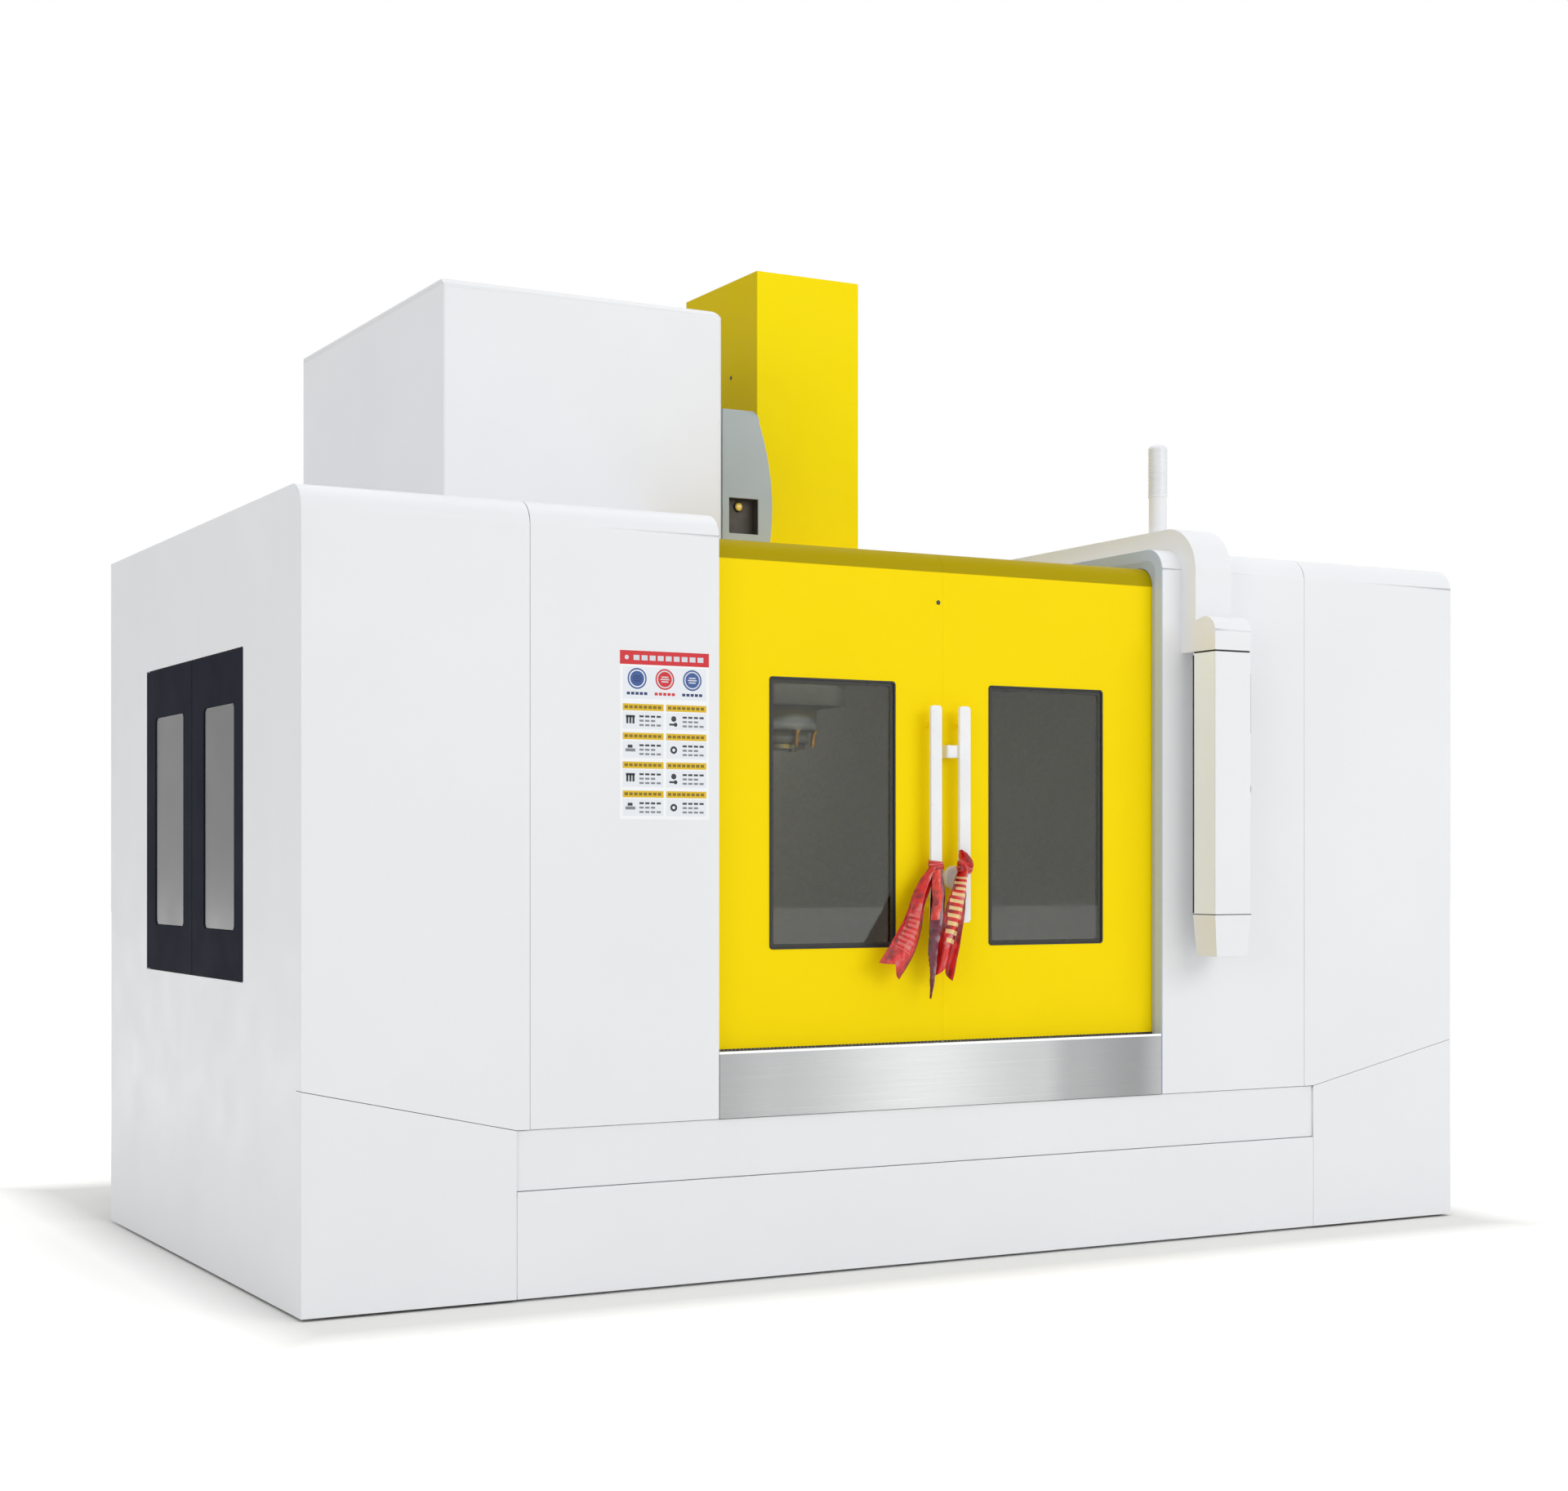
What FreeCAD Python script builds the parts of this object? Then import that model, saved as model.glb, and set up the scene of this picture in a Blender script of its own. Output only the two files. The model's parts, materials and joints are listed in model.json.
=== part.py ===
"""Vertical machining center with a fully enclosed guard, built as separate solids.

Lengths are millimetres. X runs to the right of the operator, Y runs from the front of the guard
to the back, and Z runs up from the floor. While the pieces are made, Y = 0 is the front face of
the sheet-metal guard; they are written out about the middle of the machine's footprint.
"""

import FreeCAD, Part
import math
import os

V = FreeCAD.Vector

# Facets round a large turned piece, a small one, a repeated one and a control on the panel.
large_sides = 16
small_sides = 10
repeat_sides = 8

# ---- guard: overall sheet metal -------------------------------------------------------------
guard_width = 4500.0
guard_height = 2455.0
guard_depth = 2290.0
sheet = 3.0
roll_radius = 85.0
seam_gap = 2.0
seam_flange = 30.0
groove_depth = 8.0
backing = 30.0
floor_gap = 8.0

wing_seam_x = 1530.0
skirt_seam_x = 1573.0
skirt_side_top = 670.0
base_top = 522.0
base_split = 336.0
base_recess = 8.0
base_flange = 45.0

# ---- door opening, doors and their tracks ---------------------------------------------------
opening_half = 880.0
opening_return = 40.0
door_bottom = 740.0
door_face = 60.0
door_depth = 40.0
door_roof_top = 2390.0
door_roof_radius = 70.0
door_roof_back = 440.0
door_overlap = 80.0
door_meet_gap = 1.5
door_travel = 740.0
window_inner = 186.0
window_outer = 666.0
window_low = 1058.0
window_high = 1946.0
window_corner = 12.0
glass_thickness = 8.0
glass_clearance = 1.5
handle_centre = 57.0
handle_width = 45.0
handle_thickness = 20.0
handle_low = 1139.0
handle_high = 1867.0
handle_standoff = 40.0
handle_corner = 8.0
post_radius = 9.0
post_inset = 60.0
track_rib_height = 4.0
track_drop = 8.0
apron_y = 130.0
tray_low = 340.0
track_rib_width = 4.0
roller_radius = 18.0
roller_width = 8.0
upper_channel_size = 40.0

# ---- window doors in the left side ----------------------------------------------------------
side_window_front = 586.0
side_window_back = 1768.0
side_window_low = 965.0
side_window_high = 2016.0
side_window_flange = 28.0
leaf_thickness = 26.0
leaf_gap = 3.0
leaf_pane_low = 1125.0
leaf_pane_high = 1847.0
leaf_pane_corner = 25.0
front_pane_start = 689.0
front_pane_end = 1036.0
rear_pane_start = 1286.0
rear_pane_end = 1650.0
leaf_pane_depth = 6.0
leaf_pane_recess = 4.0
leaf_pin_radius = 4.0
leaf_pin_offset = 14.0
leaf_pin_depth = 7.0
leaf_pin_length = 22.0
pin_clearance = 0.7

# ---- control arm, pendant and signal light --------------------------------------------------
arm_left = 967.0
arm_right = 1127.0
arm_proud = 78.0
arm_head_proud = 187.0
arm_head_drop = 371.0
arm_head_height = 121.0
arm_back = 1300.0
arm_notch = 10.0
pendant_axis_x = 1047.0
pendant_axis_y = -125.0
pendant_half_width = 80.0
pendant_half_depth = 62.0
pendant_low = 1160.0
pendant_gap = 6.0
pendant_tail_low = 1012.0
pendant_tail_taper = 12.0
pendant_shaft_radius = 25.0
pendant_edge = 6.0
screen_width = 92.0
screen_height = 190.0
screen_centre_z = 1900.0
screen_thickness = 4.0
tower_x = 1043.0
tower_y = 236.0
tower_radius = 35.0
tower_pole_height = 143.0
tower_lens_height = 191.0

# ---- spindle line and axis travels ----------------------------------------------------------
spindle_y = 1198.0
y_travel = 450.0
z_travel = 800.0

# ---- bed, saddle, table ---------------------------------------------------------------------
bed_bottom = 80.0
bed_top = 520.0
bed_half_width = 1250.0
bed_front = 310.0
bed_back = 3280.0
bed_wall = 60.0
foot_radius = 75.0
foot_height = 30.0
foot_screw_radius = 24.0
rail_height = 40.0
rail_width = 45.0
y_rail_inner = 420.0
y_rail_outer = 1080.0
saddle_half_length = 1400.0
saddle_half_depth = 400.0
saddle_thickness = 150.0
carriage_gap = 0.4
rail_float = 6.0
x_rail_offset = 290.0
table_half_length = 1000.0
table_half_depth = 450.0
table_top = 880.0
table_edge = 5.0
slot_count = 5
slot_pitch = 165.0
slot_width = 22.0
slot_depth = 38.0
slot_foot_width = 37.0
slot_foot_height = 16.0
gutter_width = 30.0
gutter_depth = 18.0
screw_radius = 25.0
screw_journal = 17.0
cover_plates = 5
cover_plate = 4.0
cover_fall = 34.0
cover_lap = 14.0
groove_half = 75.0
motor_size = 190.0
motor_length = 250.0

# ---- column, head and spindle ---------------------------------------------------------------
column_half_width = 450.0
column_front = 2100.0
column_back = 3100.0
column_top = 2900.0
column_wall = 55.0
column_foot_step = 120.0
column_foot_height = 90.0
z_rail_offset = 260.0
head_low = 1928.0
head_half_width = 200.0
head_front = 995.0
head_back = 1900.0
head_top = 2500.0
slide_half_width = 330.0
slide_low = 1850.0
slide_high = 2620.0
nose_low = 1770.0
nose_radius = 108.0
nose_upper_radius = 140.0
spindle_radius = 64.0
spindle_bore_wide = 34.9
spindle_bore_narrow = 20.0
spindle_bore_depth = 101.0
spindle_top = 2400.0
spindle_ring = 20.0
bearing_clearance = 0.3
cover_half_width = 216.0
cover_front = 982.0
cover_back = 1560.0
cover_low = 2010.0
cover_top = 3512.0
nozzle_count = 6
nozzle_radius = 9.0
nozzle_ring = 128.0

# ---- tool changer ---------------------------------------------------------------------------
changer_radius = 400.0
changer_low = 1900.0
changer_top = 2935.0
changer_front = 700.0
changer_back = 1500.0
changer_left = -504.0
changer_right = -308.0
changer_shoulder = -374.0
arm_hub_radius = 72.0
arm_thickness = 50.0
arm_nose_gap = 15.0
grip_radius = 50.0
grip_outer = 76.0
grip_mouth = 62.0
turret_radius = 66.0
turret_height = 210.0
shaft_radius = 34.0
sight_radius = 14.5
sight_x = -420.0
sight_z = 2600.0
recess_left = -478.0
recess_right = -362.0
recess_low = 2500.0
recess_high = 2625.0
recess_depth = 45.0
tool_count = 20
pot_ring = 560.0
pot_radius = 60.0
pot_length = 160.0
pot_flange_radius = 68.0
pot_flange = 18.0
pot_pin_radius = 12.0
pot_ear = 16.0
pot_neck = 30.0
disc_thickness = 30.0
hub_radius = 60.0
magazine_left = -1627.0
magazine_right = -621.0
magazine_front = 480.0
magazine_back = 1934.0
magazine_low = 1860.0
magazine_top = 3222.0
magazine_edge = 24.0
roof_cut_clearance = 14.0

# ---- cabinet and coolant tank behind the guard ----------------------------------------------
cabinet_width = 1160.0
cabinet_depth = 564.0
cabinet_side_inset = 190.0
cabinet_wall_gap = 6.0
cabinet_low = 300.0
cabinet_high = 2240.0
cabinet_door_depth = 25.0
cabinet_door_gap = 3.0
cabinet_leg = 60.0
cabinet_pin_radius = 6.0
cabinet_barrel_radius = 9.0
switch_radius = 32.0
tank_width = 1200.0
tank_depth = 720.0
tank_side_inset = 250.0
tank_wall_gap = 50.0
tank_low = 60.0
tank_high = 430.0
pump_radius = 85.0
pump_height = 260.0

# ---- panel controls -------------------------------------------------------------------------
stop_radius = 20.0
stop_z = 1300.0
button_radius = 13.0
button_z = 1380.0
knob_radius = 19.0
knob_z = 1480.0
wheel_radius = 46.0
wheel_z = 1600.0
seat_depth = 24.0

# ---- red ribbons tied round the door handles ------------------------------------------------
ribbon_thickness = 4.0
ribbon_width = 58.0
knot_radius = 30.0
knot_z = 1345.0
knot_front = 16.0
knot_wall = 9.0
knot_gap = 0.4

# Places that follow from the sizes above.
pendant_front = pendant_axis_y - pendant_half_depth
footprint_middle = (bed_back + pendant_front) / 2.0
half_guard = guard_width / 2.0
cabinet_right = half_guard - cabinet_side_inset
cabinet_left = cabinet_right - cabinet_width
cabinet_front = guard_depth + cabinet_wall_gap
cabinet_back = cabinet_front + cabinet_depth
tank_left = tank_side_inset - half_guard
tank_right = tank_left + tank_width
tank_front = guard_depth + tank_wall_gap
tank_back = tank_front + tank_depth
door_outer = opening_half + door_overlap
track_top = door_bottom - 3.0
saddle_low = bed_top + rail_height + rail_float
saddle_top = saddle_low + saddle_thickness
table_low = saddle_top + rail_height + rail_float
changer_x = -changer_radius
pot_x = -2.0 * changer_radius
pot_pivot_z = nose_low + pot_length
magazine_axis_z = pot_pivot_z + pot_ring
arm_top = nose_low - arm_nose_gap
disc_right = pot_x + pot_radius + 40.0 + disc_thickness
arm_head_low = guard_height - arm_head_drop
arm_head_top = arm_head_low + arm_head_height
pendant_top = arm_head_low - pendant_gap
tower_split = guard_height + arm_proud + tower_pole_height
tower_top = tower_split + tower_lens_height


def box(x0, x1, y0, y1, z0, z1):
    return Part.makeBox(x1 - x0, y1 - y0, z1 - z0, V(x0, y0, z0))


def ring_corners(radius, centre, direction, sides):
    """Corners of a regular polygon square to a direction."""
    n = V(*direction).normalize()
    first = n.cross(V(0.0, 0.0, 1.0) if abs(n.z) < 0.9 else V(1.0, 0.0, 0.0)).normalize()
    second = n.cross(first)
    corners = []
    for index in range(sides):
        angle = 2.0 * math.pi * (index + 0.5) / sides
        corners.append(V(*centre) + first * (radius * math.cos(angle)) + second * (radius * math.sin(angle)))
    return corners


def flat_face(corners):
    return Part.Face(Part.makePolygon(corners + [corners[0]]))


def closed_solid(faces):
    """A solid from the flat faces that enclose it."""
    solid = Part.Solid(Part.Shell(faces))
    if solid.Volume < 0.0:
        solid.reverse()
    return solid


def bar(radius, start, end, sides=small_sides, end_radius=None):
    """A small round piece with flat facets; it tapers where an end radius is given."""
    span = V(*end) - V(*start)
    near = ring_corners(radius, start, span, sides)
    if end_radius is None:
        return flat_face(near).extrude(span)
    far = ring_corners(end_radius, end, span, sides)
    faces = [flat_face(near), flat_face(far)]
    for index in range(sides):
        after = (index + 1) % sides
        faces.append(flat_face([near[index], near[after], far[after], far[index]]))
    return closed_solid(faces)


def bore(radius, start, end, sides=small_sides):
    """The space round a turned piece of that radius, with the running clearance on every side."""
    return bar((radius + bearing_clearance) / math.cos(math.pi / sides), start, end, sides)


def fuse(solids):
    """One solid from pieces that overlap or meet."""
    return solids[0].multiFuse(solids[1:]).removeSplitter()


def prism(points, direction):
    """A straight-sided solid from a closed outline."""
    wire = Part.makePolygon([V(*p) for p in points] + [V(*points[0])])
    return Part.Face(wire).extrude(V(*direction))


def along(axis):
    """Picks straight edges that run along one axis, named by 0, 1 or 2."""

    def chosen(edge):
        if not isinstance(edge.Curve, Part.Line):
            return False
        span = edge.Vertexes[-1].Point - edge.Vertexes[0].Point
        return abs(abs(span[axis]) - span.Length) < 1e-6

    return chosen


def cut_box(x0, x1, y0, y1, z0, z1, radius, axis):
    """A box whose four edges along one axis are cut flat, close to a rounding of that radius."""
    solid = box(x0, x1, y0, y1, z0, z1)
    leg = radius * (2.0 - math.sqrt(2.0))
    return solid.makeChamfer(leg, [e for e in solid.Edges if along(axis)(e)])


def rolled_face(front, low, top, back, radius, x):
    """The upright outline of a panel that rolls over into a roof, filled down to its low edge."""
    s = math.sin(math.pi / 4.0)
    centre_y = front + radius
    centre_z = top - radius
    middle = V(x, centre_y - radius * s, centre_z + radius * s)
    edges = [
        Part.LineSegment(V(x, front, low), V(x, front, centre_z)).toShape(),
        Part.Arc(V(x, front, centre_z), middle, V(x, centre_y, top)).toShape(),
        Part.LineSegment(V(x, centre_y, top), V(x, back, top)).toShape(),
        Part.LineSegment(V(x, back, top), V(x, back, low)).toShape(),
        Part.LineSegment(V(x, back, low), V(x, front, low)).toShape(),
    ]
    return Part.Face(Part.Wire(edges))


def rolled_solid(front, low, top, back, radius, x0, x1):
    return rolled_face(front, low, top, back, radius, x0).extrude(V(x1 - x0, 0, 0))


def rolled_band(front, low, top, back, radius, depth, x0, x1):
    """A sheet or flange of one depth that goes up the front and rolls back over the roof."""
    outer = rolled_solid(front, low, top, back, radius, x0, x1)
    inner = rolled_solid(
        front + depth, low - 1.0, top - depth, back + 1.0, radius - depth, x0 - 1.0, x1 + 1.0
    )
    return outer.cut(inner)


# ---- guard covers ---------------------------------------------------------------------------


def magazine_roof_cut():
    c = roof_cut_clearance
    low = guard_height - 2.0 * roll_radius
    high = guard_height + roll_radius
    return box(
        magazine_left - c, -opening_half + 1.0, magazine_front - c, magazine_back + c, low, high
    )


def below_skirt_line(side, extra):
    """The space under the slanted joint between a wing and its skirt."""
    outer_x = side * (half_guard + 10.0)
    slope = (skirt_side_top - base_top) / (half_guard - skirt_seam_x)
    return prism(
        [
            (outer_x, -10.0, skirt_side_top + extra + 10.0 * slope),
            (side * skirt_seam_x, -10.0, base_top + extra),
            (0.0, -10.0, base_top + extra),
            (0.0, -10.0, -50.0),
            (outer_x, -10.0, -50.0),
        ],
        (0.0, 60.0, 0.0),
    )


def wing(side):
    """Corner cover: front, roof and side wall folded and welded as one shell."""
    outer_x = side * half_guard
    inner_x = side * (wing_seam_x + seam_gap / 2.0)
    x0, x1 = sorted((outer_x, inner_x))
    front = rolled_band(0.0, base_top, guard_height, guard_depth, roll_radius, sheet, x0, x1)
    wall_x = sorted((outer_x, outer_x - side * sheet))
    wall = rolled_solid(
        0.0, skirt_side_top, guard_height, guard_depth, roll_radius, wall_x[0], wall_x[1]
    )
    flange = seam_joint(inner_x, side, base_top)
    back_x = sorted((outer_x, outer_x - side * seam_flange))
    back = box(
        back_x[0], back_x[1], guard_depth - sheet, guard_depth, skirt_side_top, guard_height
    )
    shell = fuse([front, wall, flange, back])
    shell = shell.cut(below_skirt_line(side, seam_gap))
    if side < 0:
        shell = shell.cut(magazine_roof_cut())
        shell = shell.cut(side_window_cut(0.0))
        shell = fuse([shell, side_window_frame()])
    return shell


def seam_joint(edge_x, side, low):
    """Flange folded in at a seam. Behind the visible groove it steps out to meet its neighbour."""
    high = guard_height - roll_radius
    x0, x1 = sorted((edge_x, edge_x + side * sheet))
    fold = box(x0, x1, 0.0, seam_flange, low, high)
    pad_x = sorted((edge_x + side * 0.5, edge_x - side * seam_gap / 2.0))
    pad = box(pad_x[0], pad_x[1], groove_depth, seam_flange, low, high)
    return fuse([fold, pad])


def side_window_cut(margin):
    return box(
        -half_guard - 5.0,
        -half_guard + side_window_flange + 5.0,
        side_window_front - margin,
        side_window_back + margin,
        side_window_low - margin,
        side_window_high + margin,
    )


def side_window_frame():
    """The folded return round the opening of the side window doors."""
    frame = box(
        -half_guard,
        -half_guard + side_window_flange,
        side_window_front - sheet,
        side_window_back + sheet,
        side_window_low - sheet,
        side_window_high + sheet,
    )
    return frame.cut(side_window_cut(0.0))


def skirt(side):
    """Lower corner cover, folded round the corner, with the slanted top edge in front.

    A strip inside the side wall and two tongues in front join it to the covers beside it.
    """
    outer_x = side * half_guard
    inner_x = side * (skirt_seam_x + seam_gap / 2.0)
    x0, x1 = sorted((outer_x, inner_x))
    top = skirt_side_top
    body = box(x0, x1, 0.0, guard_depth, floor_gap, top)
    hollow_x = sorted((outer_x - side * sheet, inner_x - side * sheet))
    hollow = box(
        hollow_x[0], hollow_x[1], sheet, guard_depth + 1.0, floor_gap - 1.0, top + 1.0
    )
    front = box(x0, x1, -1.0, sheet + 1.0, base_top - 50.0, top + 1.0)
    shell = body.cut(hollow).cut(front.cut(below_skirt_line(side, 0.0)))
    flange_x = sorted((inner_x, inner_x + side * sheet))
    flange = box(flange_x[0], flange_x[1], 0.0, seam_flange, floor_gap, base_top - seam_gap)
    strip_x = sorted((outer_x - side * sheet, outer_x - side * sheet * 2.0))
    strip_end = seam_flange * 2.0
    strip = box(strip_x[0], strip_x[1], strip_end, guard_depth - strip_end, top - backing, top + backing)
    tongue_x = sorted((inner_x + side * sheet, inner_x - side * backing))
    lower = box(tongue_x[0], tongue_x[1], sheet, sheet * 2.0, floor_gap + 20.0, base_split - 20.0)
    face = base_recess + sheet
    upper = box(tongue_x[0], tongue_x[1], face, face + sheet, base_split + 20.0, base_top - 20.0)
    return fuse([shell, flange, strip, lower, upper])


def base_cover(low, high, face):
    """A folded strip of the base between the skirts, with flanges turned in above and below."""
    half = skirt_seam_x - seam_gap / 2.0
    strip = box(-half, half, face, face + sheet, low, high)
    upper = box(-half, half, face, face + base_flange, high - sheet, high)
    lower = box(-half, half, face, face + base_flange, low, low + sheet)
    return fuse([strip, upper, lower])


def inner_panel(side):
    """Front panel between a wing and the door opening, rolled over into its part of the roof."""
    inner_x = side * opening_half
    outer_x = side * (wing_seam_x - seam_gap / 2.0)
    x0, x1 = sorted((inner_x, outer_x))
    back = guard_depth if side > 0 else magazine_front - roof_cut_clearance
    low = base_top + seam_gap
    skin = rolled_band(0.0, low, guard_height, back, roll_radius, sheet, x0, x1)
    return_x = sorted((inner_x, inner_x + side * sheet))
    opening_edge = rolled_band(
        0.0, low, guard_height, back, roll_radius, opening_return, return_x[0], return_x[1]
    )
    seam = seam_joint(outer_x, -side, low)
    foot = box(x0, x1, 0.0, seam_flange, low, low + sheet)
    return fuse([skin, opening_edge, seam, foot])


def sill_panel():
    """Stainless panel under the doors, folded back along its top and bottom."""
    half = opening_half - seam_gap
    low = base_top + seam_gap
    high = track_top - track_drop
    face = box(-half, half, 0.0, sheet, low, high)
    top = box(-half, half, 0.0, seam_flange, high - sheet, high)
    foot = box(-half, half, 0.0, seam_flange, low, low + sheet)
    return fuse([face, top, foot])


def door_tracks():
    """Sill with the lower running rib, and the two channels that guide the doors' upper rollers."""
    half = door_outer + door_travel + 15.0
    inner = opening_half - seam_gap
    rib_y = door_face + door_depth / 2.0
    low = track_top - track_drop
    plate_top = track_top - track_rib_height
    plate = box(-half, half, opening_return + 6.0, apron_y, low, plate_top)
    lip = box(-inner, inner, 2.0, opening_return + 7.0, low, plate_top)
    front = box(-inner, inner, 2.0, 5.0, low, track_top)
    rib = box(
        -half, half, rib_y - track_rib_width / 2.0, rib_y + track_rib_width / 2.0, plate_top - 1.0, track_top
    )
    apron = box(-half, half, apron_y - sheet, apron_y, tray_low, plate_top)
    motor_half = motor_size / 2.0 + 10.0
    apron = apron.cut(
        box(-motor_half, motor_half, 0.0, apron_y + 1.0, tray_low + sheet, y_screw_z() + motor_half)
    )
    return Part.makeCompound([fuse([plate, lip, front, rib, apron]), upper_channel(1), upper_channel(-1)])


def upper_channel_y():
    return 170.0


def upper_channel(side):
    """Inverted channel under the roof; a door's guide rollers run inside it."""
    y = upper_channel_y()
    near = side * (opening_half + sheet + 1.0)
    far = side * (door_outer + door_travel + 15.0)
    x0, x1 = sorted((near, far))
    top = guard_height - sheet
    low = top - upper_channel_size
    half = upper_channel_size / 2.0
    outer = box(x0, x1, y - half, y + half, low, top)
    inner = box(x0 - 1.0, x1 + 1.0, y - half + sheet, y + half - sheet, low - 1.0, top - sheet)
    return outer.cut(inner)


# ---- doors ----------------------------------------------------------------------------------


def door(side):
    """Sliding door: a rolled sheet with folded edges, a window frame and its rollers."""
    near = side * door_meet_gap
    far = side * door_outer
    x0, x1 = sorted((near, far))
    skin = rolled_band(
        door_face, door_bottom, door_roof_top, door_roof_back, door_roof_radius, sheet, x0, x1
    )
    edges = []
    for x in (near, far - side * sheet):
        edge_x = sorted((x, x + side * sheet))
        edges.append(
            rolled_band(
                door_face,
                door_bottom,
                door_roof_top,
                door_roof_back,
                door_roof_radius,
                door_depth,
                edge_x[0],
                edge_x[1],
            )
        )
    foot = box(x0, x1, door_face, door_face + door_depth, door_bottom, door_bottom + sheet)
    back = box(
        x0, x1, door_roof_back - sheet, door_roof_back, door_roof_top - door_depth, door_roof_top
    )
    window_x = sorted((side * window_inner, side * window_outer))
    surround = box(
        window_x[0] - sheet,
        window_x[1] + sheet,
        door_face,
        door_face + 25.0,
        window_low - sheet,
        window_high + sheet,
    )
    ledge = box(
        window_x[0] - sheet,
        window_x[1] + sheet,
        door_face + glass_thickness + 4.0,
        door_face + 25.0,
        window_low - sheet,
        window_high + sheet,
    ).cut(
        box(
            window_x[0] + 14.0,
            window_x[1] - 14.0,
            door_face,
            door_face + 30.0,
            window_low + 14.0,
            window_high - 14.0,
        )
    )
    shell = fuse([skin, foot, back] + edges + [surround])
    shell = shell.cut(window_hole(side))
    shell = fuse([shell, ledge])
    for x in door_roller_places(side):
        slot = box(
            x - roller_radius - 2.0,
            x + roller_radius + 2.0,
            door_face + sheet,
            door_face + door_depth - 2.0,
            door_bottom - 1.0,
            door_bottom + sheet + 1.0,
        )
        shell = shell.cut(slot)
    return fuse([shell] + door_rollers(side))


def window_hole(side):
    x0, x1 = sorted((side * window_inner, side * window_outer))
    return cut_box(
        x0, x1, door_face - 5.0, door_face + 60.0, window_low, window_high, window_corner, 1
    )


def door_roller_places(side):
    return [side * (opening_half - 60.0), side * 90.0]


def door_rollers(side):
    """Wheels on the lower rib, and guide rollers in the upper channel."""
    pieces = []
    rib_y = door_face + door_depth / 2.0
    flat_radius = roller_radius * math.cos(math.pi / repeat_sides)
    centre_z = track_top + bearing_clearance + flat_radius
    for x in door_roller_places(side):
        wheel_start = (x, rib_y - roller_width / 2.0, centre_z)
        wheel_end = (x, rib_y + roller_width / 2.0, centre_z)
        pieces.append(bar(roller_radius, wheel_start, wheel_end, repeat_sides))
        pieces.append(bar(6.0, (x, door_face + 1.0, centre_z), wheel_end, 4))
    y = upper_channel_y()
    guide_radius = upper_channel_size / 2.0 - sheet - 0.5
    guide_low = guard_height - sheet - upper_channel_size + 4.0
    for x in (side * (door_outer - 15.0), side * (door_outer - 58.0)):
        pieces.append(bar(guide_radius, (x, y, guide_low), (x, y, guide_low + 22.0), repeat_sides))
        pieces.append(bar(6.0, (x, y, door_roof_top - 1.0), (x, y, guide_low + 1.0), 4))
    return pieces


def door_glass(side):
    x0, x1 = sorted((side * window_inner, side * window_outer))
    c = glass_clearance
    return cut_box(
        x0 + c,
        x1 - c,
        door_face + 4.0,
        door_face + 4.0 + glass_thickness,
        window_low + c,
        window_high - c,
        window_corner - c,
        1,
    )


def handle(side):
    """Flat pull bar with rounded edges on two round posts."""
    x0 = side * handle_centre - handle_width / 2.0
    x1 = side * handle_centre + handle_width / 2.0
    bar_back = door_face - handle_standoff
    grip = cut_box(
        x0, x1, bar_back - handle_thickness, bar_back, handle_low, handle_high, handle_corner, 1
    )
    posts = [
        bar(post_radius, (side * handle_centre, bar_back - 1.0, z), (side * handle_centre, door_face, z), 8)
        for z in (handle_low + post_inset, handle_high - post_inset)
    ]
    return fuse([grip] + posts)


def door_locks():
    """Square striker beside the right handle and the round lock case below it."""
    striker = cut_box(
        handle_centre - handle_width / 2.0 - 43.0,
        handle_centre - handle_width / 2.0 - 1.0,
        door_face - 46.0,
        door_face,
        1693.0,
        1736.0,
        4.0,
        1,
    )
    case = bar(40.0, (42.0, door_face - 16.0, 1290.0), (42.0, door_face, 1290.0), small_sides)
    return Part.makeCompound([striker, case])


# ---- window doors in the left side ----------------------------------------------------------


def leaf_span(front_leaf):
    """Start and end of one leaf along the side wall."""
    middle = (side_window_front + side_window_back) / 2.0
    if front_leaf:
        return side_window_front + leaf_gap, middle - leaf_gap / 2.0
    return middle + leaf_gap / 2.0, side_window_back - leaf_gap


def leaf_pin_y(front_leaf):
    start, end = leaf_span(front_leaf)
    return start + leaf_pin_offset if front_leaf else end - leaf_pin_offset


def leaf_pins(radius):
    """Vertical pivots through the frame into the top and bottom of each leaf."""
    x = -half_guard + leaf_pin_depth
    pins = []
    for front_leaf in (True, False):
        y = leaf_pin_y(front_leaf)
        low = side_window_low
        high = side_window_high
        pins.append(bar(radius, (x, y, low), (x, y, low + leaf_pin_length), repeat_sides))
        pins.append(bar(radius, (x, y, high - leaf_pin_length), (x, y, high), repeat_sides))
    return pins


def leaf_pane(front_leaf, margin, x0, x1):
    start = front_pane_start if front_leaf else rear_pane_start
    end = front_pane_end if front_leaf else rear_pane_end
    return cut_box(
        x0,
        x1,
        start + margin,
        end - margin,
        leaf_pane_low + margin,
        leaf_pane_high - margin,
        leaf_pane_corner - margin,
        0,
    )


def leaf(front_leaf):
    """A dark window frame with a rebate for its pane and bores for its pivots."""
    start, end = leaf_span(front_leaf)
    low = side_window_low + leaf_gap
    high = side_window_high - leaf_gap
    face = -half_guard
    frame = box(face, face + leaf_thickness, start, end, low, high)
    frame = frame.cut(leaf_pane(front_leaf, 12.0, face - 1.0, face + leaf_thickness + 1.0))
    rebate = leaf_pane_recess + leaf_pane_depth + 0.5
    frame = frame.cut(leaf_pane(front_leaf, 0.0, face - 1.0, face + rebate))
    for pin_space in leaf_pins(leaf_pin_radius + pin_clearance):
        frame = frame.cut(pin_space)
    return frame


def leaf_glass(front_leaf):
    face = -half_guard + leaf_pane_recess
    return leaf_pane(front_leaf, glass_clearance, face, face + leaf_pane_depth)


# ---- control arm, pendant, signal light -----------------------------------------------------


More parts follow.
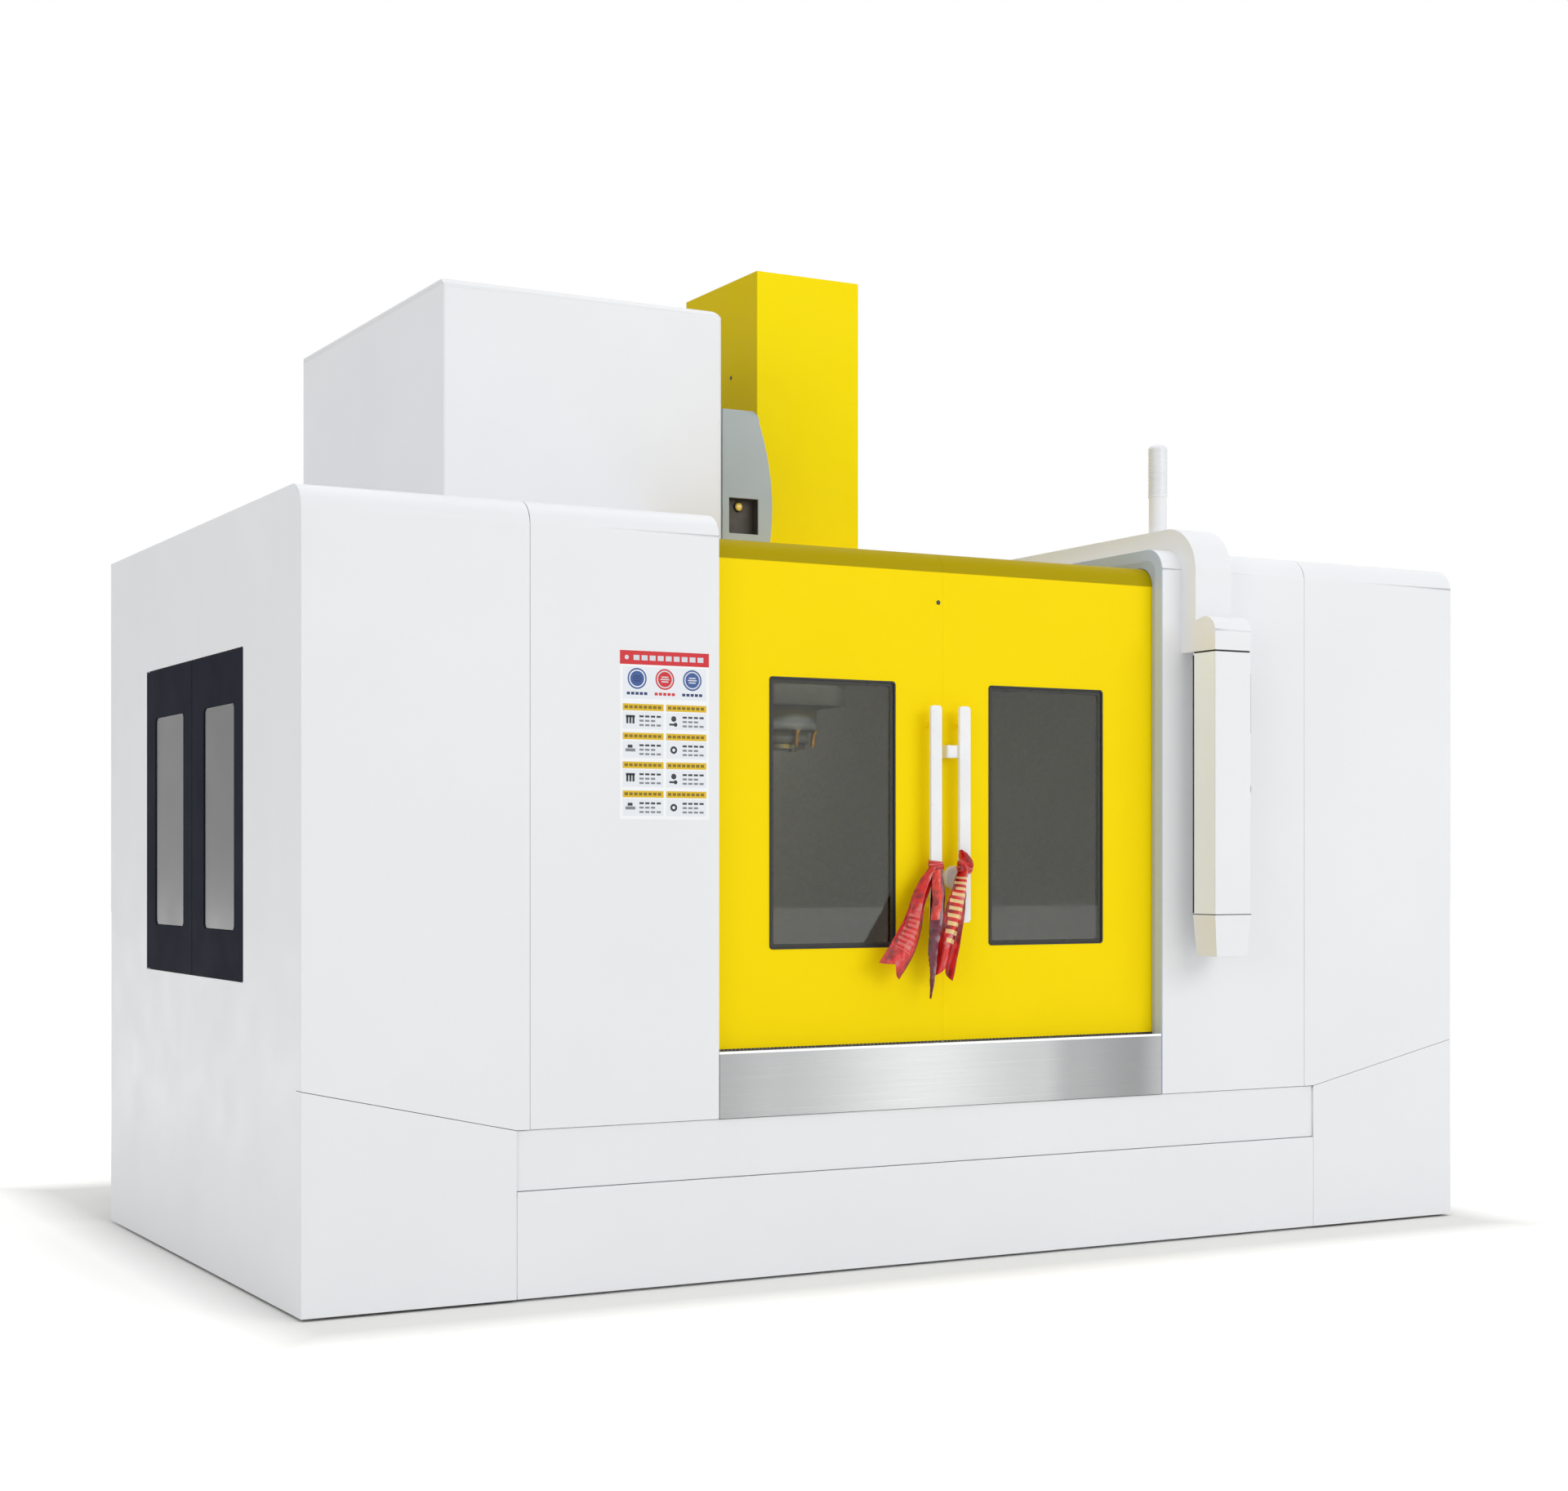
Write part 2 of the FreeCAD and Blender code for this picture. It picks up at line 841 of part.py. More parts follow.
def arm_outline(inset, x):
    """Outline of the arm cover: up the front panel, over the roof, with its head stepped forward."""
    front = -arm_proud + inset
    head = -arm_head_proud + inset
    low = arm_head_low + inset
    top = guard_height + arm_proud - inset
    radius = roll_radius + arm_proud - inset
    roll_z = guard_height - roll_radius
    notch = arm_head_top - inset
    head_roll = 60.0
    s = math.sin(math.pi / 4.0)
    head_centre_y = head + head_roll
    head_centre_z = notch - head_roll
    points_lines = [
        Part.LineSegment(V(x, 0.0, low), V(x, head, low)).toShape(),
        Part.LineSegment(V(x, head, low), V(x, head, head_centre_z)).toShape(),
        Part.Arc(
            V(x, head, head_centre_z),
            V(x, head_centre_y - head_roll * s, head_centre_z + head_roll * s),
            V(x, head_centre_y, notch),
        ).toShape(),
        Part.LineSegment(V(x, head_centre_y, notch), V(x, front, notch - arm_notch)).toShape(),
        Part.LineSegment(V(x, front, notch - arm_notch), V(x, front, roll_z)).toShape(),
        Part.Arc(
            V(x, front, roll_z),
            V(x, roll_radius - radius * s, roll_z + radius * s),
            V(x, roll_radius, top),
        ).toShape(),
        Part.LineSegment(V(x, roll_radius, top), V(x, arm_back - inset, top)).toShape(),
        Part.LineSegment(
            V(x, arm_back - inset, top), V(x, arm_back - inset, guard_height)
        ).toShape(),
        Part.LineSegment(V(x, arm_back - inset, guard_height), V(x, roll_radius, guard_height)).toShape(),
        Part.Arc(
            V(x, roll_radius, guard_height),
            V(x, roll_radius - roll_radius * s, roll_z + roll_radius * s),
            V(x, 0.0, roll_z),
        ).toShape(),
        Part.LineSegment(V(x, 0.0, roll_z), V(x, 0.0, low)).toShape(),
    ]
    return Part.Face(Part.Wire(points_lines))


def arm_cover():
    """Hollow sheet arm that carries the pendant and the signal light."""
    width = arm_right - arm_left
    outer = arm_outline(0.0, arm_left).extrude(V(width, 0, 0))
    inner = arm_outline(sheet, arm_left + sheet).extrude(V(width - 2.0 * sheet, 0, 0))
    floor = box(
        arm_left + sheet,
        arm_right - sheet,
        -arm_head_proud + sheet,
        -sheet,
        arm_head_low + sheet,
        arm_head_low + 3.0 * sheet,
    )
    shell = fuse([outer.cut(inner), floor])
    socket = bore(
        pendant_shaft_radius,
        (pendant_axis_x, pendant_axis_y, arm_head_low - 1.0),
        (pendant_axis_x, pendant_axis_y, arm_head_low + 40.0),
        small_sides,
    )
    return shell.cut(socket)


def pendant_box():
    """Swivelling operator box with its shaft, and the tapered box hung under it."""
    x0 = pendant_axis_x - pendant_half_width
    x1 = pendant_axis_x + pendant_half_width
    y0 = pendant_axis_y - pendant_half_depth
    y1 = pendant_axis_y + pendant_half_depth
    case = cut_box(x0, x1, y0, y1, pendant_low, pendant_top, pendant_edge, 2)
    shaft = bar(
        pendant_shaft_radius,
        (pendant_axis_x, pendant_axis_y, pendant_top - 1.0),
        (pendant_axis_x, pendant_axis_y, arm_head_low + 30.0),
        small_sides,
    )
    collar = bar(
        pendant_shaft_radius + 12.0,
        (pendant_axis_x, pendant_axis_y, arm_head_low + 3.0 * sheet + bearing_clearance),
        (pendant_axis_x, pendant_axis_y, arm_head_low + 3.0 * sheet + 13.0),
        small_sides,
    )
    t = pendant_tail_taper
    upper = Part.makePolygon(
        [
            V(x0, y0, pendant_low - seam_gap),
            V(x1, y0, pendant_low - seam_gap),
            V(x1, y1, pendant_low - seam_gap),
            V(x0, y1, pendant_low - seam_gap),
            V(x0, y0, pendant_low - seam_gap),
        ]
    )
    lower = Part.makePolygon(
        [
            V(x0 + t, y0 + t / 2.0, pendant_tail_low),
            V(x1 - t, y0 + t / 2.0, pendant_tail_low),
            V(x1 - t, y1 - t / 2.0, pendant_tail_low),
            V(x0 + t, y1 - t / 2.0, pendant_tail_low),
            V(x0 + t, y0 + t / 2.0, pendant_tail_low),
        ]
    )
    tail = Part.makeLoft([upper, lower], True, True)
    neck = box(x0 + 12.0, x1 - 12.0, y0 + 12.0, y1 - 12.0, pendant_low - 6.0, pendant_low + 1.0)
    solid = fuse([case, shaft, collar, tail, neck])
    for cut in control_seats():
        solid = solid.cut(cut)
    return solid


def panel_x():
    """The control face of the pendant, which looks to the right."""
    return pendant_axis_x + pendant_half_width


def control_seats():
    """Recess of the display and the bores of the panel controls."""
    x = panel_x()
    seats = [screen(0.5)]
    for z, radius in ((stop_z, 11.0), (button_z, button_radius), (knob_z, 5.0), (wheel_z, 6.0)):
        start = (x - seat_depth, pendant_axis_y, z)
        seats.append(bore(radius, start, (x + 1.0, pendant_axis_y, z), repeat_sides))
    return seats


def screen(margin):
    x = panel_x()
    half = screen_width / 2.0 + margin
    return box(
        x - screen_thickness - margin,
        x + (1.0 if margin else 0.0),
        pendant_axis_y - half,
        pendant_axis_y + half,
        screen_centre_z - screen_height / 2.0 - margin,
        screen_centre_z + screen_height / 2.0 + margin,
    )


def stop_button():
    """Mushroom button: a stem and a wide head with a sloped rim."""
    x = panel_x()
    y = pendant_axis_y
    stem = bar(11.0, (x - 12.0, y, stop_z), (x + 10.0, y, stop_z), small_sides)
    head_low = bar(stop_radius, (x + 8.0, y, stop_z), (x + 19.0, y, stop_z), small_sides)
    head_rim = bar(
        stop_radius, (x + 18.9, y, stop_z), (x + 24.0, y, stop_z), small_sides, stop_radius - 5.0
    )
    return fuse([stem, head_low, head_rim])


def start_button():
    x = panel_x()
    y = pendant_axis_y
    body = bar(button_radius, (x - 12.0, y, button_z), (x + 4.6, y, button_z), small_sides)
    rim = bar(
        button_radius, (x + 4.5, y, button_z), (x + 6.0, y, button_z), small_sides, button_radius - 1.5
    )
    return fuse([body, rim])


def mode_knob():
    """Round skirt with a raised grip bar."""
    x = panel_x()
    y = pendant_axis_y
    axle = bar(5.0, (x - 15.0, y, knob_z), (x + 2.0, y, knob_z), repeat_sides)
    ring = bar(knob_radius, (x + 1.0, y, knob_z), (x + 6.0, y, knob_z), small_sides)
    grip = box(x + 5.0, x + 20.0, y - 5.0, y + 5.0, knob_z - knob_radius, knob_z + knob_radius)
    grip = grip.makeChamfer(3.0, [e for e in grip.Edges if along(0)(e)])
    return fuse([axle, ring, grip])


def hand_wheel():
    """Pulse wheel with a dished face and a finger grip near its rim."""
    x = panel_x()
    y = pendant_axis_y
    axle = bar(6.0, (x - 15.0, y, wheel_z), (x + 2.0, y, wheel_z), repeat_sides)
    rim = bar(wheel_radius, (x + 1.0, y, wheel_z), (x + 15.0, y, wheel_z), small_sides)
    dish = bar(wheel_radius - 8.0, (x + 10.0, y, wheel_z), (x + 16.0, y, wheel_z), small_sides)
    grip_y = y + wheel_radius - 17.0
    grip = bar(7.0, (x + 8.0, grip_y, wheel_z), (x + 34.0, grip_y, wheel_z), repeat_sides)
    return fuse([axle, rim.cut(dish), grip])


def signal_pole():
    low = (tower_x, tower_y, guard_height + arm_proud)
    return bar(tower_radius, low, (tower_x, tower_y, tower_split), large_sides)


def signal_lens():
    """Lamp section with a domed top made of two sloped bands."""
    dome_low = tower_top - tower_radius * 0.6
    dome_middle = tower_top - tower_radius * 0.22
    bands = [
        (tower_split, tower_radius, dome_low, tower_radius),
        (dome_low, tower_radius, dome_middle, tower_radius * 0.8),
        (dome_middle, tower_radius * 0.8, tower_top, tower_radius * 0.4),
    ]
    pieces = [
        bar(r0, (tower_x, tower_y, z0), (tower_x, tower_y, z1), large_sides, r1) for z0, r0, z1, r1 in bands
    ]
    return fuse(pieces)


# ---- bed, feet, ways ------------------------------------------------------------------------


def foot_places():
    """Under the outer walls and the tail of the bed."""
    edge = bed_half_width - 34.0
    outer = [(side * edge, y) for side in (-1, 1) for y in (bed_front + 24.0, 1170.0, 2114.0)]
    return outer + [(-560.0, 3120.0), (560.0, 3120.0)]


def levelling_feet():
    feet = []
    for x, y in foot_places():
        pad = bar(foot_radius, (x, y, 0.0), (x, y, foot_height), repeat_sides, foot_radius * 0.7)
        stud = bar(foot_screw_radius, (x, y, foot_height - 1.0), (x, y, bed_bottom), 6)
        feet.append(fuse([pad, stud]))
    return Part.makeCompound(feet)


def bed():
    """Ribbed casting, wide under the saddle and narrower under the column."""
    column_foot = column_half_width + 200.0
    waist = spindle_y + saddle_half_depth + y_travel + 100.0
    outline = [
        (-bed_half_width, bed_front, bed_bottom),
        (bed_half_width, bed_front, bed_bottom),
        (bed_half_width, waist, bed_bottom),
        (column_foot, waist + 250.0, bed_bottom),
        (column_foot, bed_back, bed_bottom),
        (-column_foot, bed_back, bed_bottom),
        (-column_foot, waist + 250.0, bed_bottom),
        (-bed_half_width, waist, bed_bottom),
    ]
    casting = prism(outline, (0.0, 0.0, bed_top - bed_bottom))
    for x0, x1 in ((-1190.0, -810.0), (-750.0, -320.0), (320.0, 750.0), (810.0, 1190.0)):
        for y0, y1 in ((370.0, 1140.0), (1200.0, 2080.0)):
            casting = casting.cut(box(x0, x1, y0, y1, bed_bottom - 1.0, bed_top - bed_wall))
    groove = box(
        -groove_half, groove_half, bed_front - 1.0, column_front - 40.0, bed_top - 130.0, bed_top + 1.0
    )
    casting = casting.cut(groove)
    walls = []
    for y in (bed_front + 30.0, column_front - 100.0):
        walls.append(box(-groove_half - 1.0, groove_half + 1.0, y, y + 50.0, bed_top - 131.0, bed_top))
    casting = fuse([casting] + walls)
    screw_bore = bore(
        screw_journal,
        (0.0, bed_front - 5.0, y_screw_z()),
        (0.0, column_front - 50.0, y_screw_z()),
    )
    seat = bar(
        screw_radius + 14.0,
        (0.0, bed_front + 80.0, y_screw_z()),
        (0.0, column_front - 100.0, y_screw_z()),
    )
    return casting.cut(screw_bore).cut(seat)


def y_screw_z():
    return bed_top - 62.0


def x_screw_z():
    return saddle_top - 58.0


def z_screw_y():
    return column_front + 55.0


def rail(axis_centre, start, end, direction, face):
    """One linear guide rail; its waisted section lets the carriages hold it."""
    half = rail_width / 2.0
    waist = rail_width / 2.0 - 7.0
    h = rail_height
    profile = [(-half, 0.0), (half, 0.0), (half, 12.0), (waist, 18.0), (waist, 26.0), (half, 32.0)]
    profile += [(half, h), (-half, h), (-half, 32.0), (-waist, 26.0), (-waist, 18.0), (-half, 12.0)]
    if direction == "y":
        points = [(axis_centre + a, start, face + b) for a, b in profile]
        return prism(points, (0.0, end - start, 0.0))
    if direction == "x":
        points = [(start, axis_centre + a, face + b) for a, b in profile]
        return prism(points, (end - start, 0.0, 0.0))
    points = [(axis_centre + a, face - b, start) for a, b in profile]
    return prism(points, (0.0, 0.0, end - start))


def carriage(axis_centre, middle, length, direction, face):
    """A carriage block that straddles a rail with a running gap."""
    half = 60.0
    g = carriage_gap
    top = rail_height + rail_float
    side = rail_width / 2.0
    profile = [(-half, 8.0), (-side - g, 8.0), (-side - g, rail_height + g)]
    profile += [(side + g, rail_height + g), (side + g, 8.0), (half, 8.0)]
    profile += [(half, top + 1.0), (-half, top + 1.0)]
    if direction == "y":
        points = [(axis_centre + a, middle - length / 2.0, face + b) for a, b in profile]
        return prism(points, (0.0, length, 0.0))
    if direction == "x":
        points = [(middle - length / 2.0, axis_centre + a, face + b) for a, b in profile]
        return prism(points, (length, 0.0, 0.0))
    points = [(axis_centre + a, face - b, middle - length / 2.0) for a, b in profile]
    return prism(points, (0.0, 0.0, length))


def guide_rails():
    """Four ways on the bed and two on the column."""
    rails = []
    reach = saddle_half_depth + y_travel + 20.0
    for x in (-y_rail_outer, -y_rail_inner, y_rail_inner, y_rail_outer):
        rails.append(rail(x, spindle_y - reach, spindle_y + reach, "y", bed_top))
    for x in (-z_rail_offset, z_rail_offset):
        rails.append(rail(x, slide_low - z_travel - 20.0, column_top - 60.0, "z", column_front))
    return Part.makeCompound(rails)


def column():
    """Box casting with a stepped foot, open windows in its sides and the screw channel in front."""
    half = column_half_width
    body = box(-half, half, column_front, column_back, bed_top, column_top)
    foot = box(
        -half - column_foot_step,
        half + column_foot_step,
        column_front + 60.0,
        column_back + 60.0,
        bed_top,
        bed_top + column_foot_height,
    )
    core = box(
        -half + column_wall,
        half - column_wall,
        column_front + 170.0,
        column_back - column_wall,
        bed_top + 120.0,
        column_top - column_wall,
    )
    channel = box(
        -groove_half - 20.0,
        groove_half + 20.0,
        column_front - 1.0,
        column_front + 125.0,
        bed_top + 200.0,
        column_top + 1.0,
    )
    shell = fuse([body, foot]).cut(core).cut(channel)
    for low in (bed_top + 260.0, bed_top + 940.0, bed_top + 1620.0):
        window = box(
            -half - 5.0, half + 5.0, column_front + 400.0, column_back - 260.0, low, low + 460.0
        )
        shell = shell.cut(window)
    seats = []
    for low in (bed_top + 260.0, column_top - 90.0):
        seats.append(
            box(
                -groove_half - 21.0,
                groove_half + 21.0,
                column_front + 2.0,
                column_front + 126.0,
                low,
                low + 60.0,
            )
        )
    shell = fuse([shell] + seats)
    screw_bore = bore(
        screw_journal,
        (0.0, z_screw_y(), bed_top + 270.0),
        (0.0, z_screw_y(), column_top + 1.0),
    )
    return shell.cut(screw_bore)


def servo_motor(face, direction):
    """Square motor with a round flange end and a stepped rear cap, pointing away from its face."""
    d = V(*direction)
    x, y, z = face
    half = motor_size / 2.0

    def block(start, length, size):
        base = V(x, y, z) + d * start
        low = V(base)
        high = base + d * length
        extents = [sorted((low[i], high[i])) for i in range(3)]
        for i in range(3):
            if abs(d[i]) < 0.5:
                extents[i] = [base[i] - size, base[i] + size]
        return box(extents[0][0], extents[0][1], extents[1][0], extents[1][1], extents[2][0], extents[2][1])

    flange = block(0.0, 25.0, half)
    body = block(24.0, motor_length - 70.0, half - 8.0)
    cap = block(motor_length - 48.0, 48.0, half - 30.0)
    return fuse([flange, body, cap])


def axis_motors():
    """Drives of the Y screw, in front of the bed, and of the Z screw, on the column."""
    y_motor = servo_motor((0.0, bed_front, y_screw_z()), (0.0, -1.0, 0.0))
    z_motor = servo_motor((0.0, z_screw_y(), column_top), (0.0, 0.0, 1.0))
    return Part.makeCompound([y_motor, z_motor])


def ball_screw(start, end, thread_start, thread_end):
    """A screw with its thicker threaded length between two journals."""
    journals = bar(screw_journal, start, end, repeat_sides)
    return fuse([journals, bar(screw_radius, thread_start, thread_end)])


def y_screw():
    z = y_screw_z()
    return ball_screw(
        (0.0, bed_front + bearing_clearance, z),
        (0.0, column_front - 55.0, z),
        (0.0, bed_front + 95.0, z),
        (0.0, column_front - 115.0, z),
    )


def x_screw():
    z = x_screw_z()
    return ball_screw(
        (-saddle_half_length + 15.0, spindle_y, z),
        (saddle_half_length - bearing_clearance, spindle_y, z),
        (-saddle_half_length + 80.0, spindle_y, z),
        (saddle_half_length - 80.0, spindle_y, z),
    )


def z_screw():
    y = z_screw_y()
    return ball_screw(
        (0.0, y, bed_top + 275.0),
        (0.0, y, column_top - bearing_clearance),
        (0.0, y, bed_top + 335.0),
        (0.0, y, column_top - 105.0),
    )


# ---- saddle and table -----------------------------------------------------------------------


def saddle():
    """Long casting on the Y ways, carrying the X ways, with its carriages and nut bracket."""
    y0 = spindle_y - saddle_half_depth
    y1 = spindle_y + saddle_half_depth
    casting = box(-saddle_half_length, saddle_half_length, y0, y1, saddle_low, saddle_top)
    casting = casting.cut(
        box(
            -saddle_half_length + 70.0,
            saddle_half_length - 70.0,
            spindle_y - groove_half,
            spindle_y + groove_half,
            saddle_low + 30.0,
            saddle_top + 1.0,
        )
    )
    pieces = [casting]
    for x in (-y_rail_outer, -y_rail_inner, y_rail_inner, y_rail_outer):
        for y in (-saddle_half_depth + 85.0, saddle_half_depth - 85.0):
            pieces.append(carriage(x, spindle_y + y, 150.0, "y", bed_top))
    for y in (-x_rail_offset, x_rail_offset):
        pieces.append(
            rail(spindle_y + y, -saddle_half_length + 5.0, saddle_half_length - 5.0, "x", saddle_top)
        )
    nut_z = y_screw_z()
    bracket = box(-60.0, 60.0, spindle_y - 60.0, spindle_y + 60.0, nut_z - 50.0, saddle_low + 1.0)
    pieces.append(bracket)
    solid = fuse(pieces)
    nut_bore = bore(screw_radius, (0.0, spindle_y - 61.0, nut_z), (0.0, spindle_y + 61.0, nut_z))
    journals = bore(
        screw_journal,
        (-saddle_half_length + 10.0, spindle_y, x_screw_z()),
        (saddle_half_length + 1.0, spindle_y, x_screw_z()),
    )
    return solid.cut(nut_bore).cut(journals)


def x_motor():
    return servo_motor((saddle_half_length, spindle_y, x_screw_z()), (1.0, 0.0, 0.0))


def table():
    """Machine table with five T-slots and a coolant gutter all round."""
    half = table_half_length
    y0 = spindle_y - table_half_depth
    y1 = spindle_y + table_half_depth
    plate = box(-half, half, y0, y1, table_low, table_top)
    plate = plate.makeChamfer(table_edge, [e for e in plate.Edges if along(2)(e)])
    gutter_low = table_top - gutter_depth
    for near, far in ((y0, y0 + gutter_width), (y1 - gutter_width, y1)):
        plate = plate.cut(box(-half - 1.0, half + 1.0, near - 1.0, far, gutter_low, table_top + 1.0))
        lip_y = near if near < spindle_y else far - 6.0
        lip = box(-half + 5.0, half - 5.0, lip_y, lip_y + 6.0, gutter_low - 1.0, table_top - 4.0)
        plate = plate.fuse(lip)
    for index in range(slot_count):
        y = spindle_y + (index - (slot_count - 1) / 2.0) * slot_pitch
        past = half + 1.0
        neck = slot_width / 2.0
        foot = slot_foot_width / 2.0
        low = table_top - slot_depth
        plate = plate.cut(box(-past, past, y - neck, y + neck, low, table_top + 1.0))
        plate = plate.cut(box(-past, past, y - foot, y + foot, low, low + slot_foot_height))
    pieces = [plate]
    for y in (-x_rail_offset, x_rail_offset):
        for x in (-420.0, 420.0):
            pieces.append(carriage(spindle_y + y, x, 160.0, "x", saddle_top))
    nut_z = x_screw_z()
    pieces.append(box(-60.0, 60.0, spindle_y - 50.0, spindle_y + 50.0, nut_z - 46.0, table_low + 1.0))
    solid = fuse(pieces)
    return solid.cut(bore(screw_radius, (-61.0, spindle_y, nut_z), (61.0, spindle_y, nut_z)))


def way_cover(front):
    """Telescopic steel cover over the Y ways: nested roof-shaped plates, each wider than the last."""
    plates = []
    near = spindle_y - saddle_half_depth if front else spindle_y + saddle_half_depth
    far = bed_front + 10.0 if front else column_front - 22.0
    step = (far - near) / cover_plates
    low = bed_top + rail_height + 16.0
    for index in range(cover_plates):
        inset = index * cover_plate
        half = y_rail_outer + 110.0 - inset
        eaves = saddle_top - 12.0 - cover_fall - inset
        ridge = saddle_top - 12.0 - inset
        start = near + step * index - (math.copysign(cover_lap, step) if index else 0.0)
        y0, y1 = sorted((start, near + step * (index + 1)))
        skin = [(-half, eaves), (0.0, ridge), (half, eaves), (half, low), (half - cover_plate, low)]
        skin += [(half - cover_plate, eaves - cover_plate), (0.0, ridge - cover_plate)]
        skin += [(-half + cover_plate, eaves - cover_plate), (-half + cover_plate, low), (-half, low)]
        plates.append(prism([(x, y0, z) for x, z in skin], (0.0, y1 - y0, 0.0)))
    inner_half = half - cover_plate / 2.0
    y0 = far if front else far - 5.0
    end = [(-inner_half, eaves - 2.0), (0.0, ridge - 2.0), (inner_half, eaves - 2.0)]
    end += [(inner_half, bed_top), (-inner_half, bed_top)]
    plates.append(prism([(x, y0, z) for x, z in end], (0.0, 5.0, 0.0)))
    return fuse(plates)


# ---- head and spindle -----------------------------------------------------------------------


def head():
    """Head casting: box nose tapering into its slide, with carriages, nut bracket and drive motor."""
    nose = box(-head_half_width, head_half_width, head_front, head_back, head_low, head_top)
    front_edges = [e for e in nose.Edges if along(2)(e) and e.BoundBox.YMax < head_front + 1.0]
    nose = nose.makeChamfer(20.0, front_edges)
    slide = box(
        -slide_half_width,
        slide_half_width,
        head_back - 10.0,
        column_front - rail_height - rail_float,
        slide_low,
        slide_high,
    )
    barrel = bar(
        nose_upper_radius, (0.0, spindle_y, head_low - 60.0), (0.0, spindle_y, head_low + 1.0), large_sides
    )
    snout_low = nose_low + spindle_ring + bearing_clearance
    snout = bar(nose_radius, (0.0, spindle_y, snout_low), (0.0, spindle_y, head_low - 59.0), large_sides)
    gusset = prism(
        [
            (-12.0, head_back - 200.0, head_top - 1.0),
            (-12.0, head_back + 1.0, head_top - 1.0),
            (-12.0, head_back + 1.0, slide_high - 10.0),
        ],
        (24.0, 0.0, 0.0),
    )
    motor = bar(95.0, (0.0, spindle_y, head_top - 1.0), (0.0, spindle_y, head_top + 420.0), small_sides)
    flange = box(-120.0, 120.0, spindle_y - 120.0, spindle_y + 120.0, head_top - 1.0, head_top + 40.0)
    pieces = [nose, slide, barrel, snout, gusset, motor, flange]
    for x in (-z_rail_offset, z_rail_offset):
        for z in (slide_low + 110.0, slide_high - 110.0):
            pieces.append(carriage(x, z, 160.0, "z", column_front))
    nut_low = (slide_low + slide_high) / 2.0 - 60.0
    bracket_front = column_front - rail_height - rail_float - 1.0
    pieces.append(box(-60.0, 60.0, bracket_front, z_screw_y() + 45.0, nut_low, nut_low + 120.0))
    solid = fuse(pieces)
    nut_bore = bore(
        screw_radius, (0.0, z_screw_y(), nut_low - 1.0), (0.0, z_screw_y(), nut_low + 121.0)
    )
    quill = bore(spindle_radius, (0.0, spindle_y, nose_low - 1.0), (0.0, spindle_y, spindle_top), large_sides)
    return fuse([solid.cut(nut_bore).cut(quill), coolant_nozzles()])


def head_cover():
    """Tall folded cover round the motor and the top of the head, open below and behind."""
    outer = box(-cover_half_width, cover_half_width, cover_front, cover_back, cover_low, cover_top)
    front_edges = [e for e in outer.Edges if along(2)(e) and e.BoundBox.YMax < cover_front + 1.0]
    outer = outer.makeChamfer(sheet, front_edges)
    inner = box(
        -cover_half_width + sheet,
        cover_half_width - sheet,
        cover_front + sheet,
        cover_back + 1.0,
        cover_low - 1.0,
        cover_top - sheet,
    )
    shell = outer.cut(inner)
    tabs = []
    for side in (-1, 1):
        x0, x1 = sorted((side * head_half_width, side * (cover_half_width - sheet + 1.0)))
        tabs.append(box(x0, x1, cover_back - 120.0, cover_back - 60.0, head_top - 200.0, head_top - 100.0))
    return fuse([shell] + tabs)


def spindle():
    """Spindle with its face ring, drive keys and tapered tool socket."""
    body = bar(
        spindle_radius, (0.0, spindle_y, nose_low), (0.0, spindle_y, spindle_top - 4.0), large_sides
    )
    ring_top = (0.0, spindle_y, nose_low + spindle_ring)
    ring = bar(nose_radius - 12.0, (0.0, spindle_y, nose_low), ring_top, large_sides)
    keys = []
    y0, y1 = spindle_y - 12.0, spindle_y + 12.0
    for x in (-52.0, 52.0):
        keys.append(box(x - 10.0, x + 10.0, y0, y1, nose_low - 8.0, nose_low + 5.0))
    bottom = (0.0, spindle_y, nose_low + spindle_bore_depth)
    taper = bar(spindle_bore_wide, (0.0, spindle_y, nose_low), bottom, large_sides, spindle_bore_narrow)
    mouth_low = (0.0, spindle_y, nose_low - 10.0)
    mouth = bar(spindle_bore_wide, mouth_low, (0.0, spindle_y, nose_low + 0.5), large_sides)
    return fuse([body, ring] + keys).cut(taper).cut(mouth)


def coolant_nozzles():
    """Jointed nozzles set in a ring round the spindle nose."""
    ring_low = head_low - 90.0
    y = spindle_y
    ring = bar(nose_radius + 34.0, (0.0, y, ring_low), (0.0, y, ring_low + 30.0), large_sides)
    ring = ring.cut(bar(nose_radius - 4.0, (0.0, y, ring_low - 1.0), (0.0, y, ring_low + 31.0), large_sides))
    pieces = [ring]
    for index in range(nozzle_count):
        angle = math.radians(30.0 + 360.0 * index / nozzle_count)
        x = nozzle_ring * math.cos(angle)
        y = spindle_y + nozzle_ring * math.sin(angle)
        tip = (x * 0.94, spindle_y + (y - spindle_y) * 0.94, nose_low + 8.0)
        pieces.append(bar(nozzle_radius, (x, y, ring_low + 2.0), tip, 6))
    return fuse(pieces)


# ---- tool changer ---------------------------------------------------------------------------


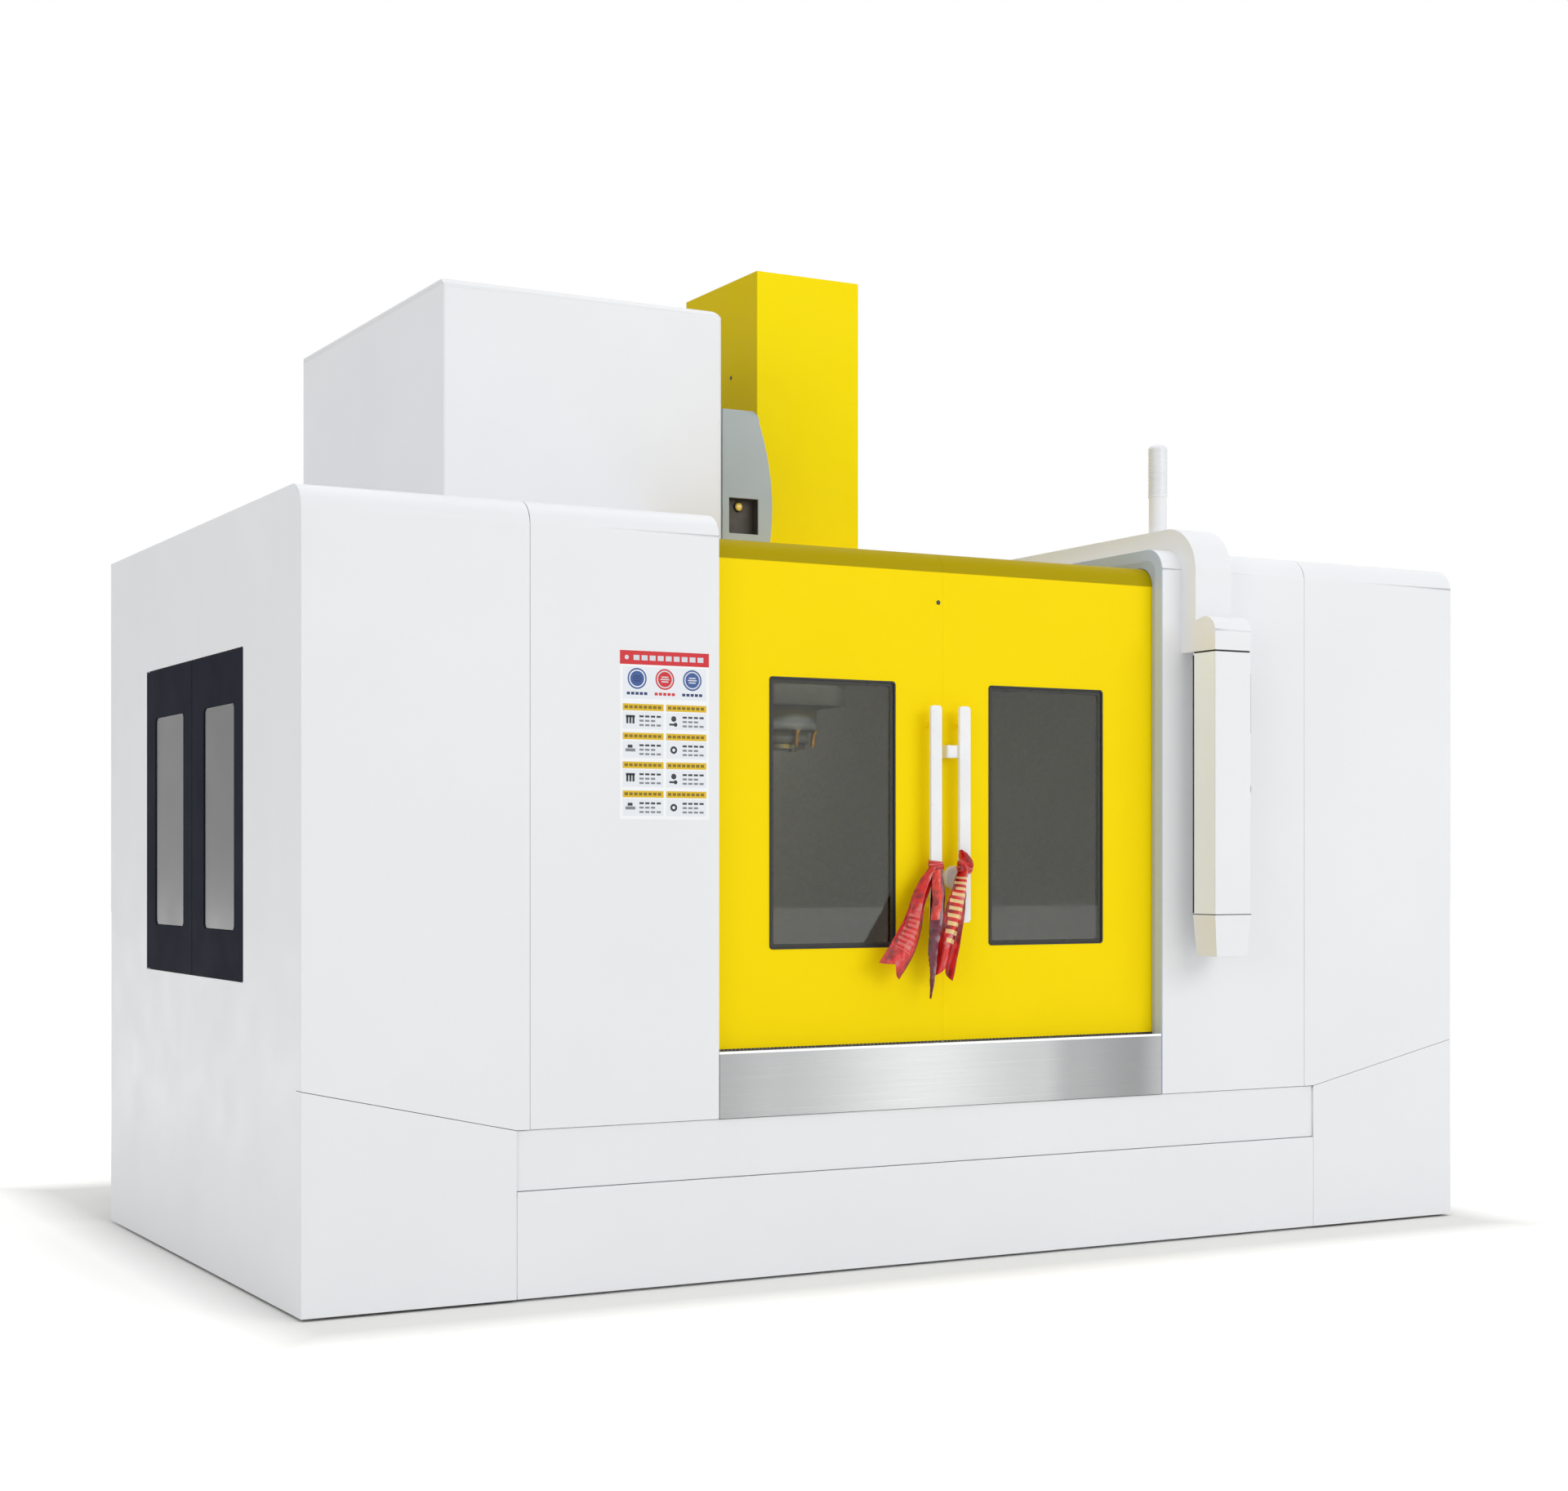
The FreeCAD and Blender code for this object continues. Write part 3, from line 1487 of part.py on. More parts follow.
def changer_housing():
    """Cast case of the changer drive with a bulged right side, a recess for the oil glass, the
    shaft bore and the plate that ties it to the column and carries the magazine's hub."""
    lower_right = changer_right - 20.0
    bulge_z = 2660.0
    waist_z = 2400.0
    y = changer_front
    shoulder = changer_shoulder - 12.0
    edges = [
        Part.LineSegment(V(changer_left, y, changer_low), V(changer_left, y, changer_top)).toShape(),
        Part.LineSegment(V(changer_left, y, changer_top), V(shoulder, y, changer_top)).toShape(),
        Part.Arc(
            V(shoulder, y, changer_top),
            V(changer_shoulder + 4.0, y, changer_top - 8.0),
            V(changer_shoulder + 16.0, y, changer_top - 40.0),
        ).toShape(),
        Part.Arc(
            V(changer_shoulder + 16.0, y, changer_top - 40.0),
            V(changer_right, y, bulge_z),
            V(lower_right, y, waist_z),
        ).toShape(),
        Part.LineSegment(V(lower_right, y, waist_z), V(lower_right, y, changer_low)).toShape(),
        Part.LineSegment(V(lower_right, y, changer_low), V(changer_left, y, changer_low)).toShape(),
    ]
    case = Part.Face(Part.Wire(edges)).extrude(V(0.0, changer_back - changer_front, 0.0))
    recess = box(
        recess_left, recess_right, changer_front - 1.0, changer_front + recess_depth, recess_low, recess_high
    )
    case = case.cut(recess)
    rib_z = magazine_axis_z
    tie = box(
        changer_left,
        -column_half_width,
        changer_back - 10.0,
        column_front + 420.0,
        rib_z - 320.0,
        rib_z + 320.0,
    )
    half = 180.0
    x0, x1 = magazine_right + 8.0, changer_left + 1.0
    side_plate = box(x0, x1, spindle_y - half, spindle_y + half, rib_z - half, rib_z + half)
    washer_x = disc_right - disc_thickness - bearing_clearance
    hub = bar(
        hub_radius, (magazine_right + 9.0, spindle_y, rib_z), (washer_x - 12.0, spindle_y, rib_z), small_sides
    )
    washer = bar(
        hub_radius + 25.0, (washer_x, spindle_y, rib_z), (washer_x - 12.0, spindle_y, rib_z), small_sides
    )
    case = fuse([case, tie, side_plate, hub, washer])
    turret_bore = bore(
        turret_radius,
        (changer_x, spindle_y, changer_low - 1.0),
        (changer_x, spindle_y, changer_low + turret_height),
        small_sides,
    )
    shaft_bore = bar(
        shaft_radius + 6.0,
        (changer_x, spindle_y, changer_low + turret_height - 1.0),
        (changer_x, spindle_y, changer_low + turret_height + 420.0),
        small_sides,
    )
    return case.cut(turret_bore).cut(shaft_bore)


def sight_glass():
    """Round oil gauge in the recess of the changer case."""
    y = changer_front + recess_depth
    return bar(sight_radius, (sight_x, y - 10.0, sight_z), (sight_x, y, sight_z), small_sides)


def changer_turret():
    """Splined sleeve in the changer case that turns the arm's shaft."""
    sleeve = bar(
        turret_radius,
        (changer_x, spindle_y, changer_low - 12.0),
        (changer_x, spindle_y, changer_low + turret_height - bearing_clearance),
        small_sides,
    )
    shaft_bore = bar(
        shaft_radius + bearing_clearance / math.cos(math.pi / small_sides),
        (changer_x, spindle_y, changer_low - 13.0),
        (changer_x, spindle_y, changer_low + turret_height + 1.0),
    )
    return sleeve.cut(shaft_bore)


def changer_arm():
    """Double-ended tool arm with an open claw at each end, on its sliding shaft.

    The arm is parked along Y, square to the line from the spindle to the waiting tool pot.
    """
    low = arm_top - arm_thickness
    hub = bar(arm_hub_radius, (changer_x, spindle_y, low), (changer_x, spindle_y, arm_top), small_sides)
    shaft = bar(
        shaft_radius,
        (changer_x, spindle_y, arm_top - 1.0),
        (changer_x, spindle_y, changer_low + turret_height + 380.0),
        small_sides,
    )
    reach = changer_radius
    beams = []
    for side in (-1, 1):
        outline = [
            (changer_x - 58.0, spindle_y, low + 6.0),
            (changer_x + 58.0, spindle_y, low + 6.0),
            (changer_x + 36.0, spindle_y + side * (reach - grip_radius - 12.0), low + 6.0),
            (changer_x - 36.0, spindle_y + side * (reach - grip_radius - 12.0), low + 6.0),
        ]
        if side < 0:
            outline.reverse()
        beams.append(prism(outline, (0.0, 0.0, arm_thickness - 12.0)))
        claw_y = spindle_y + side * reach
        claw_top = (changer_x, claw_y, arm_top - 4.0)
        claw = bar(grip_outer, (changer_x, claw_y, low + 4.0), claw_top, small_sides)
        claw = claw.cut(bar(grip_radius, (changer_x, claw_y, low), (changer_x, claw_y, arm_top), small_sides))
        mouth_x = sorted((changer_x, changer_x + side * (grip_outer + 5.0)))
        mouth = box(
            mouth_x[0],
            mouth_x[1],
            claw_y - grip_mouth / 2.0 if side < 0 else claw_y - grip_radius + 8.0,
            claw_y + grip_radius - 8.0 if side < 0 else claw_y + grip_mouth / 2.0,
            low,
            arm_top,
        )
        beams.append(claw.cut(mouth))
    return fuse([hub, shaft] + beams)


def pot_solid(angle, tilting):
    """One tool pot at an angle round the magazine, lying along X with its mouth to the left."""
    y = spindle_y + pot_ring * math.sin(angle)
    z = magazine_axis_z - pot_ring * math.cos(angle)
    mouth = (pot_x - pot_length, y, z)
    if not tilting:
        return bar(pot_radius, (disc_right - disc_thickness + 1.0, y, z), mouth, repeat_sides)
    body = bar(pot_radius, (pot_x - pot_neck, y, z), mouth, small_sides)
    flange = bar(pot_flange_radius, (pot_x - pot_length + pot_flange, y, z), mouth, small_sides)
    bottom = (pot_x - pot_length + spindle_bore_depth, y, z)
    socket = bar(spindle_bore_wide, mouth, bottom, small_sides, spindle_bore_narrow)
    lug = box(pot_x - pot_neck - 2.0, pot_x + 14.0, y - 24.0, y + 24.0, z - 14.0, z + 14.0)
    lug = lug.makeChamfer(10.0, [e for e in lug.Edges if along(1)(e)])
    pin = bar(pot_pin_radius, (pot_x, y - 24.0 - pot_ear, z), (pot_x, y + 24.0 + pot_ear, z), small_sides)
    return fuse([fuse([body, flange]).cut(socket), lug, pin])


def tool_disc():
    """Magazine wheel with its ring of tool pots; the lowest place holds the tilting pot."""
    x1 = disc_right
    x0 = disc_right - disc_thickness
    centre_z = magazine_axis_z
    rim = pot_ring + pot_radius + 10.0
    wheel = bar(rim, (x0, spindle_y, centre_z), (x1, spindle_y, centre_z), tool_count)
    wheel = wheel.cut(bore(hub_radius, (x0 - 1.0, spindle_y, centre_z), (x1 + 1.0, spindle_y, centre_z)))
    pots = [pot_solid(2.0 * math.pi * index / tool_count, False) for index in range(1, tool_count)]
    ears = []
    z = pot_pivot_z
    for side in (-1, 1):
        y0, y1 = sorted((spindle_y + side * 25.0, spindle_y + side * (25.0 + pot_ear)))
        ear = box(pot_x - 20.0, x0 + 1.0, y0, y1, z - 20.0, z + 20.0)
        ears.append(ear.cut(bore(pot_pin_radius, (pot_x, y0 - 1.0, z), (pot_x, y1 + 1.0, z))))
    return fuse([wheel] + pots + ears)


def change_pot():
    return pot_solid(0.0, True)


def magazine_guard():
    """Sheet box over the magazine, open underneath, with its top front and right edges cut off."""
    outer = cut_top(
        box(magazine_left, magazine_right, magazine_front, magazine_back, magazine_low, magazine_top),
        magazine_edge,
    )
    inner = box(
        magazine_left + sheet,
        magazine_right - sheet,
        magazine_front + sheet,
        magazine_back - sheet,
        magazine_low - 1.0,
        magazine_top - sheet,
    )
    inner = cut_top(inner, magazine_edge - sheet * (2.0 - math.sqrt(2.0)))
    hub_hole = bar(
        hub_radius + 60.0,
        (magazine_right - 10.0, spindle_y, magazine_axis_z),
        (magazine_right + 5.0, spindle_y, magazine_axis_z),
    )
    foot = box(
        magazine_right - sheet,
        changer_left,
        spindle_y + 190.0,
        spindle_y + 200.0,
        magazine_axis_z - 60.0,
        magazine_axis_z + 60.0,
    )
    return fuse([outer.cut(inner).cut(hub_hole), foot])


def cut_top(solid, leg):
    """Cuts the front and right edges of a box's top at 45 degrees."""
    b = solid.BoundBox

    def chosen(edge):
        e = edge.BoundBox
        front = e.YMax < b.YMin + 0.01 and e.XLength > 1.0
        right = e.XMin > b.XMax - 0.01 and e.YLength > 1.0
        return e.ZMin > b.ZMax - 0.01 and (front or right)

    return solid.makeChamfer(leg, [e for e in solid.Edges if chosen(e)])


# ---- inside guards, cabinet, tank -----------------------------------------------------------


def inner_guards():
    """Rear splash wall with the notch for the column, and the sloping chip trays beside the bed."""
    wall_y = guard_depth - 40.0
    x = half_guard - sheet - 0.5
    wall_top = guard_height - opening_return - 1.0
    wall = box(-x, x, wall_y, wall_y + sheet, tray_low, wall_top)
    over_bed = box(
        -bed_half_width, bed_half_width, wall_y - 1.0, wall_y + sheet + 1.0, tray_low - 1.0, base_top + 10.0
    )
    notch = box(
        changer_left - 20.0,
        column_half_width + 20.0,
        wall_y - 1.0,
        wall_y + sheet + 1.0,
        base_top,
        guard_height + 1.0,
    )
    foot_half = column_half_width + column_foot_step + 10.0
    foot_top = bed_top + column_foot_height + 10.0
    foot_notch = box(-foot_half, foot_half, wall_y - 1.0, wall_y + sheet + 1.0, base_top, foot_top)
    wall = wall.cut(over_bed).cut(notch).cut(foot_notch)
    trays = [box(-bed_half_width, bed_half_width, apron_y, bed_front, tray_low, tray_low + sheet)]
    for side in (-1, 1):
        inner = side * bed_half_width
        outer = side * x
        tray = [
            (inner, apron_y, tray_low),
            (outer, apron_y, base_top - 20.0),
            (outer, apron_y, base_top - 20.0 + sheet),
            (inner, apron_y, tray_low + sheet),
        ]
        trays.append(prism(tray, (0.0, wall_y - apron_y, 0.0)))
    return Part.makeCompound(wall.Solids + trays)


def control_cabinet():
    """Electrical cabinet on legs behind the right side of the guard, open at the back."""
    outer = box(cabinet_left, cabinet_right, cabinet_front, cabinet_back, cabinet_low, cabinet_high)
    inner = box(
        cabinet_left + sheet,
        cabinet_right - sheet,
        cabinet_front + sheet,
        cabinet_back + 1.0,
        cabinet_low + sheet,
        cabinet_high - sheet,
    )
    plate = box(
        cabinet_left + sheet + 40.0,
        cabinet_right - sheet - 40.0,
        cabinet_front + sheet + 60.0,
        cabinet_front + sheet + 64.0,
        cabinet_low + 80.0,
        cabinet_high - 80.0,
    )
    spacers = []
    for px in (cabinet_left + 120.0, cabinet_right - 120.0):
        for pz in (cabinet_low + 140.0, cabinet_high - 140.0):
            start = (px, cabinet_front + 1.0, pz)
            spacers.append(bar(12.0, start, (px, cabinet_front + sheet + 61.0, pz), 4))
    legs = []
    for lx in (cabinet_left, cabinet_right - cabinet_leg):
        for ly in (cabinet_front, cabinet_back - cabinet_leg):
            legs.append(box(lx, lx + cabinet_leg, ly, ly + cabinet_leg, 0.0, cabinet_low + 1.0))
    ties = []
    for tx in (cabinet_left + 100.0, cabinet_right - 160.0):
        ties.append(box(tx, tx + 60.0, guard_depth - 40.0 + sheet, cabinet_front + 1.0, 1800.0, 1860.0))
    return fuse([outer.cut(inner), plate] + spacers + legs + ties + cabinet_hinges())


def cabinet_pin_place():
    return cabinet_right + cabinet_barrel_radius, cabinet_back + 4.0


def cabinet_hinge_places():
    return cabinet_low + 200.0, cabinet_high - 290.0


def cabinet_hinges():
    """Lower halves of the lift-off hinges, with their pins."""
    x, y = cabinet_pin_place()
    pieces = []
    for z in cabinet_hinge_places():
        pieces.append(bar(cabinet_pin_radius, (x, y, z + 1.0), (x, y, z + 60.0), repeat_sides))
        pieces.append(bar(cabinet_barrel_radius, (x, y, z), (x, y, z + 28.0), repeat_sides))
        pieces.append(box(cabinet_right - 1.0, x, cabinet_back - 30.0, cabinet_back, z, z + 28.0))
    return pieces


def cabinet_door():
    """Cabinet door with turned edges, hung on its two hinges."""
    gap = cabinet_door_gap
    y0 = cabinet_back + gap
    y1 = y0 + cabinet_door_depth
    plate = box(cabinet_left, cabinet_right, y0, y1, cabinet_low, cabinet_high)
    hollow = box(
        cabinet_left + sheet,
        cabinet_right - sheet,
        y0 - 1.0,
        y1 - sheet,
        cabinet_low + sheet,
        cabinet_high - sheet,
    )
    pieces = [plate.cut(hollow)]
    x, y = cabinet_pin_place()
    for z in cabinet_hinge_places():
        barrel = bar(cabinet_barrel_radius, (x, y, z + 28.5), (x, y, z + 61.5), repeat_sides)
        strap = box(cabinet_right - 1.0, x, y, y1 - 8.0, z + 28.5, z + 61.5)
        hole = bore(cabinet_pin_radius, (x, y, z), (x, y, z + 90.0), repeat_sides)
        pieces.append(fuse([barrel, strap]).cut(hole))
    door_leaf = fuse(pieces)
    sx, sz = switch_place()
    return door_leaf.cut(bore(8.0, (sx, y1 - 10.0, sz), (sx, y1 + 1.0, sz), repeat_sides))


def switch_place():
    return cabinet_left + 160.0, cabinet_high - 520.0


def main_switch():
    """Rotary main switch on the cabinet door."""
    sx, sz = switch_place()
    y1 = cabinet_back + cabinet_door_gap + cabinet_door_depth
    shaft = bar(8.0, (sx, y1 - 12.0, sz), (sx, y1 + 2.0, sz), repeat_sides)
    disc = bar(switch_radius, (sx, y1 + 0.3, sz), (sx, y1 + 9.0, sz), small_sides)
    grip = box(sx - 9.0, sx + 9.0, y1 + 8.0, y1 + 32.0, sz - switch_radius - 6.0, sz + switch_radius + 6.0)
    grip = grip.makeChamfer(5.0, [e for e in grip.Edges if along(1)(e)])
    return fuse([shaft, disc, grip])


def coolant_tank():
    """Coolant tank on short legs with a sloped chip lip and its two upright pumps."""
    tank = box(tank_left, tank_right, tank_front, tank_back, tank_low, tank_high)
    legs = []
    for lx in (tank_left + 60.0, tank_right - 140.0):
        for ly in (tank_front + 40.0, tank_back - 120.0):
            legs.append(box(lx, lx + 80.0, ly, ly + 80.0, 0.0, tank_low + 1.0))
    lid_x = tank_left + 20.0, tank_right - 20.0
    lid = box(lid_x[0], lid_x[1], tank_front + 20.0, tank_back - 20.0, tank_high - 1.0, tank_high + 8.0)
    pumps = []
    for x in (tank_left + 260.0, tank_left + 560.0):
        y = tank_back - 200.0
        foot_top = tank_high + 25.0
        cap_low = tank_high + pump_height - 14.0
        pumps.append(bar(pump_radius + 20.0, (x, y, tank_high + 7.0), (x, y, foot_top), repeat_sides))
        pumps.append(bar(pump_radius, (x, y, foot_top - 1.0), (x, y, cap_low), repeat_sides))
        cap = bar(pump_radius, (x, y, cap_low), (x, y, cap_low + 14.0), repeat_sides, pump_radius - 14.0)
        pumps.append(cap)
    return fuse([tank] + legs + [lid] + pumps)


# ---- ribbons --------------------------------------------------------------------------------


def ribbon_tail(points, width, thickness):
    """A flat hanging strip through a few places down its length; each place has its own turn."""
    rings = []
    for x, y, z, turn in points:
        c = math.cos(math.radians(turn))
        s = math.sin(math.radians(turn))
        half = width / 2.0
        deep = thickness / 2.0
        corners = []
        for a, b in ((-half, -deep), (half, -deep), (half, deep), (-half, deep)):
            corners.append(V(x + a * c - b * s, y + a * s + b * c, z))
        rings.append(corners)
    faces = [flat_face(rings[0]), flat_face(rings[-1])]
    for near, far in zip(rings, rings[1:]):
        for index in range(4):
            after = (index + 1) % 4
            faces.append(flat_face([near[index], near[after], far[after]]))
            faces.append(flat_face([near[index], far[after], far[index]]))
    return closed_solid(faces)


def knot(x, z):
    """A loop of ribbon pulled tight round a handle bar."""
    bar_back = door_face - handle_standoff
    y0 = bar_back - handle_thickness
    half = handle_width / 2.0
    wide = half + knot_wall
    low, high = z - knot_radius, z + knot_radius
    back = bar_back + knot_wall
    loop = cut_box(x - wide, x + wide, y0 - knot_front, back, low, high, knot_wall, 2)
    g = knot_gap
    hole = box(x - half - g, x + half + g, y0 - g, bar_back + g, low - 1.0, high + 1.0)
    return loop.cut(hole)


def ribbon_left():
    """Knot on the left handle with two tails, one swept to the left."""
    x = -handle_centre
    front = door_face - handle_standoff - handle_thickness - 8.0
    swept = ribbon_tail(
        [
            (x - 4.0, front, knot_z - 12.0, 0.0),
            (x - 62.0, front - 6.0, knot_z - 190.0, 20.0),
            (x - 128.0, front - 6.0, knot_z - 330.0, -14.0),
            (x - 186.0, front - 2.0, knot_z - 440.0, 8.0),
        ],
        ribbon_width,
        ribbon_thickness,
    )
    straight = ribbon_tail(
        [
            (x + 6.0, front - 5.0, knot_z - 8.0, 0.0),
            (x + 4.0, front - 15.0, knot_z - 170.0, -18.0),
            (x + 2.0, front - 12.0, knot_z - 330.0, 12.0),
            (x - 2.0, front - 10.0, knot_z - 500.0, 0.0),
        ],
        ribbon_width * 0.8,
        ribbon_thickness,
    )
    return fuse([knot(x, knot_z), swept, straight])


def ribbon_right():
    """Knot on the right handle with one long tail that leans to the left."""
    x = handle_centre
    front = door_face - handle_standoff - handle_thickness - 8.0
    tail = ribbon_tail(
        [
            (x - 2.0, front, knot_z + 4.0, 0.0),
            (x - 24.0, front - 12.0, knot_z - 160.0, 16.0),
            (x - 44.0, front - 14.0, knot_z - 310.0, -12.0),
            (x - 54.0, front - 12.0, knot_z - 460.0, 6.0),
        ],
        ribbon_width,
        ribbon_thickness,
    )
    return fuse([knot(x, knot_z + 16.0), tail])


# ---- the list of pieces ---------------------------------------------------------------------


def pieces():
    """Every piece by its name, in the frame of the guard's front face."""
    yield "levelling_feet", levelling_feet()
    yield "bed", bed()
    yield "column", column()
    yield "guide_rails", guide_rails()
    yield "base_lower_cover", base_cover(floor_gap, base_split - seam_gap / 2.0, 0.0)
    yield "base_upper_cover", base_cover(base_split + seam_gap / 2.0, base_top, base_recess)
    yield "skirts", Part.makeCompound([skirt(-1), skirt(1)])
    yield "wing_left", wing(-1)
    yield "wing_right", wing(1)
    yield "inner_panel_left", inner_panel(-1)
    yield "inner_panel_right", inner_panel(1)
    yield "sill_panel", sill_panel()
    yield "door_tracks", door_tracks()
    yield "inner_guards", inner_guards()
    yield "magazine_guard", magazine_guard()
    yield "changer_housing", changer_housing()
    yield "sight_glass", sight_glass()
    yield "arm_cover", arm_cover()
    yield "signal_pole", signal_pole()
    yield "signal_lens", signal_lens()
    yield "control_cabinet", control_cabinet()
    yield "coolant_tank", coolant_tank()
    yield "axis_motors", axis_motors()
    yield "leaf_hinge_pins", Part.makeCompound(leaf_pins(leaf_pin_radius))
    yield "door_left", door(-1)
    yield "door_right", door(1)
    yield "door_glass_left", door_glass(-1)
    yield "door_glass_right", door_glass(1)
    yield "handle_left", handle(-1)
    yield "handle_right", handle(1)
    yield "door_locks", door_locks()
    yield "ribbon_left", ribbon_left()
    yield "ribbon_right", ribbon_right()
    yield "side_leaf_front", leaf(True)
    yield "side_leaf_rear", leaf(False)
    yield "side_glass_front", leaf_glass(True)
    yield "side_glass_rear", leaf_glass(False)
    yield "saddle", saddle()
    yield "x_motor", x_motor()
    yield "table", table()
    yield "way_cover_front", way_cover(True)
    yield "way_cover_rear", way_cover(False)
    yield "x_screw", x_screw()
    yield "y_screw", y_screw()
    yield "z_screw", z_screw()
    yield "head", head()
    yield "head_cover", head_cover()
    yield "spindle", spindle()
    yield "tool_disc", tool_disc()
    yield "change_pot", change_pot()
    yield "changer_turret", changer_turret()
    yield "changer_arm", changer_arm()
    yield "pendant_box", pendant_box()
    yield "pendant_screen", screen(0.0)
    yield "stop_button", stop_button()
    yield "start_button", start_button()
    yield "mode_knob", mode_knob()
    yield "hand_wheel", hand_wheel()
    yield "cabinet_door", cabinet_door()
    yield "main_switch", main_switch()


os.makedirs("parts", exist_ok=True)
for name, shape in pieces():
    shape.translate(V(0.0, -footprint_middle, 0.0))
    shape.exportStep(os.path.join("parts", name + ".step"))
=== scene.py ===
"""Paint, glass, fittings and soft goods for a vertical machining center.

Sizes in the settings are metres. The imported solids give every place: the floor is Z = 0, X runs to
the operator's right and Y to the back. Drawing sizes in the code are millimetres from the front
face of the guard, as on the machine's own drawings, and placed() turns them into the frame.
"""

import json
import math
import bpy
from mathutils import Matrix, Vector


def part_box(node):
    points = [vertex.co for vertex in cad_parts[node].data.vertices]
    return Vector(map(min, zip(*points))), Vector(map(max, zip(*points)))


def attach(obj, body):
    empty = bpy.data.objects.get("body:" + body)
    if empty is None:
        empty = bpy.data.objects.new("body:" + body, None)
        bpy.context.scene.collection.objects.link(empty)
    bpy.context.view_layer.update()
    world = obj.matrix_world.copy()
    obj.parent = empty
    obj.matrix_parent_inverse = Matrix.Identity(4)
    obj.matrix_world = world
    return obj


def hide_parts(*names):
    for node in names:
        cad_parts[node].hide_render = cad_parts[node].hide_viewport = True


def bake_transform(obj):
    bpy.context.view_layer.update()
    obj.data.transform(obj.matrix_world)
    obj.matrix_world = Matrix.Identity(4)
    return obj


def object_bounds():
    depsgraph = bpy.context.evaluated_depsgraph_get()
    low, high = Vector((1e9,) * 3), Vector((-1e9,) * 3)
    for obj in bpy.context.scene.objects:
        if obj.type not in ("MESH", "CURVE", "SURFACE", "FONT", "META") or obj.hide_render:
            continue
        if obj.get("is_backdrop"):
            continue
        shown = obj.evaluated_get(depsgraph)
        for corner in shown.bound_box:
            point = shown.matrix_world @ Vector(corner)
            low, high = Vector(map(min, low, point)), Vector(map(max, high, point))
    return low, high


bl_info = {
    "name": "Machining Center Dressing",
    "version": (1, 0, 0),
    "blender": (4, 5, 0),
    "location": "3D View > Sidebar > Machining Center",
    "description": "Paint, glass, fittings and soft goods for a vertical machining center",
    "category": "Object",
}

import bmesh
import bpy
from bpy.props import FloatProperty, FloatVectorProperty, IntProperty, PointerProperty
from mathutils import Matrix, Vector, noise

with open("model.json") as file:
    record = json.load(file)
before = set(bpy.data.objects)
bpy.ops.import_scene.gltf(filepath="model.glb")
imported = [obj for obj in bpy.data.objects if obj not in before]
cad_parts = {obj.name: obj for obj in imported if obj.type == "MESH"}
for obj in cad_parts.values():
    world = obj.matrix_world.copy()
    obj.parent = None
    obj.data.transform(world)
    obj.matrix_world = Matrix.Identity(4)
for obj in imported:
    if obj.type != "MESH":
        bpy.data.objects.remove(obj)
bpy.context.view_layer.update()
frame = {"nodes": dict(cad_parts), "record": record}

MM = 0.001
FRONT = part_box("skirts")[0].y
NODE_BODY = {node: body for body, nodes in frame["record"]["behaviour"]["bodies"].items() for node in nodes}
NODE_SLOT = {row["node"]: row["material_slot"] for row in frame["record"]["subparts"]}
FINISHES = {}

# Drawing sizes in mm that several pieces share.
DOOR_FACE = 60.0
DOOR_FOLD = (130.0, 2320.0)
SPINDLE_Y = 1198.0
BOX_FACE, BOX_MIDDLE = 1127.0, -125.0


def placed(x, y, z):
    """A place on the machine's drawings, in the frame."""
    return Vector((x * MM, FRONT + y * MM, z * MM))


def linear(red, green, blue):
    """A paint chip's 0 to 255 values as the linear colour that a shader takes."""
    chip = [value / 255.0 for value in (red, green, blue)]
    return [v / 12.92 if v <= 0.04045 else ((v + 0.055) / 1.055) ** 2.4 for v in chip] + [1.0]


# ---- settings ------------------------------------------------------------------------------------


def colour_setting(name, description, chip):
    return FloatVectorProperty(
        name=name, description=description, default=linear(*chip), size=4, subtype="COLOR", min=0.0, max=1.0
    )


def length_setting(name, description, default):
    return FloatProperty(name=name, description=description, default=default, min=0.0, unit="LENGTH")


def strength_setting(name, description, default):
    return FloatProperty(name=name, description=description, default=default, min=0.0)


class MachinePaintSettings(bpy.types.PropertyGroup):
    white: colour_setting("Panels", "Powder coat of the guard's panels", (234, 235, 238))
    yellow: colour_setting("Doors", "Powder coat of the doors and the spindle cover", (250, 220, 4))
    gray: colour_setting("Changer case", "Paint of the tool changer's case", (172, 181, 182))
    dark: colour_setting("Side windows", "Paint of the side window frames", (34, 36, 46))
    castings: colour_setting("Castings", "Enamel of the bed, column, saddle and head", (120, 126, 130))


class MachineGlassSettings(bpy.types.PropertyGroup):
    door_tint: colour_setting("Door panes", "Tint of the door panes", (180, 182, 178))
    side_tint: colour_setting("Side panes", "Tint of the panes in the left side", (48, 48, 54))
    seal_width: length_setting("Seal width", "Rubber seal seen round a door pane", 0.0045)
    seal_proud: length_setting("Seal height", "How far a seal stands above the sheet", 0.0016)


class MachineRibbonSettings(bpy.types.PropertyGroup):
    red: colour_setting("Ribbon", "Satin of the ribbons on the handles", (216, 32, 30))
    gold: colour_setting("Bars", "Printed bars across the right ribbon", (236, 206, 142))
    width: length_setting("Cut width", "Width that the ribbons were cut to", 0.105)


class MachineFittingSettings(bpy.types.PropertyGroup):
    fold_radius: length_setting("Fold radius", "Outer radius of a folded sheet edge", 0.006)
    screw_radius: length_setting("Screw head", "Radius of a panel screw's head", 0.0065)
    louvre_rows: IntProperty(
        name="Louvre rows", description="Rows of louvres in a cabinet side", default=14, min=1
    )


class MachineStageSettings(bpy.types.PropertyGroup):
    floor: colour_setting("Floor", "Colour of the studio floor", (238, 238, 236))
    key_power: strength_setting("Front light", "Power of the front softbox", 292.0)
    sky: strength_setting("Room light", "Strength of the even light all round", 0.66)


# ---- mesh tools ----------------------------------------------------------------------------------


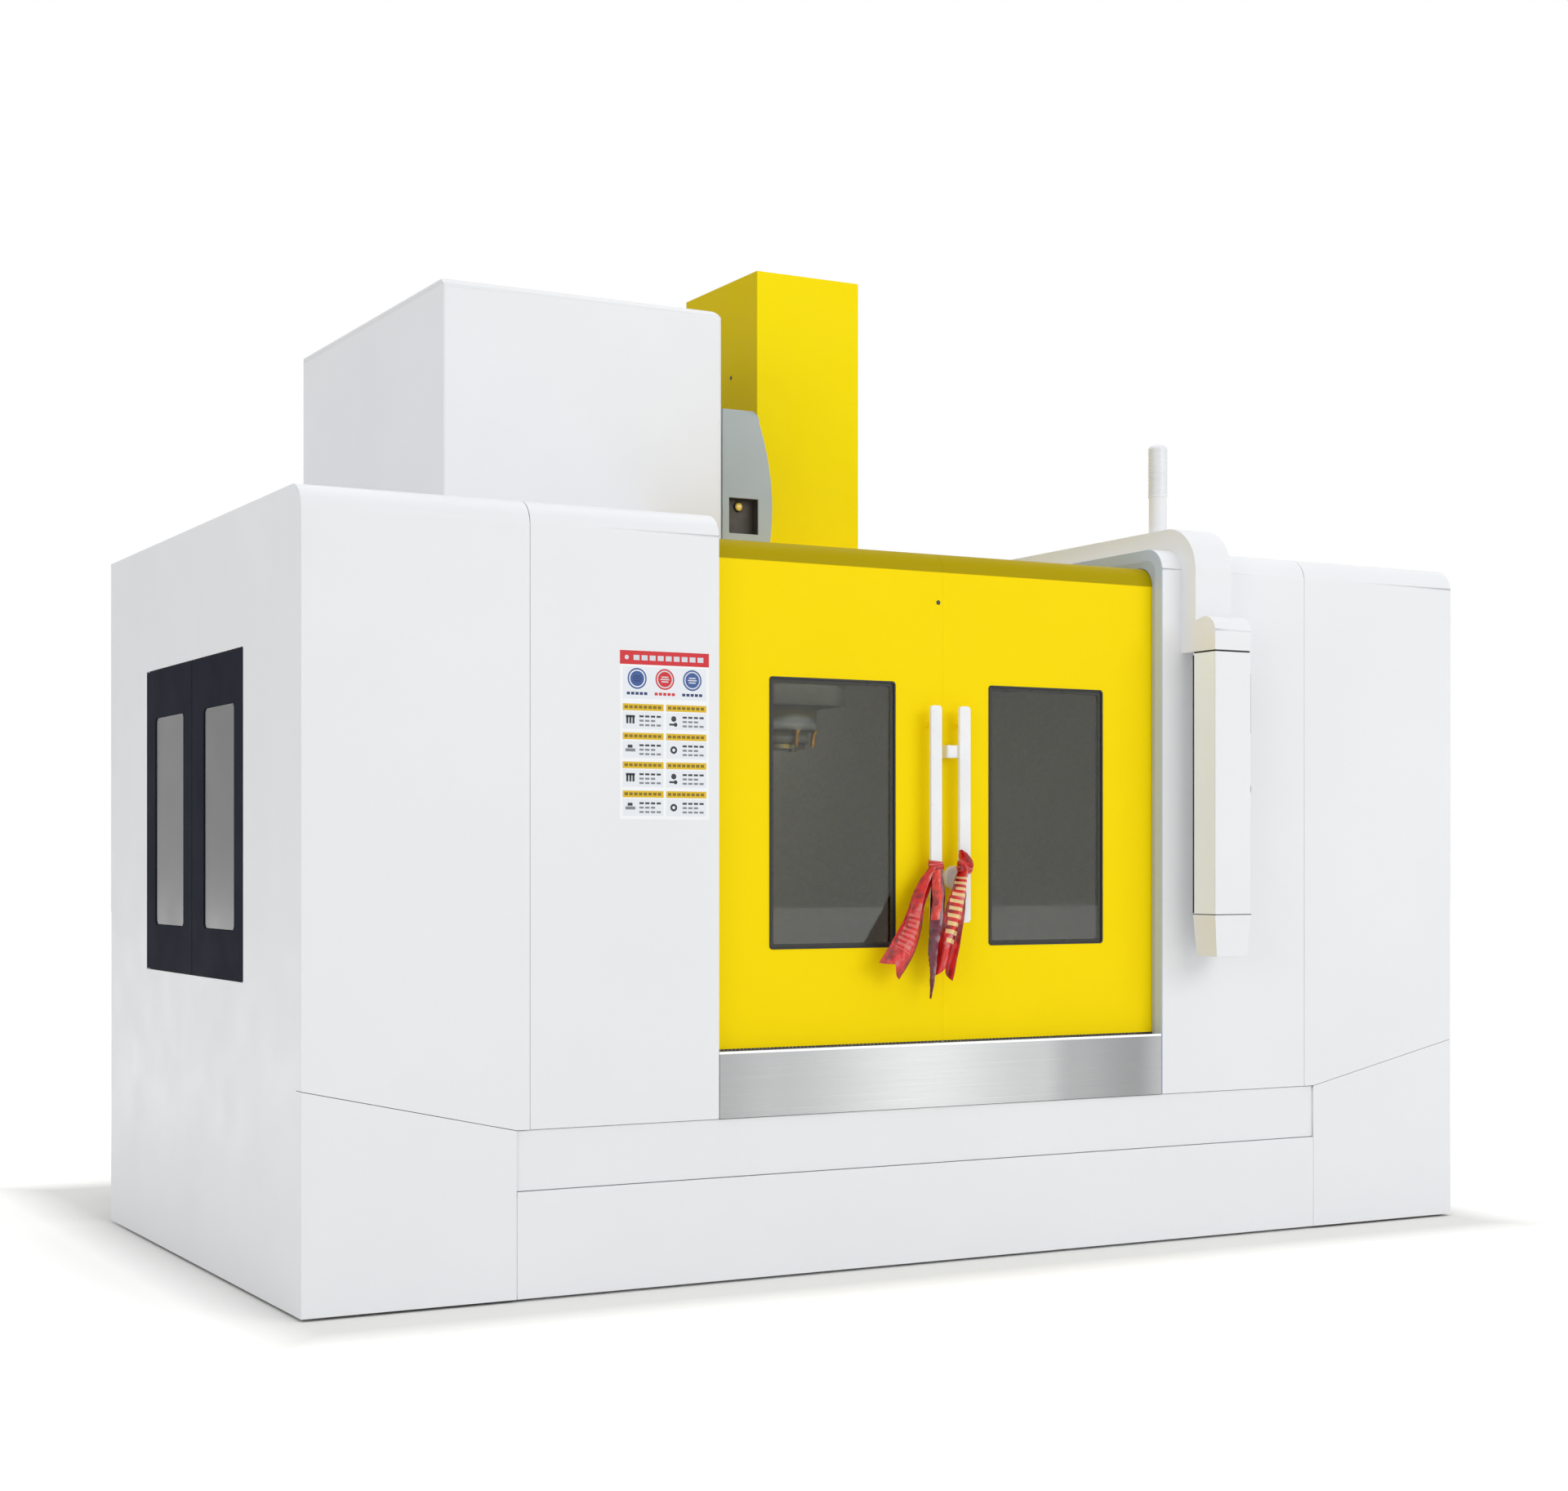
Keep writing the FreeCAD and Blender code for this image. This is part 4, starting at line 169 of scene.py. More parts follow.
def finish_mesh(name, mesh, body, finish, slot=None, stands_for=None, sharp=35.0):
    """Makes a mesh a piece of the machine: shaded, painted and riding on its body."""
    for polygon in mesh.polygons:
        polygon.use_smooth = True
    mesh.set_sharp_from_angle(angle=math.radians(sharp))
    mesh.materials.clear()
    mesh.materials.append(FINISHES[finish])
    piece = bpy.data.objects.new(name, mesh)
    bpy.context.scene.collection.objects.link(piece)
    if body:
        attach(piece, body)
    if stands_for:
        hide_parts(stands_for)
        slot = slot or NODE_SLOT[stands_for]
    return piece


def mesh_of(name, shape):
    """A bmesh's mesh; the bmesh is freed."""
    mesh = bpy.data.meshes.new(name)
    shape.to_mesh(mesh)
    shape.free()
    return mesh


def finish_shape(name, shape, *how, **more):
    """Turns a bmesh into a piece, as finish_mesh does a mesh."""
    bmesh.ops.recalc_face_normals(shape, faces=shape.faces)
    return finish_mesh(name, mesh_of(name, shape), *how, **more)


def even_shading(piece):
    """Keeps wide flat faces flat beside their small rounded edges."""
    modifier = piece.modifiers.new("flat faces", "WEIGHTED_NORMAL")
    modifier.keep_sharp = True
    modifier.weight = 80
    return piece


def add_block(shape, low, high, radius=0.0, steps=2):
    """A box from corner to corner with its edges rounded; gives its corners."""
    before = set(shape.verts)
    made = bmesh.ops.create_cube(shape, size=1.0)["verts"]
    size = high - low
    for vertex in made:
        vertex.co = Vector([low[i] + (vertex.co[i] + 0.5) * size[i] for i in range(3)])
    if radius > 0.0:
        edges = {edge for vertex in made for edge in vertex.link_edges}
        rounded_edges(shape, edges, radius, steps, clamp_overlap=True)
    return [vertex for vertex in shape.verts if vertex not in before]


def rounded_edges(shape, edges, radius, steps, **more):
    how = {"offset": radius, "segments": steps, "profile": 0.5, "affect": "EDGES"}
    bmesh.ops.bevel(shape, geom=list(edges), **how, **more)


def add_turned(shape, outline, start, direction=(0, 0, 1), sides=48):
    """A turned piece: outline is (radius, height) from its foot up, round an axis from start."""
    turn = Vector(direction).normalized().to_track_quat("Z", "Y").to_matrix()
    rings = []
    for radius, height in outline:
        ring = []
        for index in range(sides if radius > 0.0 else 1):
            angle = 2.0 * math.pi * index / sides
            spot = Vector((radius * math.cos(angle), radius * math.sin(angle), height))
            ring.append(shape.verts.new(start + turn @ spot))
        rings.append(ring)
    for near, far in zip(rings, rings[1:]):
        for index in range(sides):
            after = (index + 1) % sides
            if len(near) == 1:
                shape.faces.new((near[0], far[after], far[index]))
            elif len(far) == 1:
                shape.faces.new((near[index], near[after], far[0]))
            else:
                shape.faces.new((near[index], near[after], far[after], far[index]))
    for ring in (rings[0], rings[-1]):
        if len(ring) > 1:
            shape.faces.new(ring)
    return [vertex for ring in rings for vertex in ring]


def rounded_outline(low_a, high_a, low_b, high_b, radius, steps=6):
    """Corners of a rectangle with rounded corners, in order, as flat pairs."""
    points = []
    centres = (
        (high_a - radius, high_b - radius, 0.0),
        (low_a + radius, high_b - radius, 0.5),
        (low_a + radius, low_b + radius, 1.0),
        (high_a - radius, low_b + radius, 1.5),
    )
    for a, b, start in centres:
        for index in range(steps + 1):
            angle = math.pi * (start + 0.5 * index / steps)
            points.append((a + radius * math.cos(angle), b + radius * math.sin(angle)))
    return points


def inset_outline(low, high, inset, radius, steps=6):
    """The rounded outline of a box seen from the front, a little inside it."""
    return rounded_outline(low.x + inset, high.x - inset, low.z + inset, high.z - inset, radius, steps)


def upright(a, b, depth):
    """The place of a flat outline's corner on a sheet that faces the front."""
    return Vector((a, depth, b))


def add_prism(shape, points, thickness, place):
    """A straight-sided piece from a flat outline; place(a, b, depth) gives each corner."""
    near = [shape.verts.new(place(a, b, 0.0)) for a, b in points]
    far = [shape.verts.new(place(a, b, thickness)) for a, b in points]
    shape.faces.new(near)
    shape.faces.new(far)
    for index in range(len(points)):
        after = (index + 1) % len(points)
        shape.faces.new((near[index], near[after], far[after], far[index]))
    return near, far


def ring_strip(shape, outline_out, outline_in, near, far, place=upright):
    """A closed frame between two outlines of the same number of corners, from near to far."""
    rings = []
    for outline, depth in ((outline_out, near), (outline_out, far), (outline_in, far), (outline_in, near)):
        rings.append([shape.verts.new(place(a, b, depth)) for a, b in outline])
    count = len(outline_out)
    for index in range(4):
        first, second = rings[index], rings[(index + 1) % 4]
        for corner in range(count):
            after = (corner + 1) % count
            shape.faces.new((first[corner], first[after], second[after], second[corner]))


def merged_solid(node):
    """A CAD solid's mesh with its doubled corners joined."""
    shape = bmesh.new()
    shape.from_mesh(frame["nodes"][node].data)
    bmesh.ops.remove_doubles(shape, verts=shape.verts, dist=2e-5)
    return shape


def solid_piece(node, suffix, shape, finish, sharp):
    """A reshaped solid as a piece in the solid's own place."""
    name = f"{node}_{suffix}"
    return finish_mesh(name, mesh_of(name, shape), NODE_BODY[node], finish, None, node, sharp)


def folded_copy(node, radius, finish, steps=3, thin=0.012, suffix="folded"):
    """A CAD cover or casting with its wide outer edges rounded, in place of the sharp one."""
    shape = merged_solid(node)
    flat = {"angle_limit": math.radians(0.5), "use_dissolve_boundaries": False}
    bmesh.ops.dissolve_limit(shape, verts=shape.verts, edges=shape.edges, **flat)
    folds = []
    for edge in shape.edges:
        if len(edge.link_faces) != 2 or not edge.is_convex or edge.calc_face_angle() < math.radians(40.0):
            continue
        length = edge.calc_length()
        if length > 4.0 * radius and min(face.calc_area() / length for face in edge.link_faces) > thin:
            folds.append(edge)
    rounded_edges(shape, folds, radius, steps, clamp_overlap=True)
    bmesh.ops.triangulate(shape, faces=[face for face in shape.faces if len(face.verts) > 4])
    return even_shading(solid_piece(node, suffix, shape, finish, 38.0))


def rounded_copy(node, levels=2, sharp=50.0):
    """A turned or cast CAD piece with its round surfaces made smooth, in place of the faceted one."""
    shape = merged_solid(node)
    flat = {"angle_face_threshold": math.radians(1.0), "angle_shape_threshold": math.radians(170.0)}
    bmesh.ops.join_triangles(shape, faces=shape.faces, **flat)
    crease = shape.edges.layers.float.new("crease_edge")
    for edge in shape.edges:
        if len(edge.link_faces) != 2 or edge.calc_face_angle() > math.radians(sharp):
            edge[crease] = 1.0
    piece = solid_piece(node, "round", shape, NODE_SLOT[node], sharp)
    smooth = piece.modifiers.new("smooth", "SUBSURF")
    smooth.levels = smooth.render_levels = levels


# ---- node tools ----------------------------------------------------------------------------------


class NodeBuilder:
    """Adds nodes to self.tree, each with its settings and inputs in one call."""

    def node(self, kind, settings=None, **inputs):
        made = self.tree.nodes.new(kind)
        for name, value in (settings or {}).items():
            setattr(made, name, value)
        for name, value in inputs.items():
            self.put(made, name.replace("_", " "), value)
        return made

    def put(self, node, name, value):
        """Links or sets an input, named by its label or by its place as i0, i1 and so on."""
        socket = node.inputs[int(name[1:]) if name[0] == "i" and name[1:].isdigit() else name]
        if isinstance(value, bpy.types.NodeSocket):
            self.tree.links.new(value, socket)
        else:
            socket.default_value = value

    def maths(self, operation, first, second=0.0):
        return self.node("ShaderNodeMath", {"operation": operation}, i0=first, i1=second).outputs[0]


def shades(colour, spread):
    """A darker and a lighter tone of a colour."""
    low = [value * (1.0 - spread) for value in colour[:3]] + [1.0]
    return low, [min(1.0, value * (1.0 + spread)) for value in colour[:3]] + [1.0]


class Finish(NodeBuilder):
    """One procedural material, built a node at a time."""

    def __init__(self, name, **sockets):
        self.material = bpy.data.materials.new(name)
        self.material.use_nodes = True
        self.tree = self.material.node_tree
        self.shader = self.tree.nodes["Principled BSDF"]
        self.coordinates = self.node("ShaderNodeTexCoord")
        self.position = self.coordinates.outputs["Object"]
        for socket, value in sockets.items():
            self.put(self.shader, socket.replace("_", " "), value)

    def attribute(self, name):
        """A value that the mesh keeps at its points or corners."""
        return self.node("ShaderNodeAttribute", {"attribute_name": name})

    def place_along(self, axis):
        return self.node("ShaderNodeSeparateXYZ", Vector=self.position).outputs[axis]

    def noise(self, scale, detail=2.0, stretch=None, rough=0.5):
        where = self.position
        if stretch:
            where = self.node("ShaderNodeMapping", Vector=where, Scale=stretch).outputs["Vector"]
        made = self.node("ShaderNodeTexNoise", Vector=where, Scale=scale, Detail=detail, Roughness=rough)
        return made.outputs["Fac"]

    def between(self, value, low, high, start=0.3, end=0.7):
        spread = {"From Min": start, "From Max": end, "To Min": low, "To Max": high}
        return self.node("ShaderNodeMapRange", Value=value, **spread).outputs["Result"]

    def mixed(self, amount, first, second):
        made = self.node("ShaderNodeMix", {"data_type": "RGBA"}, i0=amount, i6=first, i7=second)
        return made.outputs[2]

    def toned(self, colour, spread, scale=1.7):
        """A colour that drifts a little over the surface, as a sprayed or rolled one does."""
        return self.mixed(self.between(self.noise(scale, 3.0), 0.0, 1.0), *shades(colour, spread))

    def bump(self, height, strength, distance):
        normal = self.node("ShaderNodeBump", Height=height, Strength=strength, Distance=distance)
        self.put(self.shader, "Normal", normal.outputs["Normal"])

    def colour(self, socket):
        self.put(self.shader, "Base Color", socket)

    def roughness(self, low, high, scale, stretch=None):
        self.put(self.shader, "Roughness", self.between(self.noise(scale, 3.0, stretch), low, high))


def powder_coat(name, colour, gloss=0.42, peel=0.05, shine=0.3, painted_light_and_shade=None):
    """Sprayed and baked paint. The last argument, if given, is (axis, from, to, colour): past that place the
    paint turns to the other colour, which paints shade on some pieces and a tint against bounced light on
    others.
    """
    finish = Finish(name, Specular_IOR_Level=shine)
    paint = finish.toned(colour, 0.012)
    # Painted shade, or a painted tint against bounced light, on one side of a place along an axis.
    if painted_light_and_shade:
        axis, start, end, other = painted_light_and_shade
        paint = finish.mixed(finish.between(finish.place_along(axis), 0.0, 1.0, start, end), paint, other)
    finish.colour(paint)
    finish.roughness(gloss - 0.05, gloss + 0.06, 6.0)
    finish.bump(finish.noise(420.0, 2.0), peel, 0.0006)
    return finish.material


def casting_enamel(name, colour):
    finish = Finish(name, Coat_Weight=0.08, Coat_Roughness=0.35)
    finish.colour(finish.toned(colour, 0.06, 5.0))
    finish.roughness(0.42, 0.6, 14.0)
    coarse = finish.noise(34.0, 4.0)
    fine = finish.noise(260.0, 2.0)
    finish.bump(finish.maths("ADD", coarse, finish.maths("MULTIPLY", fine, 0.35)), 0.28, 0.0012)
    return finish.material


def drawn_metal(name, colour, stretch, low, high, spread=0.05, bump=0.05):
    """Metal with fine lines left by rolling, brushing or grinding; stretch is short along the lines."""
    finish = Finish(name, Metallic=1.0)
    lines = finish.noise(1.0, 3.0, stretch, 0.6)
    finish.colour(finish.mixed(finish.between(lines, 0.0, 1.0), *shades(colour, spread)))
    finish.put(finish.shader, "Roughness", finish.between(lines, low, high))
    finish.bump(lines, bump, 0.0004)
    return finish.material


def brushed_sill(name):
    """Stainless sheet brushed along its length, with soft light and dark bands across it painted into its
    colour to stand for the reflections that it shows.
    """
    finish = Finish(name, Metallic=0.9, Specular_IOR_Level=0.3)
    half_sill = 0.89
    bands = finish.node(
        "ShaderNodeValToRGB", Fac=finish.between(finish.place_along("X"), 0.0, 1.0, -half_sill, half_sill)
    )
    # The stops are painted reflections: grey levels across the sill from its left end to its right.
    stops = ((0.0, 142), (0.12, 155), (0.44, 188), (0.7, 166), (0.78, 143), (0.93, 126), (1.0, 152))
    ramp = bands.color_ramp
    ramp.interpolation = "EASE"
    while len(ramp.elements) < len(stops):
        ramp.elements.new(0.5)
    for element, (place, level) in zip(ramp.elements, stops):
        element.position = place
        element.color = linear(level, level + 1, level + 2)
    lines = finish.noise(1.0, 3.0, (2.0, 60.0, 460.0), 0.6)
    lined = finish.between(lines, 0.0, 0.12)
    finish.colour(finish.mixed(lined, bands.outputs["Color"], (0.3, 0.3, 0.3, 1.0)))
    finish.put(finish.shader, "Roughness", finish.between(lines, 0.26, 0.36))
    finish.bump(lines, 0.03, 0.0004)
    return finish.material


def galvanised(name):
    finish = Finish(name, Metallic=1.0)
    spangle = finish.node("ShaderNodeTexVoronoi", Vector=finish.position, Scale=110.0).outputs["Color"]
    grey = finish.node("ShaderNodeSeparateColor", Color=spangle).outputs["Red"]
    finish.colour(finish.mixed(grey, (0.52, 0.54, 0.56, 1.0), (0.60, 0.62, 0.64, 1.0)))
    finish.put(finish.shader, "Roughness", finish.between(grey, 0.42, 0.5, 0.0, 1.0))
    finish.bump(grey, 0.08, 0.0003)
    return finish.material


def moulded(name, colour, gloss=0.45, grain=700.0, **sockets):
    finish = Finish(name, **sockets)
    finish.colour(finish.toned(colour, 0.03, 9.0))
    finish.roughness(gloss - 0.06, gloss + 0.08, 25.0)
    finish.bump(finish.noise(grain, 1.0), 0.08, 0.0003)
    return finish.material


def pane(name, tint, gloss, frost=0.0, shine=0.3):
    """Clear or tinted sheet glass or plastic, with a trace of dust on it."""
    finish = Finish(name, Transmission_Weight=1.0, IOR=1.45, Specular_IOR_Level=shine)
    finish.colour(finish.toned(tint, 0.02, 2.0))
    dust = finish.noise(3.5, 5.0)
    finish.put(finish.shader, "Roughness", finish.between(dust, gloss, gloss + 0.05 + frost))
    return finish.material


def build_finishes():
    """Every finish by the record's slot, and those of the small fittings."""
    paint = bpy.context.scene.machine_paint
    glass = bpy.context.scene.machine_glass
    ribbon = bpy.context.scene.machine_ribbon
    matt = (0.5, 0.05, 0.06)
    lacquer = {"Coat_Weight": 1.0}
    return {
        "white_paint": powder_coat("white powder coat", paint.white),
        "yellow_paint": powder_coat("yellow powder coat", paint.yellow, *matt),
        # Doors: painted shade darkens the rolled roof band above z 2.32 m, which the lamps would light
        # brightly.
        "door_paint": powder_coat(
            "door powder coat", paint.yellow, *matt, ("Z", 2.319, 2.322, linear(172, 152, 0))
        ),
        # Head cover: its yellow is painted brighter than the doors' to make up for the light it misses, with
        # painted shade on its left side past x -0.214 m.
        "head_cover_paint_with_painted_light": powder_coat(
            "head cover powder coat", linear(255, 229, 4), *matt, ("X", -0.2135, -0.2145, linear(219, 193, 0))
        ),
        # Magazine box: painted shade on the rounded top lip above z 3.2 m, so that its highlight stays grey
        # against the white.
        "magazine_paint_with_painted_lip_shade": powder_coat(
            "magazine powder coat", paint.white, painted_light_and_shade=("Z", 3.1965, 3.2005, linear(226, 227, 229))
        ),
        # Right inner panel: its return flange past x 0.883 m is bluish, partly the flange's own film colour
        # and partly a painted tint that cancels yellow light bounced from the door.
        "edge_film_and_painted_bounce_tint": powder_coat(
            "panel edge", paint.white, painted_light_and_shade=("X", 0.8837, 0.8832, linear(190, 202, 222))
        ),
        # Pendant: painted blue tint on its left side past x 0.967 m, to cancel yellow light bounced from the
        # door.
        "pendant_paint_with_painted_bounce_tint": powder_coat(
            "pendant powder coat", paint.white, painted_light_and_shade=("X", 0.9677, 0.9671, linear(240, 246, 255))
        ),
        "gray_paint": powder_coat("gray hammer paint", paint.gray, 0.38, 0.1),
        "dark_paint": powder_coat("dark powder coat", paint.dark, 0.6, 0.05, 0.01),
        "casting_paint": casting_enamel("casting enamel", paint.castings),
        "ground_iron": drawn_metal("ground iron", linear(150, 152, 152), (6.0, 240.0, 240.0), 0.26, 0.4),
        "stainless": drawn_metal(
            "brushed stainless", linear(206, 207, 209), (3.0, 60.0, 420.0), 0.24, 0.34, 0.03
        ),
        "sill_with_painted_reflections": brushed_sill("stainless sill"),
        "machined_steel": drawn_metal(
            "machined steel", linear(172, 174, 176), (120.0, 120.0, 500.0), 0.2, 0.32
        ),
        "brass": drawn_metal("brass", linear(214, 172, 84), (200.0, 200.0, 200.0), 0.22, 0.36),
        "zinc": drawn_metal("zinc plated screws", linear(176, 178, 182), (300.0, 300.0, 300.0), 0.24, 0.4),
        "galvanised": galvanised("galvanised sheet"),
        "tinted_glass": pane("tinted door pane", glass.door_tint, 0.0),
        "gray_glass": pane("gray side pane", glass.side_tint, 0.12, 0.1, 0.14),
        "oil_glass": moulded("oil gauge", linear(246, 206, 44), 0.15, 100.0, **lacquer, Coat_Roughness=0.05),
        "screen_glass": moulded(
            "screen glass", linear(16, 19, 24), 0.1, 80.0, **lacquer, Coat_Roughness=0.04
        ),
        "lamp_plastic": moulded("lamp plastic", linear(226, 228, 232), 0.3, 400.0, Coat_Weight=0.4),
        "motor_black": moulded("motor black", linear(30, 31, 33), 0.42, 300.0),
        "black_plastic": moulded("black plastic", linear(26, 26, 28)),
        "red_plastic": moulded("red plastic", linear(196, 22, 20), 0.3),
        "green_plastic": moulded("green plastic", linear(24, 138, 62), 0.3),
        "white_plastic": moulded("white plastic", linear(236, 237, 239), 0.32),
        "rubber": moulded("black rubber", linear(20, 20, 21), 0.6, 500.0),
        "wiper_rubber": moulded("grey rubber", linear(176, 186, 198), 0.6, 500.0),
        "pane_border": moulded("pane border", linear(62, 63, 60), 0.3, 500.0, Specular_IOR_Level=0.2),
        "recess_lining": moulded("recess lining", linear(72, 66, 60), 0.55, 300.0),
        "dark_screw": moulded("blackened screws", linear(52, 50, 40), 0.4),
        "red_ribbon": satin("red satin", ribbon.red, ribbon.gold),
        "creased_ribbon": satin(
            "creased red satin", ribbon.red, linear(226, 126, 118), (0.44, 0.78, 22.0, 0.55)
        ),
        "barred_ribbon": satin("red satin with gold bars", ribbon.red, ribbon.gold, (0.14, 0.78, 15.0, 0.95)),
        # The flap's red is painted lighter than the other tails': painted light. Its pale end is a band
        # across the tip.
        "flap_ribbon": satin(
            "red satin with a pale end", linear(236, 66, 50), linear(226, 184, 150), (0.8, 1.01, 1.0, 0.8)
        ),
        # The under tail is the same satin in a dark purple red: painted shade.
        "ribbon_in_painted_shade": satin("satin in painted shade", linear(108, 10, 46), ribbon.gold),
        "printed": printed_sheet("printed sheet"),
    }


def printed_sheet(name):
    """Laminated print; its inks are in the mesh."""
    finish = Finish(name, Specular_IOR_Level=0.3)
    grain = finish.between(finish.noise(900.0, 2.0), 0.0, 0.04)
    finish.colour(finish.mixed(grain, finish.attribute("ink").outputs["Color"], (0.5, 0.5, 0.5, 1.0)))
    finish.roughness(0.3, 0.4, 5.0)
    return finish.material


def satin(name, red, gold, bars=None):
    """Satin cloth: weft threads and a soft sheen; bars is (from, to, bars to the length, strength)."""
    finish = Finish(name, Sheen_Weight=0.12, Sheen_Roughness=0.3, Specular_IOR_Level=0.5)
    uv = finish.coordinates.outputs["UV"]
    parts = finish.node("ShaderNodeSeparateXYZ", Vector=uv)
    across, down = parts.outputs["X"], parts.outputs["Y"]
    weft = {"wave_type": "BANDS", "bands_direction": "Y"}
    threads = finish.node("ShaderNodeTexWave", weft, Vector=uv, Scale=160.0, Distortion=0.6).outputs["Fac"]
    drift = finish.node("ShaderNodeTexNoise", Vector=uv, Scale=9.0, Detail=3.0).outputs["Fac"]
    # deep is a darker red, used for random tone and for painted shade; light is a painted highlight tone.
    deep = [value * 0.3 for value in red[:3]] + [1.0]
    light = [0.55 * value + 0.25 for value in red[:3]] + [1.0]
    # Painted shade in the hollows of the folds and painted highlights on their ridges, from each point's
    # crease value.
    crease = finish.attribute("crease").outputs["Fac"]
    cloth = finish.mixed(finish.between(drift, 0.35, 1.0, 0.3, 0.5), deep, red)
    cloth = finish.mixed(finish.between(crease, 0.95, 0.0, 0.12, 0.46), cloth, deep)
    cloth = finish.mixed(finish.between(crease, 0.0, 0.8, 0.66, 0.92), cloth, light)

    def away_from(middle):
        return finish.maths("ABSOLUTE", finish.maths("SUBTRACT", across, middle))

    # Painted shade along both edges of the ribbon, as a dark outline.
    edge = away_from(0.5)
    cloth = finish.mixed(finish.between(edge, 0.0, 0.75, 0.455, 0.485), cloth, deep)
    if bars:
        start, end, count, strength = bars
        step = finish.maths("MULTIPLY", down, count)
        bar = finish.maths("FLOOR", step)
        row = finish.node("ShaderNodeTexWhiteNoise", {"noise_dimensions": "1D"}, W=bar)
        reach = finish.between(row.outputs["Value"], 0.18, 0.36, 0.0, 1.0)
        inside = finish.maths("LESS_THAN", finish.maths("FRACT", step), 0.5)
        for limit in (
            finish.maths("LESS_THAN", away_from(0.52), reach),
            finish.maths("GREATER_THAN", down, start),
            finish.maths("LESS_THAN", down, end),
        ):
            inside = finish.maths("MULTIPLY", inside, limit)
        cloth = finish.mixed(finish.maths("MULTIPLY", inside, strength), cloth, gold)
    finish.colour(cloth)
    finish.put(finish.shader, "Roughness", finish.between(threads, 0.24, 0.38, 0.0, 1.0))
    finish.bump(threads, 0.12, 0.0003)
    return finish.material


class PartTree(NodeBuilder):
    """A geometry node tree built a node at a time, with named inputs for its sizes."""

    def __init__(self, name, *sizes):
        self.tree = bpy.data.node_groups.new(name, "GeometryNodeTree")
        face = self.tree.interface
        face.new_socket(name="Geometry", in_out="INPUT", socket_type="NodeSocketGeometry")
        for label in sizes:
            face.new_socket(name=label, in_out="INPUT", socket_type="NodeSocketFloat")
        face.new_socket(name="Finish", in_out="INPUT", socket_type="NodeSocketMaterial")
        face.new_socket(name="Geometry", in_out="OUTPUT", socket_type="NodeSocketGeometry")
        self.entry = self.tree.nodes.new("NodeGroupInput")
        self.exit = self.tree.nodes.new("NodeGroupOutput")

    def size(self, label, share=1.0):
        """A named size of the item, or a share of it."""
        whole = self.entry.outputs[label]
        return whole if share == 1.0 else self.maths("MULTIPLY", whole, share)

    def joined(self, *parts):
        both = self.node("GeometryNodeJoinGeometry")
        for part in parts:
            self.tree.links.new(part.outputs[0], both.inputs[0])
        return both

    def swept(self, path, section):
        """A closed bar of a section along a path."""
        ends = {"Curve": path.outputs[0], "Profile Curve": section.outputs[0]}
        return self.node("GeometryNodeCurveToMesh", **ends, Fill_Caps=True)

    def at_points(self, item):
        """The item at every point, turned by the point's own turn, as plain finished mesh."""
        turn = self.node("GeometryNodeInputNamedAttribute", {"data_type": "FLOAT_VECTOR"}, Name="turn")
        spread = self.node(
            "GeometryNodeInstanceOnPoints",
            Points=self.entry.outputs["Geometry"],
            Instance=item.outputs[0],
            Rotation=turn.outputs["Attribute"],
        )
        plain = self.node("GeometryNodeRealizeInstances", Geometry=spread.outputs[0])
        finish = self.entry.outputs["Finish"]
        painted = self.node("GeometryNodeSetMaterial", Geometry=plain.outputs[0], Material=finish)
        self.tree.links.new(painted.outputs[0], self.exit.inputs["Geometry"])
        return self


def grown(name, tree, base, sizes):
    """Runs a tree on a base mesh and gives its result as a plain mesh."""
    carrier = bpy.data.objects.new(name, base)
    bpy.context.scene.collection.objects.link(carrier)
    modifier = carrier.modifiers.new(name, "NODES")
    modifier.node_group = tree.tree
    for item in tree.tree.interface.items_tree:
        if item.in_out == "INPUT" and item.name in sizes:
            modifier[item.identifier] = sizes[item.name]
    bpy.context.view_layer.update()
    graph = bpy.context.evaluated_depsgraph_get()
    mesh = bpy.data.meshes.new_from_object(carrier.evaluated_get(graph))
    bpy.data.objects.remove(carrier)
    mesh.name = name
    return mesh


def points_mesh(places):
    """A mesh of loose points; each keeps the turn that stands its item up along its direction."""
    mesh = bpy.data.meshes.new("places")
    mesh.from_pydata([tuple(place) for place, _ in places], [], [])
    turn = mesh.attributes.new("turn", "FLOAT_VECTOR", "POINT")
    for index, (_, direction) in enumerate(places):
        turn.data[index].vector = Vector(direction).to_track_quat("Z", "Y").to_euler()
    return mesh


# ---- stage ---------------------------------------------------------------------------------------


def softbox(name, place, aim, size, power):
    """A soft lamp turned towards a place, itself out of the camera's sight."""
    light = bpy.data.lights.new(name, "AREA")
    light.shape = "RECTANGLE"
    light.size, light.size_y = size
    light.energy = power
    lamp = bpy.data.objects.new(name, light)
    bpy.context.scene.collection.objects.link(lamp)
    lamp.location = place
    lamp.rotation_euler = (Vector(aim) - Vector(place)).to_track_quat("-Z", "Y").to_euler()
    lamp.visible_camera = False


def seen_rays(tree):
    """1 for rays from the camera and for those that metal and glass send on, 0 for light."""
    path = tree.nodes.new("ShaderNodeLightPath")
    total = path.outputs["Is Camera Ray"]
    for label in ("Is Glossy Ray", "Is Transmission Ray"):
        both = tree.nodes.new("ShaderNodeMath")
        both.operation = "MAXIMUM"
        tree.links.new(total, both.inputs[0])
        tree.links.new(path.outputs[label], both.inputs[1])
        total = both.outputs[0]
    return total


